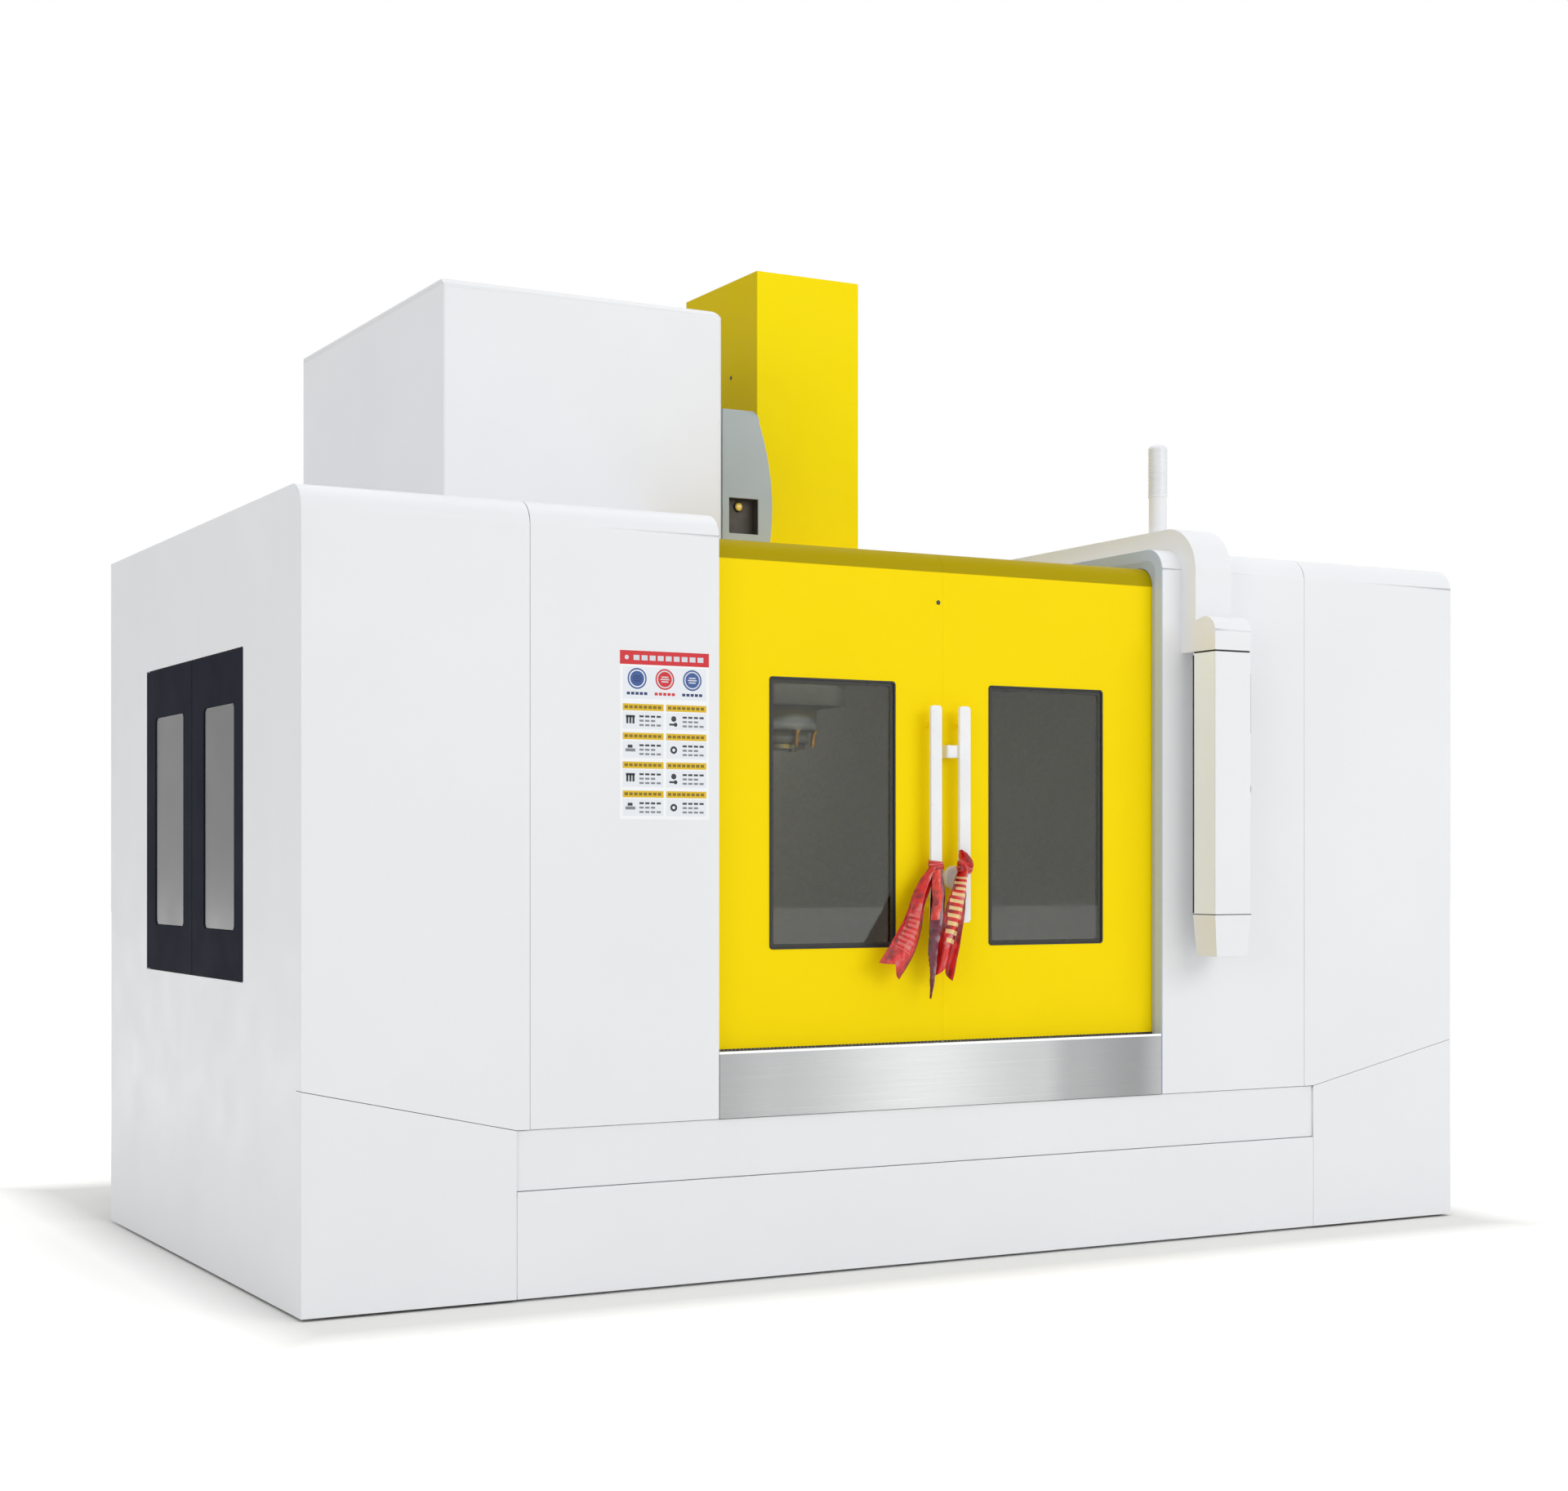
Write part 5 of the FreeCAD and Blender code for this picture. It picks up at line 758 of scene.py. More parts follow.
class MACHINE_OT_stage(bpy.types.Operator):
    """Pale floor, soft studio light and the camera at the photographed angle"""

    bl_idname = "machine.stage"
    bl_label = "Stage"

    def execute(self, context):
        settings = context.scene.machine_stage
        world = bpy.data.worlds.new("studio")
        context.scene.world = world
        world.use_nodes = True
        tree = world.node_tree
        sky = tree.nodes["Background"]
        sky.inputs["Color"].default_value = (1.0, 1.0, 1.0, 1.0)
        strength = tree.nodes.new("ShaderNodeMapRange")
        strength.inputs["To Min"].default_value = settings.sky
        strength.inputs["To Max"].default_value = 1.0
        tree.links.new(seen_rays(tree), strength.inputs["Value"])
        tree.links.new(strength.outputs["Result"], sky.inputs["Strength"])

        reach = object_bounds()[1]
        shape = bmesh.new()
        bmesh.ops.create_grid(shape, x_segments=8, y_segments=8, size=60.0)
        mesh = mesh_of("studio_floor", shape)
        floor = bpy.data.objects.new("studio_floor", mesh)
        context.scene.collection.objects.link(floor)
        floor.location.z = -0.0005
        mesh.materials.append(self.floor_finish(settings.floor, reach))
        floor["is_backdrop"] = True

        for name, place, aim, size, share in (
            ("front_softbox", (4.5, -11.0, 6.0), (0.3, -1.0, 1.8), (9.0, 5.0), 1.2),
            ("top_softbox", (0.0, 0.5, 9.5), (0.0, 0.0, 2.0), (8.0, 8.0), 0.7),
            ("left_softbox", (-10.0, -8.0, 3.5), (-0.5, -1.0, 1.4), (5.0, 4.0), 0.46),
            ("inside_softbox", placed(0.0, 300.0, 2330.0), placed(0.0, 620.0, 900.0), (1.3, 0.25), 0.05),
        ):
            softbox(name, place, aim, size, settings.key_power * share)
        self.camera(context)
        context.scene.view_settings.view_transform = "Standard"
        return {"FINISHED"}

    @staticmethod
    def floor_finish(colour, reach):
        """A pale floor that the camera sees as white, with a glow for the camera that is weaker close to the
        machine: this paints a soft shade round the machine's foot over its real shadow.
        """
        finish = Finish("studio floor", Roughness=0.9)
        finish.colour(finish.toned(colour, 0.004, 0.5))
        beside = finish.maths("SUBTRACT", finish.maths("ABSOLUTE", finish.place_along("X")), reach.x)
        before = finish.maths("SUBTRACT", finish.maths("ABSOLUTE", finish.place_along("Y")), reach.y)
        gap = finish.maths("MAXIMUM", beside, before)
        # The glow grows with the distance from the machine, so the floor next to it is left darker: painted
        # shade.
        near, far = finish.between(gap, 0.0, 0.32, 0.0, 0.24), finish.between(gap, 0.0, 0.9, 0.3, 2.6)
        strength = finish.maths("ADD", near, far)
        glow_dim_near_machine = finish.node("ShaderNodeEmission", Color=(1.0, 1.0, 1.0, 1.0), Strength=strength)
        both = finish.node("ShaderNodeAddShader", i0=finish.shader.outputs[0], i1=glow_dim_near_machine.outputs[0])
        seen = finish.node("ShaderNodeMixShader", i0=seen_rays(finish.tree))
        finish.tree.links.new(finish.shader.outputs[0], seen.inputs[1])
        finish.tree.links.new(both.outputs[0], seen.inputs[2])
        finish.tree.links.new(seen.outputs[0], finish.tree.nodes["Material Output"].inputs["Surface"])
        return finish.material

    @staticmethod
    def camera(context):
        """The photo's camera, as fitted to the guard's corners."""
        data = bpy.data.cameras.new("photo_camera")
        data.sensor_width = 36.0
        data.lens = 56.08
        data.shift_y = 0.0759
        data.clip_start, data.clip_end = 0.1, 200.0
        camera = bpy.data.objects.new("photo_camera", data)
        context.scene.collection.objects.link(camera)
        camera.location = placed(-4455.4, -6906.6, 1334.3)
        camera.rotation_euler = (math.radians(90.0), 0.0, math.radians(-28.889))
        context.scene.camera = camera


# ---- paint and rounded covers --------------------------------------------------------------------

# Own paints: the doors' and the head cover's carry painted shade, the right inner panel's a painted tint
# against bounced light, and the sill's painted reflections.
OWN_FINISH = {
    "door_left": "door_paint",
    "door_right": "door_paint",
    "head_cover": "head_cover_paint_with_painted_light",
    "sill_panel": "sill_with_painted_reflections",
    "inner_panel_right": "edge_film_and_painted_bounce_tint",
}
FOLDED = (
    "wing_left", "wing_right", "inner_panel_left", "inner_panel_right", "skirts", "base_lower_cover",
    "base_upper_cover", "arm_cover", "head_cover", "control_cabinet", "cabinet_door",
    "door_left", "door_right",
)
CAST = ("changer_housing", "table", "saddle", "bed", "column", "side_leaf_front", "side_leaf_rear")


def finish_of(node):
    return OWN_FINISH.get(node, NODE_SLOT[node])


class MACHINE_OT_finishes(bpy.types.Operator):
    """Paint, metal, glass or plastic on every solid of the machine"""

    bl_idname = "machine.finishes"
    bl_label = "Paint the solids"

    def execute(self, context):
        FINISHES.update(build_finishes())
        for node, solid in frame["nodes"].items():
            solid.data.materials.clear()
            solid.data.materials.append(FINISHES[finish_of(node)])
        return {"FINISHED"}


class MACHINE_OT_folded_covers(bpy.types.Operator):
    """The sheet covers and castings with the rounded edges of folded sheet and of moulds"""

    bl_idname = "machine.folded_covers"
    bl_label = "Folded covers"

    def execute(self, context):
        radius = context.scene.machine_fitting.fold_radius
        door_share, cast_share = 0.35, 0.6
        for node in FOLDED:
            folded_copy(node, radius * (door_share if node.startswith("door_") else 1.0), finish_of(node))
        for node in CAST:
            folded_copy(node, radius * cast_share, finish_of(node), 2, 0.006, "cast")
        return {"FINISHED"}


# ---- doors ---------------------------------------------------------------------------------------


class MACHINE_OT_door_fittings(bpy.types.Operator):
    """Rubber window seals, pull handles, striker, lock case and bottom wiper of the sliding doors"""

    bl_idname = "machine.door_fittings"
    bl_label = "Door fittings"

    def execute(self, context):
        settings = context.scene.machine_glass
        for word in ("left", "right"):
            self.seal(word, settings)
            self.handle(word)
            self.wiper(word)
        self.striker_and_lock()
        return {"FINISHED"}

    @staticmethod
    def seal(word, settings):
        """The rubber round a pane, the lip that holds it, and the dark border on the pane itself."""
        low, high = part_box(f"door_glass_{word}")
        face, clear = FRONT + DOOR_FACE * MM, 0.0001
        rubber, border = bmesh.new(), bmesh.new()
        outer = inset_outline(low, high, -0.0015, 0.013)
        inner = inset_outline(low, high, settings.seal_width, 0.009)
        ring_strip(rubber, outer, inner, face - settings.seal_proud, face - clear)
        lip = inset_outline(low, high, 0.0005, 0.012)
        ring_strip(rubber, lip, inner, face - settings.seal_proud * 0.5, low.y - clear)
        finish_shape(f"door_seal_{word}", rubber, f"door_{word}", "rubber")
        within = inset_outline(low, high, 0.0135, 0.009)
        further = inset_outline(low, high, 0.015, 0.0085)
        ring_strip(border, inner, further, low.y - 2.0 * clear, low.y - clear)
        ring_strip(border, within, further, high.y + 2.0 * clear, high.y + 0.0132)
        finish_shape(f"pane_border_{word}", border, f"door_{word}", "pane_border", "black_plastic")

    @staticmethod
    def handle(word):
        """A flat bar with rounded corners on two posts in the door's own colour."""
        node, body = f"handle_{word}", f"door_{word}"
        low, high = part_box(node)
        front, back = low.y + 0.004, low.y + 0.016
        shape = bmesh.new()
        outline = rounded_outline(low.x, high.x - 0.003, low.z, high.z, 0.009, 5)
        rings = add_prism(shape, outline, back - front, lambda a, b, depth: Vector((a, front + depth, b)))
        rims = [edge for edge in shape.edges if any(set(edge.verts) <= set(ring) for ring in rings)]
        rounded_edges(shape, rims, 0.0025, 3)
        even_shading(finish_shape(f"pull_handle_{word}", shape, body, "white_plastic", None, node))
        shape = bmesh.new()
        middle, reach, inset = (low.x + high.x) / 2.0, high.y - back, 0.060
        outline = [(0.009, -0.001), (0.009, reach - 0.006), (0.013, reach - 0.003), (0.013, reach)]
        for z in (low.z + inset, high.z - inset):
            add_turned(shape, outline, Vector((middle, back, z)), (0, 1, 0), 32)
        finish_shape(f"handle_posts_{word}", shape, body, "yellow_paint", "yellow_paint", node)

    @staticmethod
    def wiper(word):
        """A dark brush strip under the door, made of short tufts."""
        low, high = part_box(f"door_{word}")
        tree = PartTree(f"wiper {word}", "Length", "Width")
        size = tree.node("ShaderNodeCombineXYZ", X=tree.size("Width"), Y=0.003, Z=tree.size("Length"))
        tree.at_points(tree.node("GeometryNodeMeshCube", Size=size.outputs[0]))
        inset, pitch = 0.002, 0.014
        count = int((high.x - low.x) / pitch)
        step = (high.x - low.x - 2.0 * inset) / count
        first, y, z = low.x + inset, FRONT + 0.0585, low.z + 0.0005
        places = [((first + step * (i + 0.5), y, z), (0, 0, 1)) for i in range(count)]
        sizes = {"Length": 0.005, "Width": step * 0.72}
        scattered(f"door_wiper_{word}", tree, places, sizes, f"door_{word}", "rubber")

    @staticmethod
    def striker_and_lock():
        shape = bmesh.new()
        add_block(shape, placed(-8.5, 14.0, 1693.0), placed(33.5, DOOR_FACE, 1736.0), 0.004, 3)
        add_block(shape, placed(-3.5, 12.4, 1698.0), placed(28.5, 14.5, 1731.0), 0.002, 2)
        outline = [(0.040, 0.0), (0.040, 0.010), (0.037, 0.0148), (0.028, 0.016), (0.026, 0.0145)]
        outline += [(0.010, 0.0145), (0.010, 0.016), (0.0, 0.016)]
        add_turned(shape, outline, placed(42.0, DOOR_FACE, 1290.0), (0, -1, 0), 56)
        piece = finish_shape("striker_and_lock", shape, "door_right", "white_plastic", None, "door_locks")
        even_shading(piece)


# ---- magazine box and signal light ------------------------------------------------------------------


class MACHINE_OT_magazine_box(bpy.types.Operator):
    """The sheet box over the magazine with its rolled top edges"""

    bl_idname = "machine.magazine_box"
    bl_label = "Magazine box"

    def execute(self, context):
        # The box's paint carries painted shade on its top lip.
        folded_copy("magazine_guard", 0.0165, "magazine_paint_with_painted_lip_shade", 5)
        return {"FINISHED"}


class MACHINE_OT_signal_light(bpy.types.Operator):
    """Round signal light on its pole"""

    bl_idname = "machine.signal_light"
    bl_label = "Signal light"

    def execute(self, context):
        low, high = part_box("signal_pole")
        foot = Vector(((low.x + high.x) / 2.0, (low.y + high.y) / 2.0, low.z))
        radius, height = 0.035, high.z - low.z
        waist = radius * 0.93
        shape = bmesh.new()
        outline = [(radius, 0.0), (radius, 0.004), (waist, 0.007)]
        outline += [(waist, height - 0.006), (radius, height - 0.003), (radius, height)]
        add_turned(shape, outline, foot)
        finish_shape("signal_light_pole", shape, "machine", "white_paint", None, "signal_pole")
        low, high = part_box("signal_lens")
        tall, rim, dome, ribs, groove = high.z - low.z, 0.003, 0.021, 24, 0.0012
        outline = [(radius, 0.0), (radius, rim)]
        step = (tall - rim - dome) / ribs
        for index in range(ribs):
            base = rim + step * index
            outline += [(radius, base + step * 0.2), (radius - groove, base + step * 0.5)]
            outline.append((radius, base + step * 0.8))
        for index in range(1, 7):
            angle = math.pi / 2.0 * index / 6.0
            outline.append((radius * math.cos(angle), tall - dome + dome * math.sin(angle)))
        outline[-1] = (0.0, tall)
        shape = bmesh.new()
        add_turned(shape, outline, foot + Vector((0.0, 0.0, height)))
        finish_shape("signal_light_lens", shape, "machine", "lamp_plastic", None, "signal_lens", sharp=60.0)
        return {"FINISHED"}


# ---- small patterns ------------------------------------------------------------------------------


def scattered(name, tree, places, sizes, body, finish, slot=None):
    """Items of a tree at a list of (place, direction), as one piece on a body."""
    mesh = grown(name, tree, points_mesh(places), {**sizes, "Finish": FINISHES[finish]})
    return finish_mesh(name, mesh, body, finish, slot)


def turned_tree(name, *steps):
    """Round steps on one axis: each one's sides, then radius, depth and middle as shares of the sizes."""
    tree = PartTree(name, "Radius", "Length")
    parts = []
    for sides, radius, depth, middle in steps:
        made = tree.node(
            "GeometryNodeMeshCylinder",
            Vertices=sides,
            Radius=tree.size("Radius", radius),
            Depth=tree.size("Length", depth),
        )
        lift = tree.node("ShaderNodeCombineXYZ", Z=tree.size("Length", middle))
        parts.append(
            tree.node("GeometryNodeTransform", Geometry=made.outputs["Mesh"], Translation=lift.outputs[0])
        )
    return tree.at_points(tree.joined(*parts))


def screw_tree():
    """A button-head screw: low dome on a washer with a socket in its middle."""
    return turned_tree(
        "button head screw",
        (16, 1.25, 0.2, 0.1),
        (16, 1.0, 0.5, 0.35),
        (16, 0.72, 0.35, 0.75),
        (6, 0.34, 0.1, 1.02),
    )


def nozzle_tree():
    """A coolant nozzle: hexagon, barrel, collar and a rim at its end."""
    return turned_tree(
        "coolant nozzle",
        (6, 1.3, 0.16, 0.08),
        (20, 1.0, 1.0, 0.5),
        (20, 1.14, 0.05, 0.45),
        (20, 1.1, 0.06, 0.97),
    )


def louvre_tree():
    """A pressed louvre: a slanted hood that stands out of the sheet, open below."""
    tree = PartTree("pressed louvre", "Length", "Rise")
    kind, wide = "GeometryNodeCurvePrimitiveQuadrilateral", tree.size("Rise", 1.6)
    outline = tree.node(kind, {"mode": "RECTANGLE"}, Width=wide, Height=0.0012)
    ahead, behind = (tree.node("ShaderNodeCombineXYZ", X=tree.size("Length", share)) for share in (0.5, -0.5))
    spine = tree.node("GeometryNodeCurvePrimitiveLine", Start=behind.outputs[0], End=ahead.outputs[0])
    slant = (math.radians(32.0), 0.0, 0.0)
    hood = tree.swept(spine, outline)
    tipped = tree.node("GeometryNodeTransform", Geometry=hood.outputs[0], Rotation=slant)
    lift = (0.0, 0.0, 0.0015)
    return tree.at_points(tree.node("GeometryNodeTransform", Geometry=tipped.outputs[0], Translation=lift))


def key_tree():
    """A low square key with a softened top."""
    tree = PartTree("panel key", "Side", "Rise")
    size = tree.node("ShaderNodeCombineXYZ", X=tree.size("Side"), Y=tree.size("Side"), Z=tree.size("Rise"))
    base = tree.node("GeometryNodeMeshCube", Size=size.outputs[0])
    share = (0.84, 0.84, 1.3)
    inner = tree.node("ShaderNodeVectorMath", {"operation": "MULTIPLY"}, i0=size.outputs[0], i1=share)
    cap = tree.node("GeometryNodeMeshCube", Size=inner.outputs[0])
    return tree.at_points(tree.joined(base, cap))


def thread_tree():
    """The raised land of a ball screw: a spiral with a small round section."""
    tree = PartTree("screw thread", "Length", "Radius", "Lead", "Land")
    spiral = tree.node(
        "GeometryNodeCurveSpiral",
        Resolution=14,
        Rotations=tree.maths("DIVIDE", tree.size("Length"), tree.size("Lead")),
        Start_Radius=tree.size("Radius"),
        End_Radius=tree.size("Radius"),
        Height=tree.size("Length"),
    )
    section = tree.node("GeometryNodeCurvePrimitiveCircle", Resolution=6, Radius=tree.size("Land"))
    return tree.at_points(tree.swept(spiral, section))


# ---- ribbons -------------------------------------------------------------------------------------

# Each station down a tail: x, y, z and visible width in mm, then turn in degrees.
LEFT_SWEPT = (
    (-72.0, -6.0, 1322.0, 28.0, 6.0),
    (-112.0, -13.0, 1266.0, 42.0, 14.0),
    (-138.0, -18.0, 1208.0, 60.0, 12.0),
    (-159.0, -20.0, 1150.0, 77.0, -2.0),
    (-186.0, -20.0, 1092.0, 93.0, -3.0),
    (-219.0, -19.0, 1034.0, 101.0, 0.0),
    (-256.0, -18.0, 982.0, 99.0, 2.0),
)
LEFT_UNDER = (
    (-66.0, -20.0, 1318.0, 30.0, -8.0),
    (-68.0, -22.0, 1240.0, 50.0, -12.0),
    (-72.0, -22.0, 1142.0, 57.0, 4.0),
    (-76.0, -21.0, 1091.0, 48.0, 12.0),
    (-83.0, -20.0, 1041.0, 32.0, 20.0),
    (-84.0, -19.0, 985.0, 21.0, 20.0),
    (-88.0, -18.0, 930.0, 14.0, 8.0),
    (-95.0, -18.0, 886.0, 5.0, 0.0),
)
LEFT_FLAP = (
    (-68.0, -26.0, 1316.0, 36.0, 4.0),
    (-74.0, -31.0, 1255.0, 47.0, -4.0),
    (-75.0, -32.0, 1200.0, 47.0, 6.0),
    (-77.0, -31.0, 1146.0, 42.0, -4.0),
)
RIGHT_TAIL = (
    (48.0, -10.0, 1320.0, 36.0, 0.0),
    (29.0, -18.0, 1284.0, 56.0, 8.0),
    (15.0, -24.0, 1238.0, 80.0, 8.0),
    (0.0, -27.0, 1180.0, 88.0, 4.0),
    (-16.0, -27.0, 1115.0, 80.0, -4.0),
    (-34.0, -26.0, 1040.0, 73.0, -8.0),
    (-52.0, -23.0, 952.0, 72.0, -4.0),
)
RIGHT_EAR = (
    (46.0, -14.0, 1318.0, 54.0, 0.0),
    (40.0, -18.0, 1338.0, 54.0, 6.0),
    (29.0, -18.0, 1360.0, 36.0, 10.0),
    (21.0, -15.0, 1382.0, 10.0, 14.0),
)
# Each tail: side, name, stations, share of the cut width, pleats, depth of the notch in mm, seed, finish.
TAILS = (
    ("left", "swept", LEFT_SWEPT, 1.0, 1.3, 34.0, 1.3, "creased_ribbon"),
    ("left", "under", LEFT_UNDER, 0.62, 1.0, 4.0, 4.1, "ribbon_in_painted_shade"),
    ("left", "flap", LEFT_FLAP, 0.62, 1.2, 10.0, 2.2, "flap_ribbon"),
    ("right", "tail", RIGHT_TAIL, 1.0, 1.3, 32.0, 3.2, "barred_ribbon"),
    ("right", "ear", RIGHT_EAR, 0.62, 1.0, 0.0, 5.0, "red_ribbon"),
)
# Each knot: side, x and z of its middle in mm, seed.
KNOTS = (("left", -58.5, 1326.0, 0.7), ("right", 55.5, 1324.0, 2.9))
CLOTH = 0.0005


def station_at(stations, share):
    """The values a share of the way down, passing smoothly through the stations."""
    last = len(stations) - 1
    place = min(max(share, 0.0), 1.0) * last
    first = min(int(place), last - 1)
    t = place - first
    a, b, c, d = (stations[min(max(first + k, 0), last)] for k in (-1, 0, 1, 2))
    values = []
    for p0, p1, p2, p3 in zip(a, b, c, d):
        bend = 2.0 * p0 - 5.0 * p1 + 4.0 * p2 - p3
        twist = -p0 + 3.0 * p1 - 3.0 * p2 + p3
        values.append(0.5 * (2.0 * p1 + (p2 - p0) * t + bend * t * t + twist * t * t * t))
    return values


def wave_height(wide, cut, waves):
    """Height of the pleats that take a cut width down to a visible one."""
    low, high = 0.0, cut
    for _ in range(24):
        middle = (low + high) / 2.0
        total = 0.0
        for index in range(32):
            slope = middle * 2.0 * math.pi * waves / wide * math.cos(2.0 * math.pi * (index + 0.5) / 32)
            total += math.sqrt(1.0 + slope * slope) * wide / 32
        low, high = (middle, high) if total < cut else (low, middle)
    return low


def hanging_strip(name, stations, cut, waves, notch, seed, side, finish):
    """A tail of ribbon cut to a width, pleated where it is gathered, with a swallow-tail end."""
    across, down = 28, 96
    middles = [Vector(station_at(stations, i / 200.0)[:3]) for i in range(201)]
    length = sum((two - one).length for one, two in zip(middles, middles[1:]))
    shape = bmesh.new()
    grid, flats, fold_shade_values = [], [], []
    for row in range(down + 1):
        line, flat = [], []
        for column in range(across + 1):
            u = column / across - 0.5
            reach = 1.0 - notch / length * (1.0 - abs(2.0 * u))
            share = row / down * reach
            x, y, z, wide, turn = station_at(stations, share)
            ahead = Vector(station_at(stations, min(share + 0.01, 1.0))[:3])
            behind = Vector(station_at(stations, max(share - 0.01, 0.0))[:3])
            down_way = (ahead - behind).normalized()
            angle = math.radians(turn)
            aside = Vector((math.cos(angle), math.sin(angle), 0.0))
            aside = (aside - down_way * aside.dot(down_way)).normalized()
            out = down_way.cross(aside)
            height = wave_height(wide, min(max(cut, wide * 1.004), wide * 2.2), waves)
            drift = 0.5 + 0.35 * math.sin(5.0 * share + seed)
            fold = height * math.sin(2.0 * math.pi * waves * (u + drift * 0.4))
            spot = Vector((u * 2.2, share * length / 34.0, seed * 7.0))
            crease = 2.8 * noise.noise(spot) - 3.0 * abs(noise.noise(spot * 1.8 + Vector((5.0, 0.0, 0.0))))
            crumple = crease * min(1.0, share * 6.0) + 0.8 * noise.noise(spot * 3.6)
            # How far the point stands out of the folds, kept for the satin's painted shade and highlights.
            fold_shade_values.append(0.58 + 0.24 * fold / max(height, 4.0) + 0.14 * crumple)
            point = Vector((x, y, z)) + aside * (wide * u) + out * (fold + crumple)
            line.append(shape.verts.new(placed(*point)))
            flat.append((u + 0.5, share))
        grid.append(line)
        flats.append(flat)
    woven(shape, grid, flats)
    return satin_piece(name, shape, fold_shade_values, length * MM, cut * MM, side, finish)


def woven(shape, grid, flats):
    """Faces between the rows of a grid, with the flat place of each corner as its UV."""
    uv_layer = shape.loops.layers.uv.new("UVMap")
    for row in range(len(grid) - 1):
        for column in range(len(flats[0]) - 1):
            corners = ((row, column), (row, column + 1), (row + 1, column + 1), (row + 1, column))
            face = shape.faces.new([grid[r][c % len(grid[r])] for r, c in corners])
            for loop, (r, c) in zip(face.loops, corners):
                loop[uv_layer].uv = flats[r][c]


def satin_piece(name, shape, fold_shade_values, length, wide, side, finish):
    """Ribbon of its own thickness; the values per point tell how far each point stands out of the folds, and
    the satin paints shade in the hollows and highlights on the ridges from them.
    """
    area = sum(face.calc_area() for face in shape.faces)
    wide = wide or area / length
    mesh = mesh_of(name, shape)
    # Kept for the satin's painted fold shade and highlights.
    crease = mesh.attributes.new("crease", "FLOAT", "POINT")
    crease.data.foreach_set("value", [min(max(tone, 0.0), 1.0) for tone in fold_shade_values])
    piece = finish_mesh(name, mesh, f"door_{side}", finish, "red_ribbon", sharp=80.0)
    cloth = piece.modifiers.new("cloth", "SOLIDIFY")
    cloth.thickness = CLOTH
    cloth.offset = 0.0
    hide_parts(f"ribbon_{side}")


def gathered_knot(name, x, z, seed, side):
    """The turn of ribbon pulled tight round a handle's bar."""
    half, front, back = 23.6, 1.6, 18.4
    shape = bmesh.new()
    around, up = 72, 40
    outline = rounded_outline(-half, half, front, back, 6.0, 17)
    length = sum((Vector(outline[i]) - Vector(outline[i - 1])).length for i in range(len(outline)))
    rings, flats, fold_shade_values = [], [], []
    for row in range(up + 1):
        v = row / up - 0.5
        ring = []
        for index in range(around):
            a, b = outline[index]
            after, before = outline[(index + 1) % around], outline[index - 1]
            way = Vector((after[0] - before[0], after[1] - before[1])).normalized()
            out = Vector((way.y, -way.x))
            facing = 0.5 - 0.5 * b / back
            tall = 42.0 + 12.0 * noise.noise(Vector((a * 0.05, b * 0.07, seed)))
            swell = (2.6 + 8.4 * max(0.0, facing)) * (1.0 - (2.0 * v) ** 2)
            pleat = 1.15 * math.sin(2.0 * math.pi * (3.2 * v + 0.35 * math.sin(a * 0.11 + seed)))
            lump = 3.2 * noise.noise(Vector((a * 0.07, b * 0.09, v * 2.4 + seed)))
            away = max(0.4, swell + pleat + lump)
            # How far the point stands out of the pleats, kept for the satin's painted shade and highlights.
            fold_shade_values.append(0.5 + 0.3 * pleat + 0.12 * lump)
            spot = placed(x + a + out.x * away, b + out.y * away, z + v * tall - 0.12 * a * v)
            ring.append(shape.verts.new(spot))
        rings.append(ring)
        flats.append([(index / around, v + 0.5) for index in range(around + 1)])
    woven(shape, rings, flats)
    bmesh.ops.recalc_face_normals(shape, faces=shape.faces)
    satin_piece(name, shape, fold_shade_values, length * MM, None, side, "red_ribbon")


class MACHINE_OT_ribbons(bpy.types.Operator):
    """Red satin ribbons tied round the two pull handles"""

    bl_idname = "machine.ribbons"
    bl_label = "Ribbons"

    def execute(self, context):
        cut = context.scene.machine_ribbon.width / MM
        for side, word, stations, share, waves, notch, seed, finish in TAILS:
            hanging_strip(f"ribbon_{side}_{word}", stations, cut * share, waves, notch, seed, side, finish)
        for side, x, z, seed in KNOTS:
            gathered_knot(f"ribbon_{side}_knot", x, z, seed, side)
        return {"FINISHED"}


# ---- operating chart -----------------------------------------------------------------------------

CHART_INKS = {
    "sheet": (244, 246, 248),
    "card": (232, 236, 242),
    "red": (206, 34, 44),
    "blue": (54, 86, 150),
    "deep": (34, 52, 104),
    "yellow": (222, 184, 22),
    "brown": (128, 104, 24),
    "dark": (46, 48, 54),
    "grey": (128, 132, 140),
    "pale": (214, 218, 224),
}


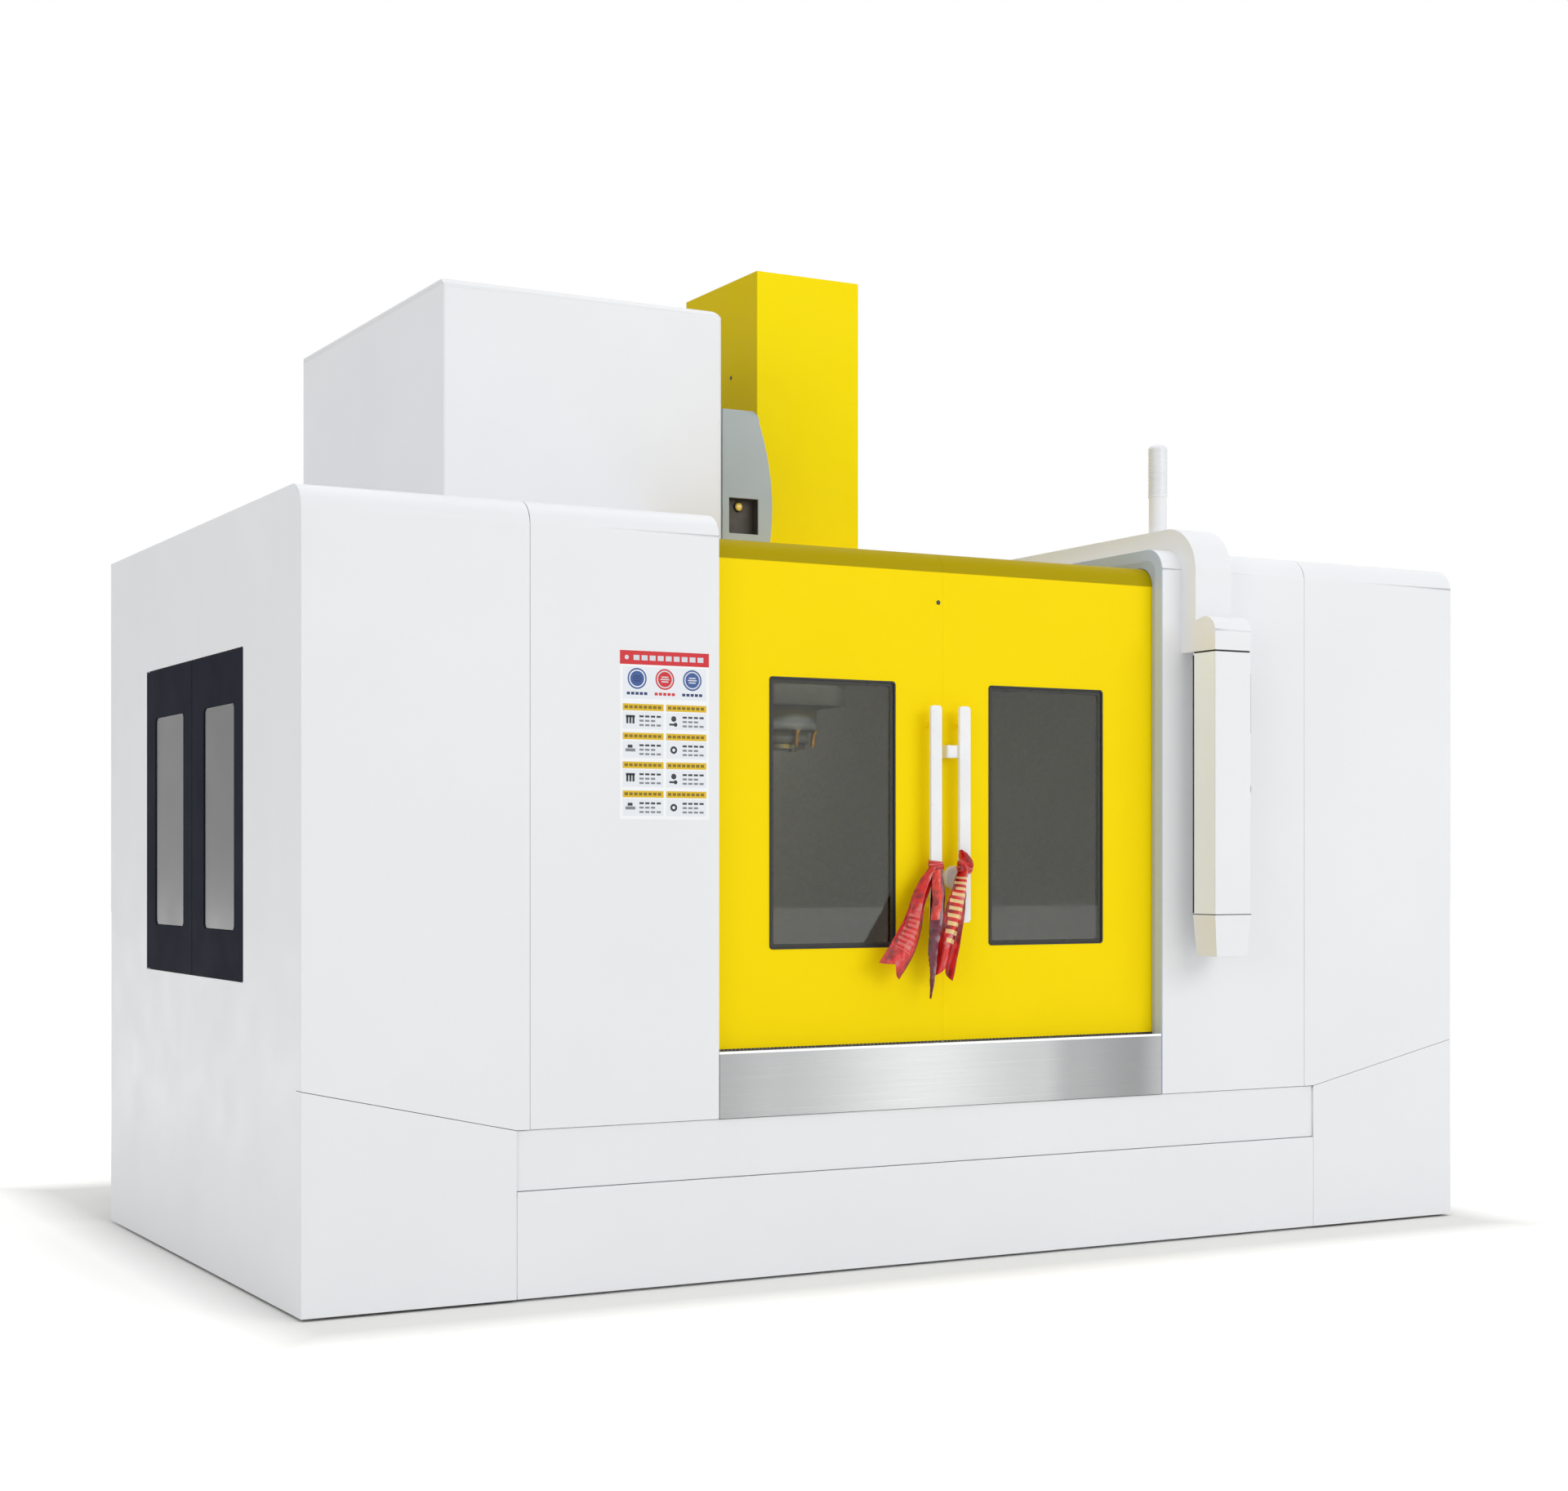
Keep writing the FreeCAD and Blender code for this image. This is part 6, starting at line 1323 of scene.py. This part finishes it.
class MACHINE_OT_operating_chart(bpy.types.Operator):
    """Printed operating chart on the left panel: coloured fields and simple marks, no lettering"""

    bl_idname = "machine.operating_chart"
    bl_label = "Operating chart"

    def execute(self, context):
        self.shape = bmesh.new()
        self.ink = self.shape.loops.layers.float_color.new("ink")
        self.low, self.high = (-1228.0, 1476.0), (-917.0, 2003.0)
        self.field(0.0, 0.0, 1.0, 1.0, "sheet", 0)
        self.header()
        for column in range(2):
            for row in range(4):
                self.cell(column, row)
        finish_shape("operating_chart", self.shape, "machine", "printed")
        return {"FINISHED"}

    def spot(self, a, b):
        """The drawing's x and z of a place given as shares of the chart, from its top left corner."""
        x = self.low[0] + (self.high[0] - self.low[0]) * a
        return x, self.high[1] - (self.high[1] - self.low[1]) * b

    @staticmethod
    def proud(layer):
        """How far in mm a layer of print stands out of the panel, so that each covers the one below."""
        return 0.25 + 0.07 * layer

    def painted(self, corners, ink):
        colour = linear(*CHART_INKS[ink])
        for face in {face for vertex in corners for face in vertex.link_faces}:
            for loop in face.loops:
                loop[self.ink] = colour

    def field(self, a0, b0, a1, b1, ink, layer=1):
        x0, z0 = self.spot(a0, b1)
        x1, z1 = self.spot(a1, b0)
        made = add_block(self.shape, placed(x0, -self.proud(layer), z0), placed(x1, -0.01, z1))
        self.painted(made, ink)

    def disc(self, a, b, radius, ink, layer=1):
        x, z = self.spot(a, b)
        outline = [(radius * MM, 0.0), (radius * MM, self.proud(layer) * MM)]
        made = add_turned(self.shape, outline, placed(x, -0.01, z), (0, -1, 0), 28)
        self.painted(made, ink)

    def header(self):
        self.field(0.0, 0.0, 1.0, 0.082, "red")
        self.disc(0.075, 0.041, 7.0, "pale", 2)
        for index in range(9):
            start = 0.15 + 0.09 * index
            self.field(start, 0.026, start + 0.066, 0.056, "pale", 2)
        self.field(0.03, 0.095, 0.97, 0.285, "card")
        for index, (ring, heart) in enumerate((("blue", "deep"), ("red", "pale"), ("blue", "pale"))):
            a = 0.19 + 0.31 * index
            self.disc(a, 0.165, 33.0, ring, 2)
            self.disc(a, 0.165, 28.0, "pale" if index else "card", 3)
            self.disc(a, 0.165, 24.0, ring, 4)
            for bar in range(3):
                wide = 0.05 - 0.012 * abs(bar - 1)
                b = 0.148 + 0.014 * bar
                self.field(a - wide, b, a + wide, b + 0.007, heart, 5)
            for part in range(5):
                start = a - 0.115 + 0.048 * part
                self.field(start, 0.245, start + 0.036, 0.262, "deep" if index != 1 else "red", 2)

    def cell(self, column, row):
        left = 0.03 + 0.485 * column
        right = left + 0.455
        top = 0.315 + 0.172 * row
        self.field(left, top, right, top + 0.04, "yellow")
        for part in range(8):
            start = left + 0.02 + 0.053 * part
            self.field(start, top + 0.011, start + 0.038, top + 0.028, "brown", 2)
        self.field(left, top + 0.047, right, top + 0.15, "card")
        mark = (row * 2 + column) % 4
        heart = left + 0.085
        level = top + 0.098
        if mark == 0:
            for part in (-1, 0, 1):
                middle = heart + 0.034 * part
                self.field(middle - 0.012, level - 0.022, middle + 0.012, level + 0.02, "dark", 2)
            self.field(heart - 0.05, level - 0.03, heart + 0.05, level - 0.016, "dark", 2)
        elif mark == 1:
            self.disc(heart, level - 0.014, 9.0, "dark", 2)
            self.disc(heart + 0.02, level + 0.02, 6.5, "dark", 2)
            self.field(heart - 0.05, level + 0.014, heart + 0.012, level + 0.026, "dark", 2)
        elif mark == 2:
            self.field(heart - 0.055, level - 0.004, heart + 0.055, level + 0.014, "grey", 2)
            self.field(heart - 0.03, level - 0.026, heart + 0.024, level - 0.008, "dark", 2)
        else:
            self.disc(heart, level, 12.0, "dark", 2)
            self.disc(heart, level, 5.0, "card", 3)
        for line in range(3):
            b = top + 0.068 + 0.026 * line
            for part in range(4 - line % 2):
                start = left + 0.185 + 0.064 * part
                self.field(start, b, start + 0.048, b + 0.012, "grey" if line else "dark", 2)


# ---- pendant -------------------------------------------------------------------------------------


class MACHINE_OT_pendant_fittings(bpy.types.Operator):
    """Seals, screen frame, keys and controls of the hanging control box"""

    bl_idname = "machine.pendant_fittings"
    bl_label = "Pendant fittings"

    def execute(self, context):
        # The box's paint carries a painted blue tint on its left side against bounced light.
        folded_copy("pendant_box", 0.007, "pendant_paint_with_painted_bounce_tint", 3, 0.01)
        self.seals()
        self.screen()
        self.keys()
        for node in ("hand_wheel", "mode_knob", "start_button", "stop_button"):
            rounded_copy(node)
        return {"FINISHED"}

    @staticmethod
    def seals():
        """Black rubber between the head, the box, its back cover and its tail."""
        shape = bmesh.new()
        left, right, front, back = 967.0, BOX_FACE, -187.0, -63.0
        for low, high, radius in (
            ((left + 3.0, front + 3.0, 2077.6), (right - 3.0, back - 3.0, 2083.6), 0.002),
            ((left - 0.3, front, 1157.4), (right + 0.3, back + 0.3, 1160.6), 0.001),
        ):
            add_block(shape, placed(*low), placed(*high), radius, 2)
        for x in (left - 0.6, right - 2.4):
            add_block(shape, placed(x, back - 8.0, 1163.0), placed(x + 3.0, back + 0.5, 2072.0), 0.001, 2)
        finish_shape("pendant_seals", shape, "pendant", "rubber", "black_plastic")

    @staticmethod
    def screen():
        """The frame round the screen, on the face that the operator sees."""
        low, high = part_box("pendant_screen")
        shape = bmesh.new()
        outer = rounded_outline(low.y - 0.012, high.y + 0.012, low.z - 0.014, high.z + 0.014, 0.006)
        inner = rounded_outline(low.y + 0.003, high.y - 0.003, low.z + 0.003, high.z - 0.003, 0.002)
        face, proud = BOX_FACE * MM, high.x + 0.0012
        ring_strip(shape, outer, inner, face, proud, lambda a, b, depth: Vector((depth, a, b)))
        finish_shape("screen_frame", shape, "pendant", "black_plastic", "black_plastic")

    def keys(self):
        """Six rows of keys on a grey field, the lowest row dark, and the marks round the dials."""
        rows, columns, pitch = 6, 5, 17.0
        pale, dark = [], []
        for row in range(rows):
            for column in range(columns):
                y = BOX_MIDDLE + (column - (columns - 1) / 2.0) * pitch
                place = placed(BOX_FACE + 0.9, y, 1768.0 - row * pitch)
                (dark if row == rows - 1 else pale).append((place, (1, 0, 0)))
        sizes = {"Side": 0.0125, "Rise": 0.0022}
        tree = key_tree()
        scattered("panel_keys", tree, pale, sizes, "pendant", "white_plastic", "white_plastic")
        scattered("panel_keys_dark", tree, dark, sizes, "pendant", "black_plastic", "black_plastic")
        shape = bmesh.new()
        low = placed(BOX_FACE - 0.5, BOX_MIDDLE - 50.0, 1672.0)
        high = placed(BOX_FACE + 0.6, BOX_MIDDLE + 50.0, 1782.0)
        add_block(shape, low, high, 0.0004, 1)
        finish_shape("key_field", shape, "pendant", "gray_paint", "gray_paint")
        marks = self.dial(54.0, 1600.0, [15.0 * index for index in range(24)])
        marks += self.dial(27.0, 1480.0, [30.0 * index - 30.0 for index in range(9)])
        sizes = {"Side": 0.0022, "Rise": 0.0008}
        scattered("dial_marks", tree, marks, sizes, "pendant", "black_plastic", "black_plastic")

    @staticmethod
    def dial(radius, height, turns):
        """Places of the marks round a dial, at turns in degrees."""
        marks = []
        for turn in turns:
            angle = math.radians(turn)
            y, z = BOX_MIDDLE + radius * math.cos(angle), height + radius * math.sin(angle)
            marks.append((placed(BOX_FACE + 0.3, y, z), (1, 0, 0)))
        return marks


# ---- strips, gauge, tank and way covers ----------------------------------------------------------


def quarter(centre, radius, steps=8):
    """Points round a quarter turn, from the front of a centre to above it."""
    angles = [math.pi / 2.0 * index / steps for index in range(1, steps + 1)]
    return [(centre[0] - radius * math.cos(angle), centre[1] + radius * math.sin(angle)) for angle in angles]


class MACHINE_OT_closing_strips(bpy.types.Operator):
    """Rubber strips that close the gaps beside the doors' roof and beside the column"""

    bl_idname = "machine.closing_strips"
    bl_label = "Closing strips"

    def execute(self, context):
        bend_high, bend_low = quarter((85.0, 2370.0), 47.0), quarter(DOOR_FOLD, 73.0)
        outer = [(38.0, 562.0), (38.0, 2370.0), *bend_high, (438.0, 2417.0)]
        inner = [(57.0, 562.0), (57.0, 2320.0), *bend_low, (438.0, 2393.0)]
        for side, word in ((-1, "left"), (1, "right")):
            shape = bmesh.new()
            self.band(shape, outer, inner, 880.4 * side, 882.6 * side)
            finish_shape(f"door_edge_wiper_{word}", shape, "machine", "wiper_rubber", "black_plastic")
        shape = bmesh.new()
        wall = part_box("inner_guards")[1].y
        for x0, x1 in ((-538.0, -450.6), (450.6, 486.0)):
            low, high = placed(x0, 0.0, 624.0), placed(x1, 0.0, 2412.0)
            low.y, high.y = wall - 0.0065, wall - 0.0032
            add_block(shape, low, high, 0.0008, 1)
        finish_shape("column_wipers", shape, "machine", "rubber", "black_plastic")
        shape = bmesh.new()
        self.band(shape, self.fold_line(60.4, 69.6), self.fold_line(64.4, 65.6), -1.4, 1.3)
        finish_shape("door_meeting_strip", shape, "door_left", "door_paint", "yellow_paint")
        return {"FINISHED"}

    @staticmethod
    def fold_line(face, radius):
        """Points up the doors' face, round the fold and back along their roof."""
        fold = DOOR_FOLD[1]
        return [(face, 742.0), (face, fold), *quarter(DOOR_FOLD, radius), (437.0, fold + radius)]

    @staticmethod
    def band(shape, outer, inner, x0, x1):
        """A flat strip between two lines of the same number of points, from x0 to x1."""
        lines = [(x, line) for x in (x0, x1) for line in (outer, inner)]
        outer_a, inner_a, outer_b, inner_b = (
            [shape.verts.new(placed(x, *point)) for point in line] for x, line in lines
        )
        for i in range(len(outer) - 1):
            shape.faces.new((outer_a[i], outer_a[i + 1], inner_a[i + 1], inner_a[i]))
            shape.faces.new((outer_b[i], inner_b[i], inner_b[i + 1], outer_b[i + 1]))
            shape.faces.new((outer_a[i], outer_b[i], outer_b[i + 1], outer_a[i + 1]))
            shape.faces.new((inner_a[i], inner_a[i + 1], inner_b[i + 1], inner_b[i]))
        for i in (0, -1):
            shape.faces.new((outer_a[i], inner_a[i], inner_b[i], outer_b[i]))


class MACHINE_OT_oil_gauge(bpy.types.Operator):
    """Dark lining and the round gauge in the recess of the changer case"""

    bl_idname = "machine.oil_gauge"
    bl_label = "Oil gauge"

    def execute(self, context):
        low, high = placed(-478.0, 700.0, 2500.0), placed(-362.0, 745.0, 2625.0)
        shape = bmesh.new()
        outer, inner = inset_outline(low, high, 0.0003, 0.002, 2), inset_outline(low, high, 0.0015, 0.002, 2)
        ring_strip(shape, outer, inner, low.y + 0.004, high.y - 0.0004)
        back_low = Vector((low.x + 0.001, high.y - 0.0016, low.z + 0.001))
        add_block(shape, back_low, Vector((high.x - 0.001, high.y - 0.0003, high.z - 0.001)))
        finish_shape("gauge_recess", shape, "machine", "recess_lining", "black_plastic")
        centre = placed(-420.0, 745.0, 2600.0)
        shape = bmesh.new()
        outline = [(0.0185, 0.001), (0.0185, 0.006), (0.0165, 0.0085), (0.0145, 0.0085), (0.0145, 0.001)]
        add_turned(shape, outline, centre, (0, -1, 0), 40)
        finish_shape("gauge_bezel", shape, "machine", "black_plastic", "black_plastic")
        shape = bmesh.new()
        outline = [(0.0143, 0.001), (0.0143, 0.0085), (0.0125, 0.0102), (0.008, 0.0116), (0.0, 0.0122)]
        add_turned(shape, outline, centre, (0, -1, 0), 40)
        finish_shape("gauge_lens", shape, "machine", "oil_glass", "oil_glass", "sight_glass", 60.0)
        return {"FINISHED"}


class MACHINE_OT_coolant_tank(bpy.types.Operator):
    """Coolant tank with its lid, feet and two upright pumps"""

    bl_idname = "machine.coolant_tank"
    bl_label = "Coolant tank"

    def execute(self, context):
        low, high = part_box("coolant_tank")
        floor, top = 0.060, 0.430
        shape = bmesh.new()
        add_block(shape, Vector((low.x, low.y, floor)), Vector((high.x, high.y, top)), 0.010, 4)
        lid_low = Vector((low.x + 0.02, low.y + 0.02, top - 0.001))
        add_block(shape, lid_low, Vector((high.x - 0.02, high.y - 0.02, top + 0.008)), 0.003, 2)
        for x in (low.x + 0.06, high.x - 0.14):
            for y in (low.y + 0.04, high.y - 0.12):
                add_block(shape, Vector((x, y, low.z)), Vector((x + 0.08, y + 0.08, floor + 0.001)), 0.004, 2)
        for x in (low.x + 0.16, high.x - 0.22):
            self.grip(shape, Vector((x, low.y + 0.12, top + 0.007)))
        shell = finish_shape("coolant_tank_shell", shape, "machine", "white_paint", None, "coolant_tank")
        even_shading(shell)
        motors, caps = bmesh.new(), bmesh.new()
        for x in (low.x + 0.26, low.x + 0.56):
            foot = Vector((x, high.y - 0.2, top + 0.007))
            self.pump(motors, caps, foot, high.z - foot.z)
        finish_shape("coolant_pumps", motors, "machine", "motor_black", "motor_black", "coolant_tank")
        finish_shape("coolant_pump_covers", caps, "machine", "black_plastic", "black_plastic")
        return {"FINISHED"}

    @staticmethod
    def grip(shape, foot):
        """A bent bar handle that stands on the lid."""
        for offset in (0.0, 0.1):
            low = foot + Vector((offset, 0.0, 0.0))
            add_block(shape, low, low + Vector((0.008, 0.008, 0.032)), 0.002, 2)
        add_block(shape, foot + Vector((0.0, 0.0, 0.026)), foot + Vector((0.108, 0.008, 0.034)), 0.003, 3)

    @staticmethod
    def pump(motors, caps, foot, tall):
        """A pump on its flange: a finned motor with a connection box, and a cap."""
        outline = [(0.100, 0.0), (0.100, 0.014), (0.060, 0.018), (0.060, 0.034), (0.078, 0.038)]
        fins = 11
        pitch = (tall - 0.115) / fins
        for index in range(fins):
            base = 0.040 + pitch * index
            outline += [(0.080, base), (0.080, base + pitch * 0.45)]
            outline += [(0.072, base + pitch * 0.5), (0.072, base + pitch * 0.95)]
        outline += [(0.078, tall - 0.074), (0.078, tall - 0.062), (0.0, tall - 0.060)]
        add_turned(motors, outline, foot, (0, 0, 1), 40)
        box_low = foot + Vector((-0.032, 0.060, tall * 0.45))
        add_block(motors, box_low, box_low + Vector((0.064, 0.042, 0.062)), 0.005, 3)
        outline = [(0.080, tall - 0.066), (0.083, tall - 0.062), (0.083, tall - 0.018)]
        outline += [(0.074, tall - 0.004), (0.060, tall), (0.0, tall)]
        add_turned(caps, outline, foot, (0, 0, 1), 40)


class MACHINE_OT_way_covers(bpy.types.Operator):
    """Telescopic steel covers over the saddle's ways, a piece to a plate, each with its rubber wiper"""

    bl_idname = "machine.way_covers"
    bl_label = "Way covers"

    PLATES = 5
    GAUGE = 4.0
    LAP = 14.0
    FALL = 34.0
    SKIRT_LOW = 576.0

    def execute(self, context):
        for word in ("front", "rear"):
            cover = f"way_cover_{word}"
            low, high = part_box(cover)
            saddle_end, fixed_end = (high.y, low.y) if word == "front" else (low.y, high.y)
            saddle_end, fixed_end = (saddle_end - FRONT) / MM, (fixed_end - FRONT) / MM
            step = (fixed_end - saddle_end) / self.PLATES
            for index in range(self.PLATES):
                inset = index * self.GAUGE
                half, ridge = high.x / MM - inset, high.z / MM - inset
                lap = math.copysign(self.LAP, step) if index else 0.0
                near, far = saddle_end + step * index - lap, saddle_end + step * (index + 1)
                shape = bmesh.new()
                self.roof(shape, half, ridge, self.GAUGE, near, far)
                if index == self.PLATES - 1:
                    wall = math.copysign(5.0, step)
                    self.end_wall(shape, half - 0.5, ridge - 1.0, low.z / MM, far - wall, far)
                plate = finish_shape(f"{cover}_{index + 1}", shape, None, "stainless", None, cover)
                wipe = bmesh.new()
                edge, under = far - math.copysign(6.0, step), self.GAUGE - 0.4
                self.roof(wipe, half - under, ridge - under, 2.6, edge, far + (far - edge) * 0.1)
                lip = finish_shape(f"way_wiper_{word}_{index + 1}", wipe, None, "rubber", "black_plastic")
                self.share_travel((plate, lip), saddle_end, fixed_end, index)
        return {"FINISHED"}

    def share_travel(self, pieces, saddle_end, fixed_end, index):
        """Bakes each piece's place into its mesh; the plates stay where they are built."""
        for piece in pieces:
            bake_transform(piece)

    def roof(self, shape, half, ridge, gauge, y0, y1):
        """A bent plate with a low ridge and a skirt at each side."""
        eaves, low = ridge - self.FALL, self.SKIRT_LOW
        outline = [(-half, eaves), (0.0, ridge), (half, eaves), (half, low), (half - gauge, low)]
        outline += [(half - gauge, eaves - gauge), (0.0, ridge - gauge)]
        outline += [(-half + gauge, eaves - gauge), (-half + gauge, low), (-half, low)]
        self.plate(shape, outline, y0, y1, ((0, 1, 6, 7), (1, 2, 5, 6), (2, 3, 4, 5), (7, 8, 9, 0)))

    def end_wall(self, shape, half, ridge, low, y0, y1):
        """The plate that closes the cover at its fixed end."""
        eaves = ridge - self.FALL
        outline = [(-half, eaves), (0.0, ridge), (half, eaves), (half, low), (-half, low)]
        self.plate(shape, outline, y0, y1, (range(5),))

    @staticmethod
    def plate(shape, outline, y0, y1, ends):
        """An outline of (x, z) drawn out from y0 to y1; ends are the corners of its end faces."""
        rings = [[shape.verts.new(placed(x, y, z)) for x, z in outline] for y in (y0, y1)]
        for i in range(len(outline)):
            j = (i + 1) % len(outline)
            shape.faces.new((rings[0][i], rings[0][j], rings[1][j], rings[1][i]))
        for ring in rings:
            for corners in ends:
                shape.faces.new([ring[i] for i in corners])


# ---- screws, louvres and latch -------------------------------------------------------------------


class MACHINE_OT_small_fittings(bpy.types.Operator):
    """Panel screws, cabinet louvres and the cabinet's latch"""

    bl_idname = "machine.small_fittings"
    bl_label = "Small fittings"

    def execute(self, context):
        settings = context.scene.machine_fitting
        self.screws(settings.screw_radius)
        self.louvres(settings.louvre_rows)
        self.latch()
        return {"FINISHED"}

    @staticmethod
    def screws(radius):
        """Button-head screws where the photo shows them, and down the rear wall."""
        tree = screw_tree()
        sizes = {"Radius": radius, "Length": 0.0022}
        stop = [(placed(-16.4, DOOR_FACE, 2218.4), (0, -1, 0))]
        scattered("door_stop_screw", tree, stop, sizes, "door_left", "dark_screw")
        cover = [(placed(216.0 * way, 1187.5, z), (way, 0, 0)) for z in (3153.8, 2250.0) for way in (-1, 1)]
        scattered("head_cover_screws", tree, cover, sizes, "head", "dark_screw")
        arm = [(placed(967.0, 329.8, 2441.4), (-1, 0, 0))]
        scattered("arm_screws", tree, arm, sizes, "machine", "dark_screw")
        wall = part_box("inner_guards")[1].y
        rear = []
        for x in (-2200.0, -1650.0, -1000.0, -560.0, 520.0, 1000.0, 1650.0, 2200.0):
            for z in (760.0, 1300.0, 1850.0, 2360.0):
                rear.append((Vector((x * MM, wall, z * MM)), (0, 1, 0)))
        scattered("rear_wall_screws", tree, rear, sizes, "machine", "zinc")

    @staticmethod
    def louvres(rows):
        """Two columns of louvres in each side of the cabinet."""
        low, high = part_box("control_cabinet")
        middle, first, pitch = (low.y + high.y) / 2.0, low.z + 0.42, 0.032
        places = []
        for row in range(rows):
            for offset in (-0.13, 0.13):
                for side, x in ((-1, low.x), (1, high.x)):
                    places.append((Vector((x, middle + offset, first + row * pitch)), (side, 0, 0)))
        mesh = points_mesh(places)
        for index, (_, (side, _, _)) in enumerate(places):
            turn = Matrix(((0.0, 0.0, side), (side, 0.0, 0.0), (0.0, 1.0, 0.0)))
            mesh.attributes["turn"].data[index].vector = turn.to_euler()
        sizes = {"Length": 0.2, "Rise": 0.011, "Finish": FINISHES["white_paint"]}
        made = grown("cabinet_louvres", louvre_tree(), mesh, sizes)
        finish_mesh("cabinet_louvres", made, "machine", "white_paint", "white_paint")

    @staticmethod
    def latch():
        """A flush swing latch in the cabinet door's free edge."""
        low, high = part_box("cabinet_door")
        shape = bmesh.new()
        centre = Vector((low.x + 0.055, high.y, 1.25))
        for half, near, far, below, above, radius in (
            (0.016, -0.0005, 0.004, 0.07, 0.07, 0.0025),
            (0.011, 0.003, 0.009, 0.052, 0.036, 0.003),
        ):
            low, high = Vector((-half, near, -below)), Vector((half, far, above))
            add_block(shape, centre + low, centre + high, radius, 3)
        outline = [(0.0075, 0.0), (0.0075, 0.0055), (0.0065, 0.0065), (0.0, 0.0065)]
        add_turned(shape, outline, centre + Vector((0.0, 0.0035, 0.052)), (0, 1, 0), 24)
        even_shading(finish_shape("cabinet_latch", shape, "cabinet_door", "black_plastic", "black_plastic"))


# ---- spindle, ball screws, changer and drives ----------------------------------------------------

SMOOTH = (
    "levelling_feet", "leaf_hinge_pins", "x_screw", "y_screw", "z_screw",
    "spindle", "change_pot", "main_switch", "axis_motors", "x_motor",
)
SMOOTH_ONCE = ("changer_turret", "changer_arm", "tool_disc", "head")


class MACHINE_OT_machine_parts(bpy.types.Operator):
    """Spindle, nozzles, ball screws, motors and the tool changer's turned parts"""

    bl_idname = "machine.machine_parts"
    bl_label = "Machine parts"

    def execute(self, context):
        for node in SMOOTH:
            rounded_copy(node)
        for node in SMOOTH_ONCE:
            rounded_copy(node, 1)
        self.threads()
        self.nozzles()
        return {"FINISHED"}

    @staticmethod
    def threads():
        """A thread along the middle of each ball screw, stopping short of its ends."""
        tree, inset, steel = thread_tree(), 0.09, "machined_steel"
        sizes = {"Radius": 0.0241, "Lead": 0.016, "Land": 0.0012}
        for axis, node in enumerate(("x_screw", "y_screw", "z_screw")):
            low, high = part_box(node)
            start = (low + high) / 2.0
            start[axis] = low[axis] + inset
            direction = [float(i == axis) for i in range(3)]
            sizes["Length"] = high[axis] - low[axis] - 2.0 * inset
            scattered(f"{node}_thread", tree, [(start, direction)], sizes, NODE_BODY[node], steel, steel)

    @staticmethod
    def nozzles():
        """Six coolant nozzles round the spindle, their tips drawn in a little."""
        around, taper = 128.0, 0.94
        places = []
        for index in range(6):
            angle = math.radians(30.0 + 60.0 * index)
            x, y = around * math.cos(angle), around * math.sin(angle)
            top, tip = placed(x, SPINDLE_Y + y, 1839.0), placed(taper * x, SPINDLE_Y + taper * y, 1778.0)
            places.append((top, tuple(tip - top)))
        sizes = {"Radius": 0.0096, "Length": 0.0615}
        scattered("coolant_nozzles", nozzle_tree(), places, sizes, "head", "brass", "machined_steel")


# ---- registration and the run -------------------------------------------------------------------

OPERATORS = (
    MACHINE_OT_stage,
    MACHINE_OT_finishes,
    MACHINE_OT_folded_covers,
    MACHINE_OT_door_fittings,
    MACHINE_OT_magazine_box,
    MACHINE_OT_signal_light,
    MACHINE_OT_ribbons,
    MACHINE_OT_operating_chart,
    MACHINE_OT_pendant_fittings,
    MACHINE_OT_closing_strips,
    MACHINE_OT_way_covers,
    MACHINE_OT_oil_gauge,
    MACHINE_OT_coolant_tank,
    MACHINE_OT_small_fittings,
    MACHINE_OT_machine_parts,
)
SETTINGS = {
    "machine_paint": MachinePaintSettings,
    "machine_glass": MachineGlassSettings,
    "machine_ribbon": MachineRibbonSettings,
    "machine_fitting": MachineFittingSettings,
    "machine_stage": MachineStageSettings,
}


class MACHINE_PT_dressing(bpy.types.Panel):
    """The settings and the pieces of the machine, in the 3D view's sidebar"""

    bl_label = "Machining Center"
    bl_idname = "MACHINE_PT_dressing"
    bl_space_type = "VIEW_3D"
    bl_region_type = "UI"
    bl_category = "Machining Center"

    def draw(self, context):
        for name, group in SETTINGS.items():
            box = self.layout.box()
            for setting in group.__annotations__:
                box.prop(getattr(context.scene, name), setting)
        for operator in OPERATORS:
            self.layout.operator(operator.bl_idname)


def register():
    for group in SETTINGS.values():
        bpy.utils.register_class(group)
    for name, group in SETTINGS.items():
        setattr(bpy.types.Scene, name, PointerProperty(type=group))
    for operator in OPERATORS:
        bpy.utils.register_class(operator)
    bpy.utils.register_class(MACHINE_PT_dressing)


def unregister():
    bpy.utils.unregister_class(MACHINE_PT_dressing)
    for operator in reversed(OPERATORS):
        bpy.utils.unregister_class(operator)
    for name, group in SETTINGS.items():
        delattr(bpy.types.Scene, name)
        bpy.utils.unregister_class(group)


def main():
    register()
    for operator in OPERATORS:
        group, name = operator.bl_idname.split(".")
        if getattr(getattr(bpy.ops, group), name)() != {"FINISHED"}:
            raise RuntimeError(f"{operator.bl_label} didn't finish")


if __name__ == "__main__":
    main()
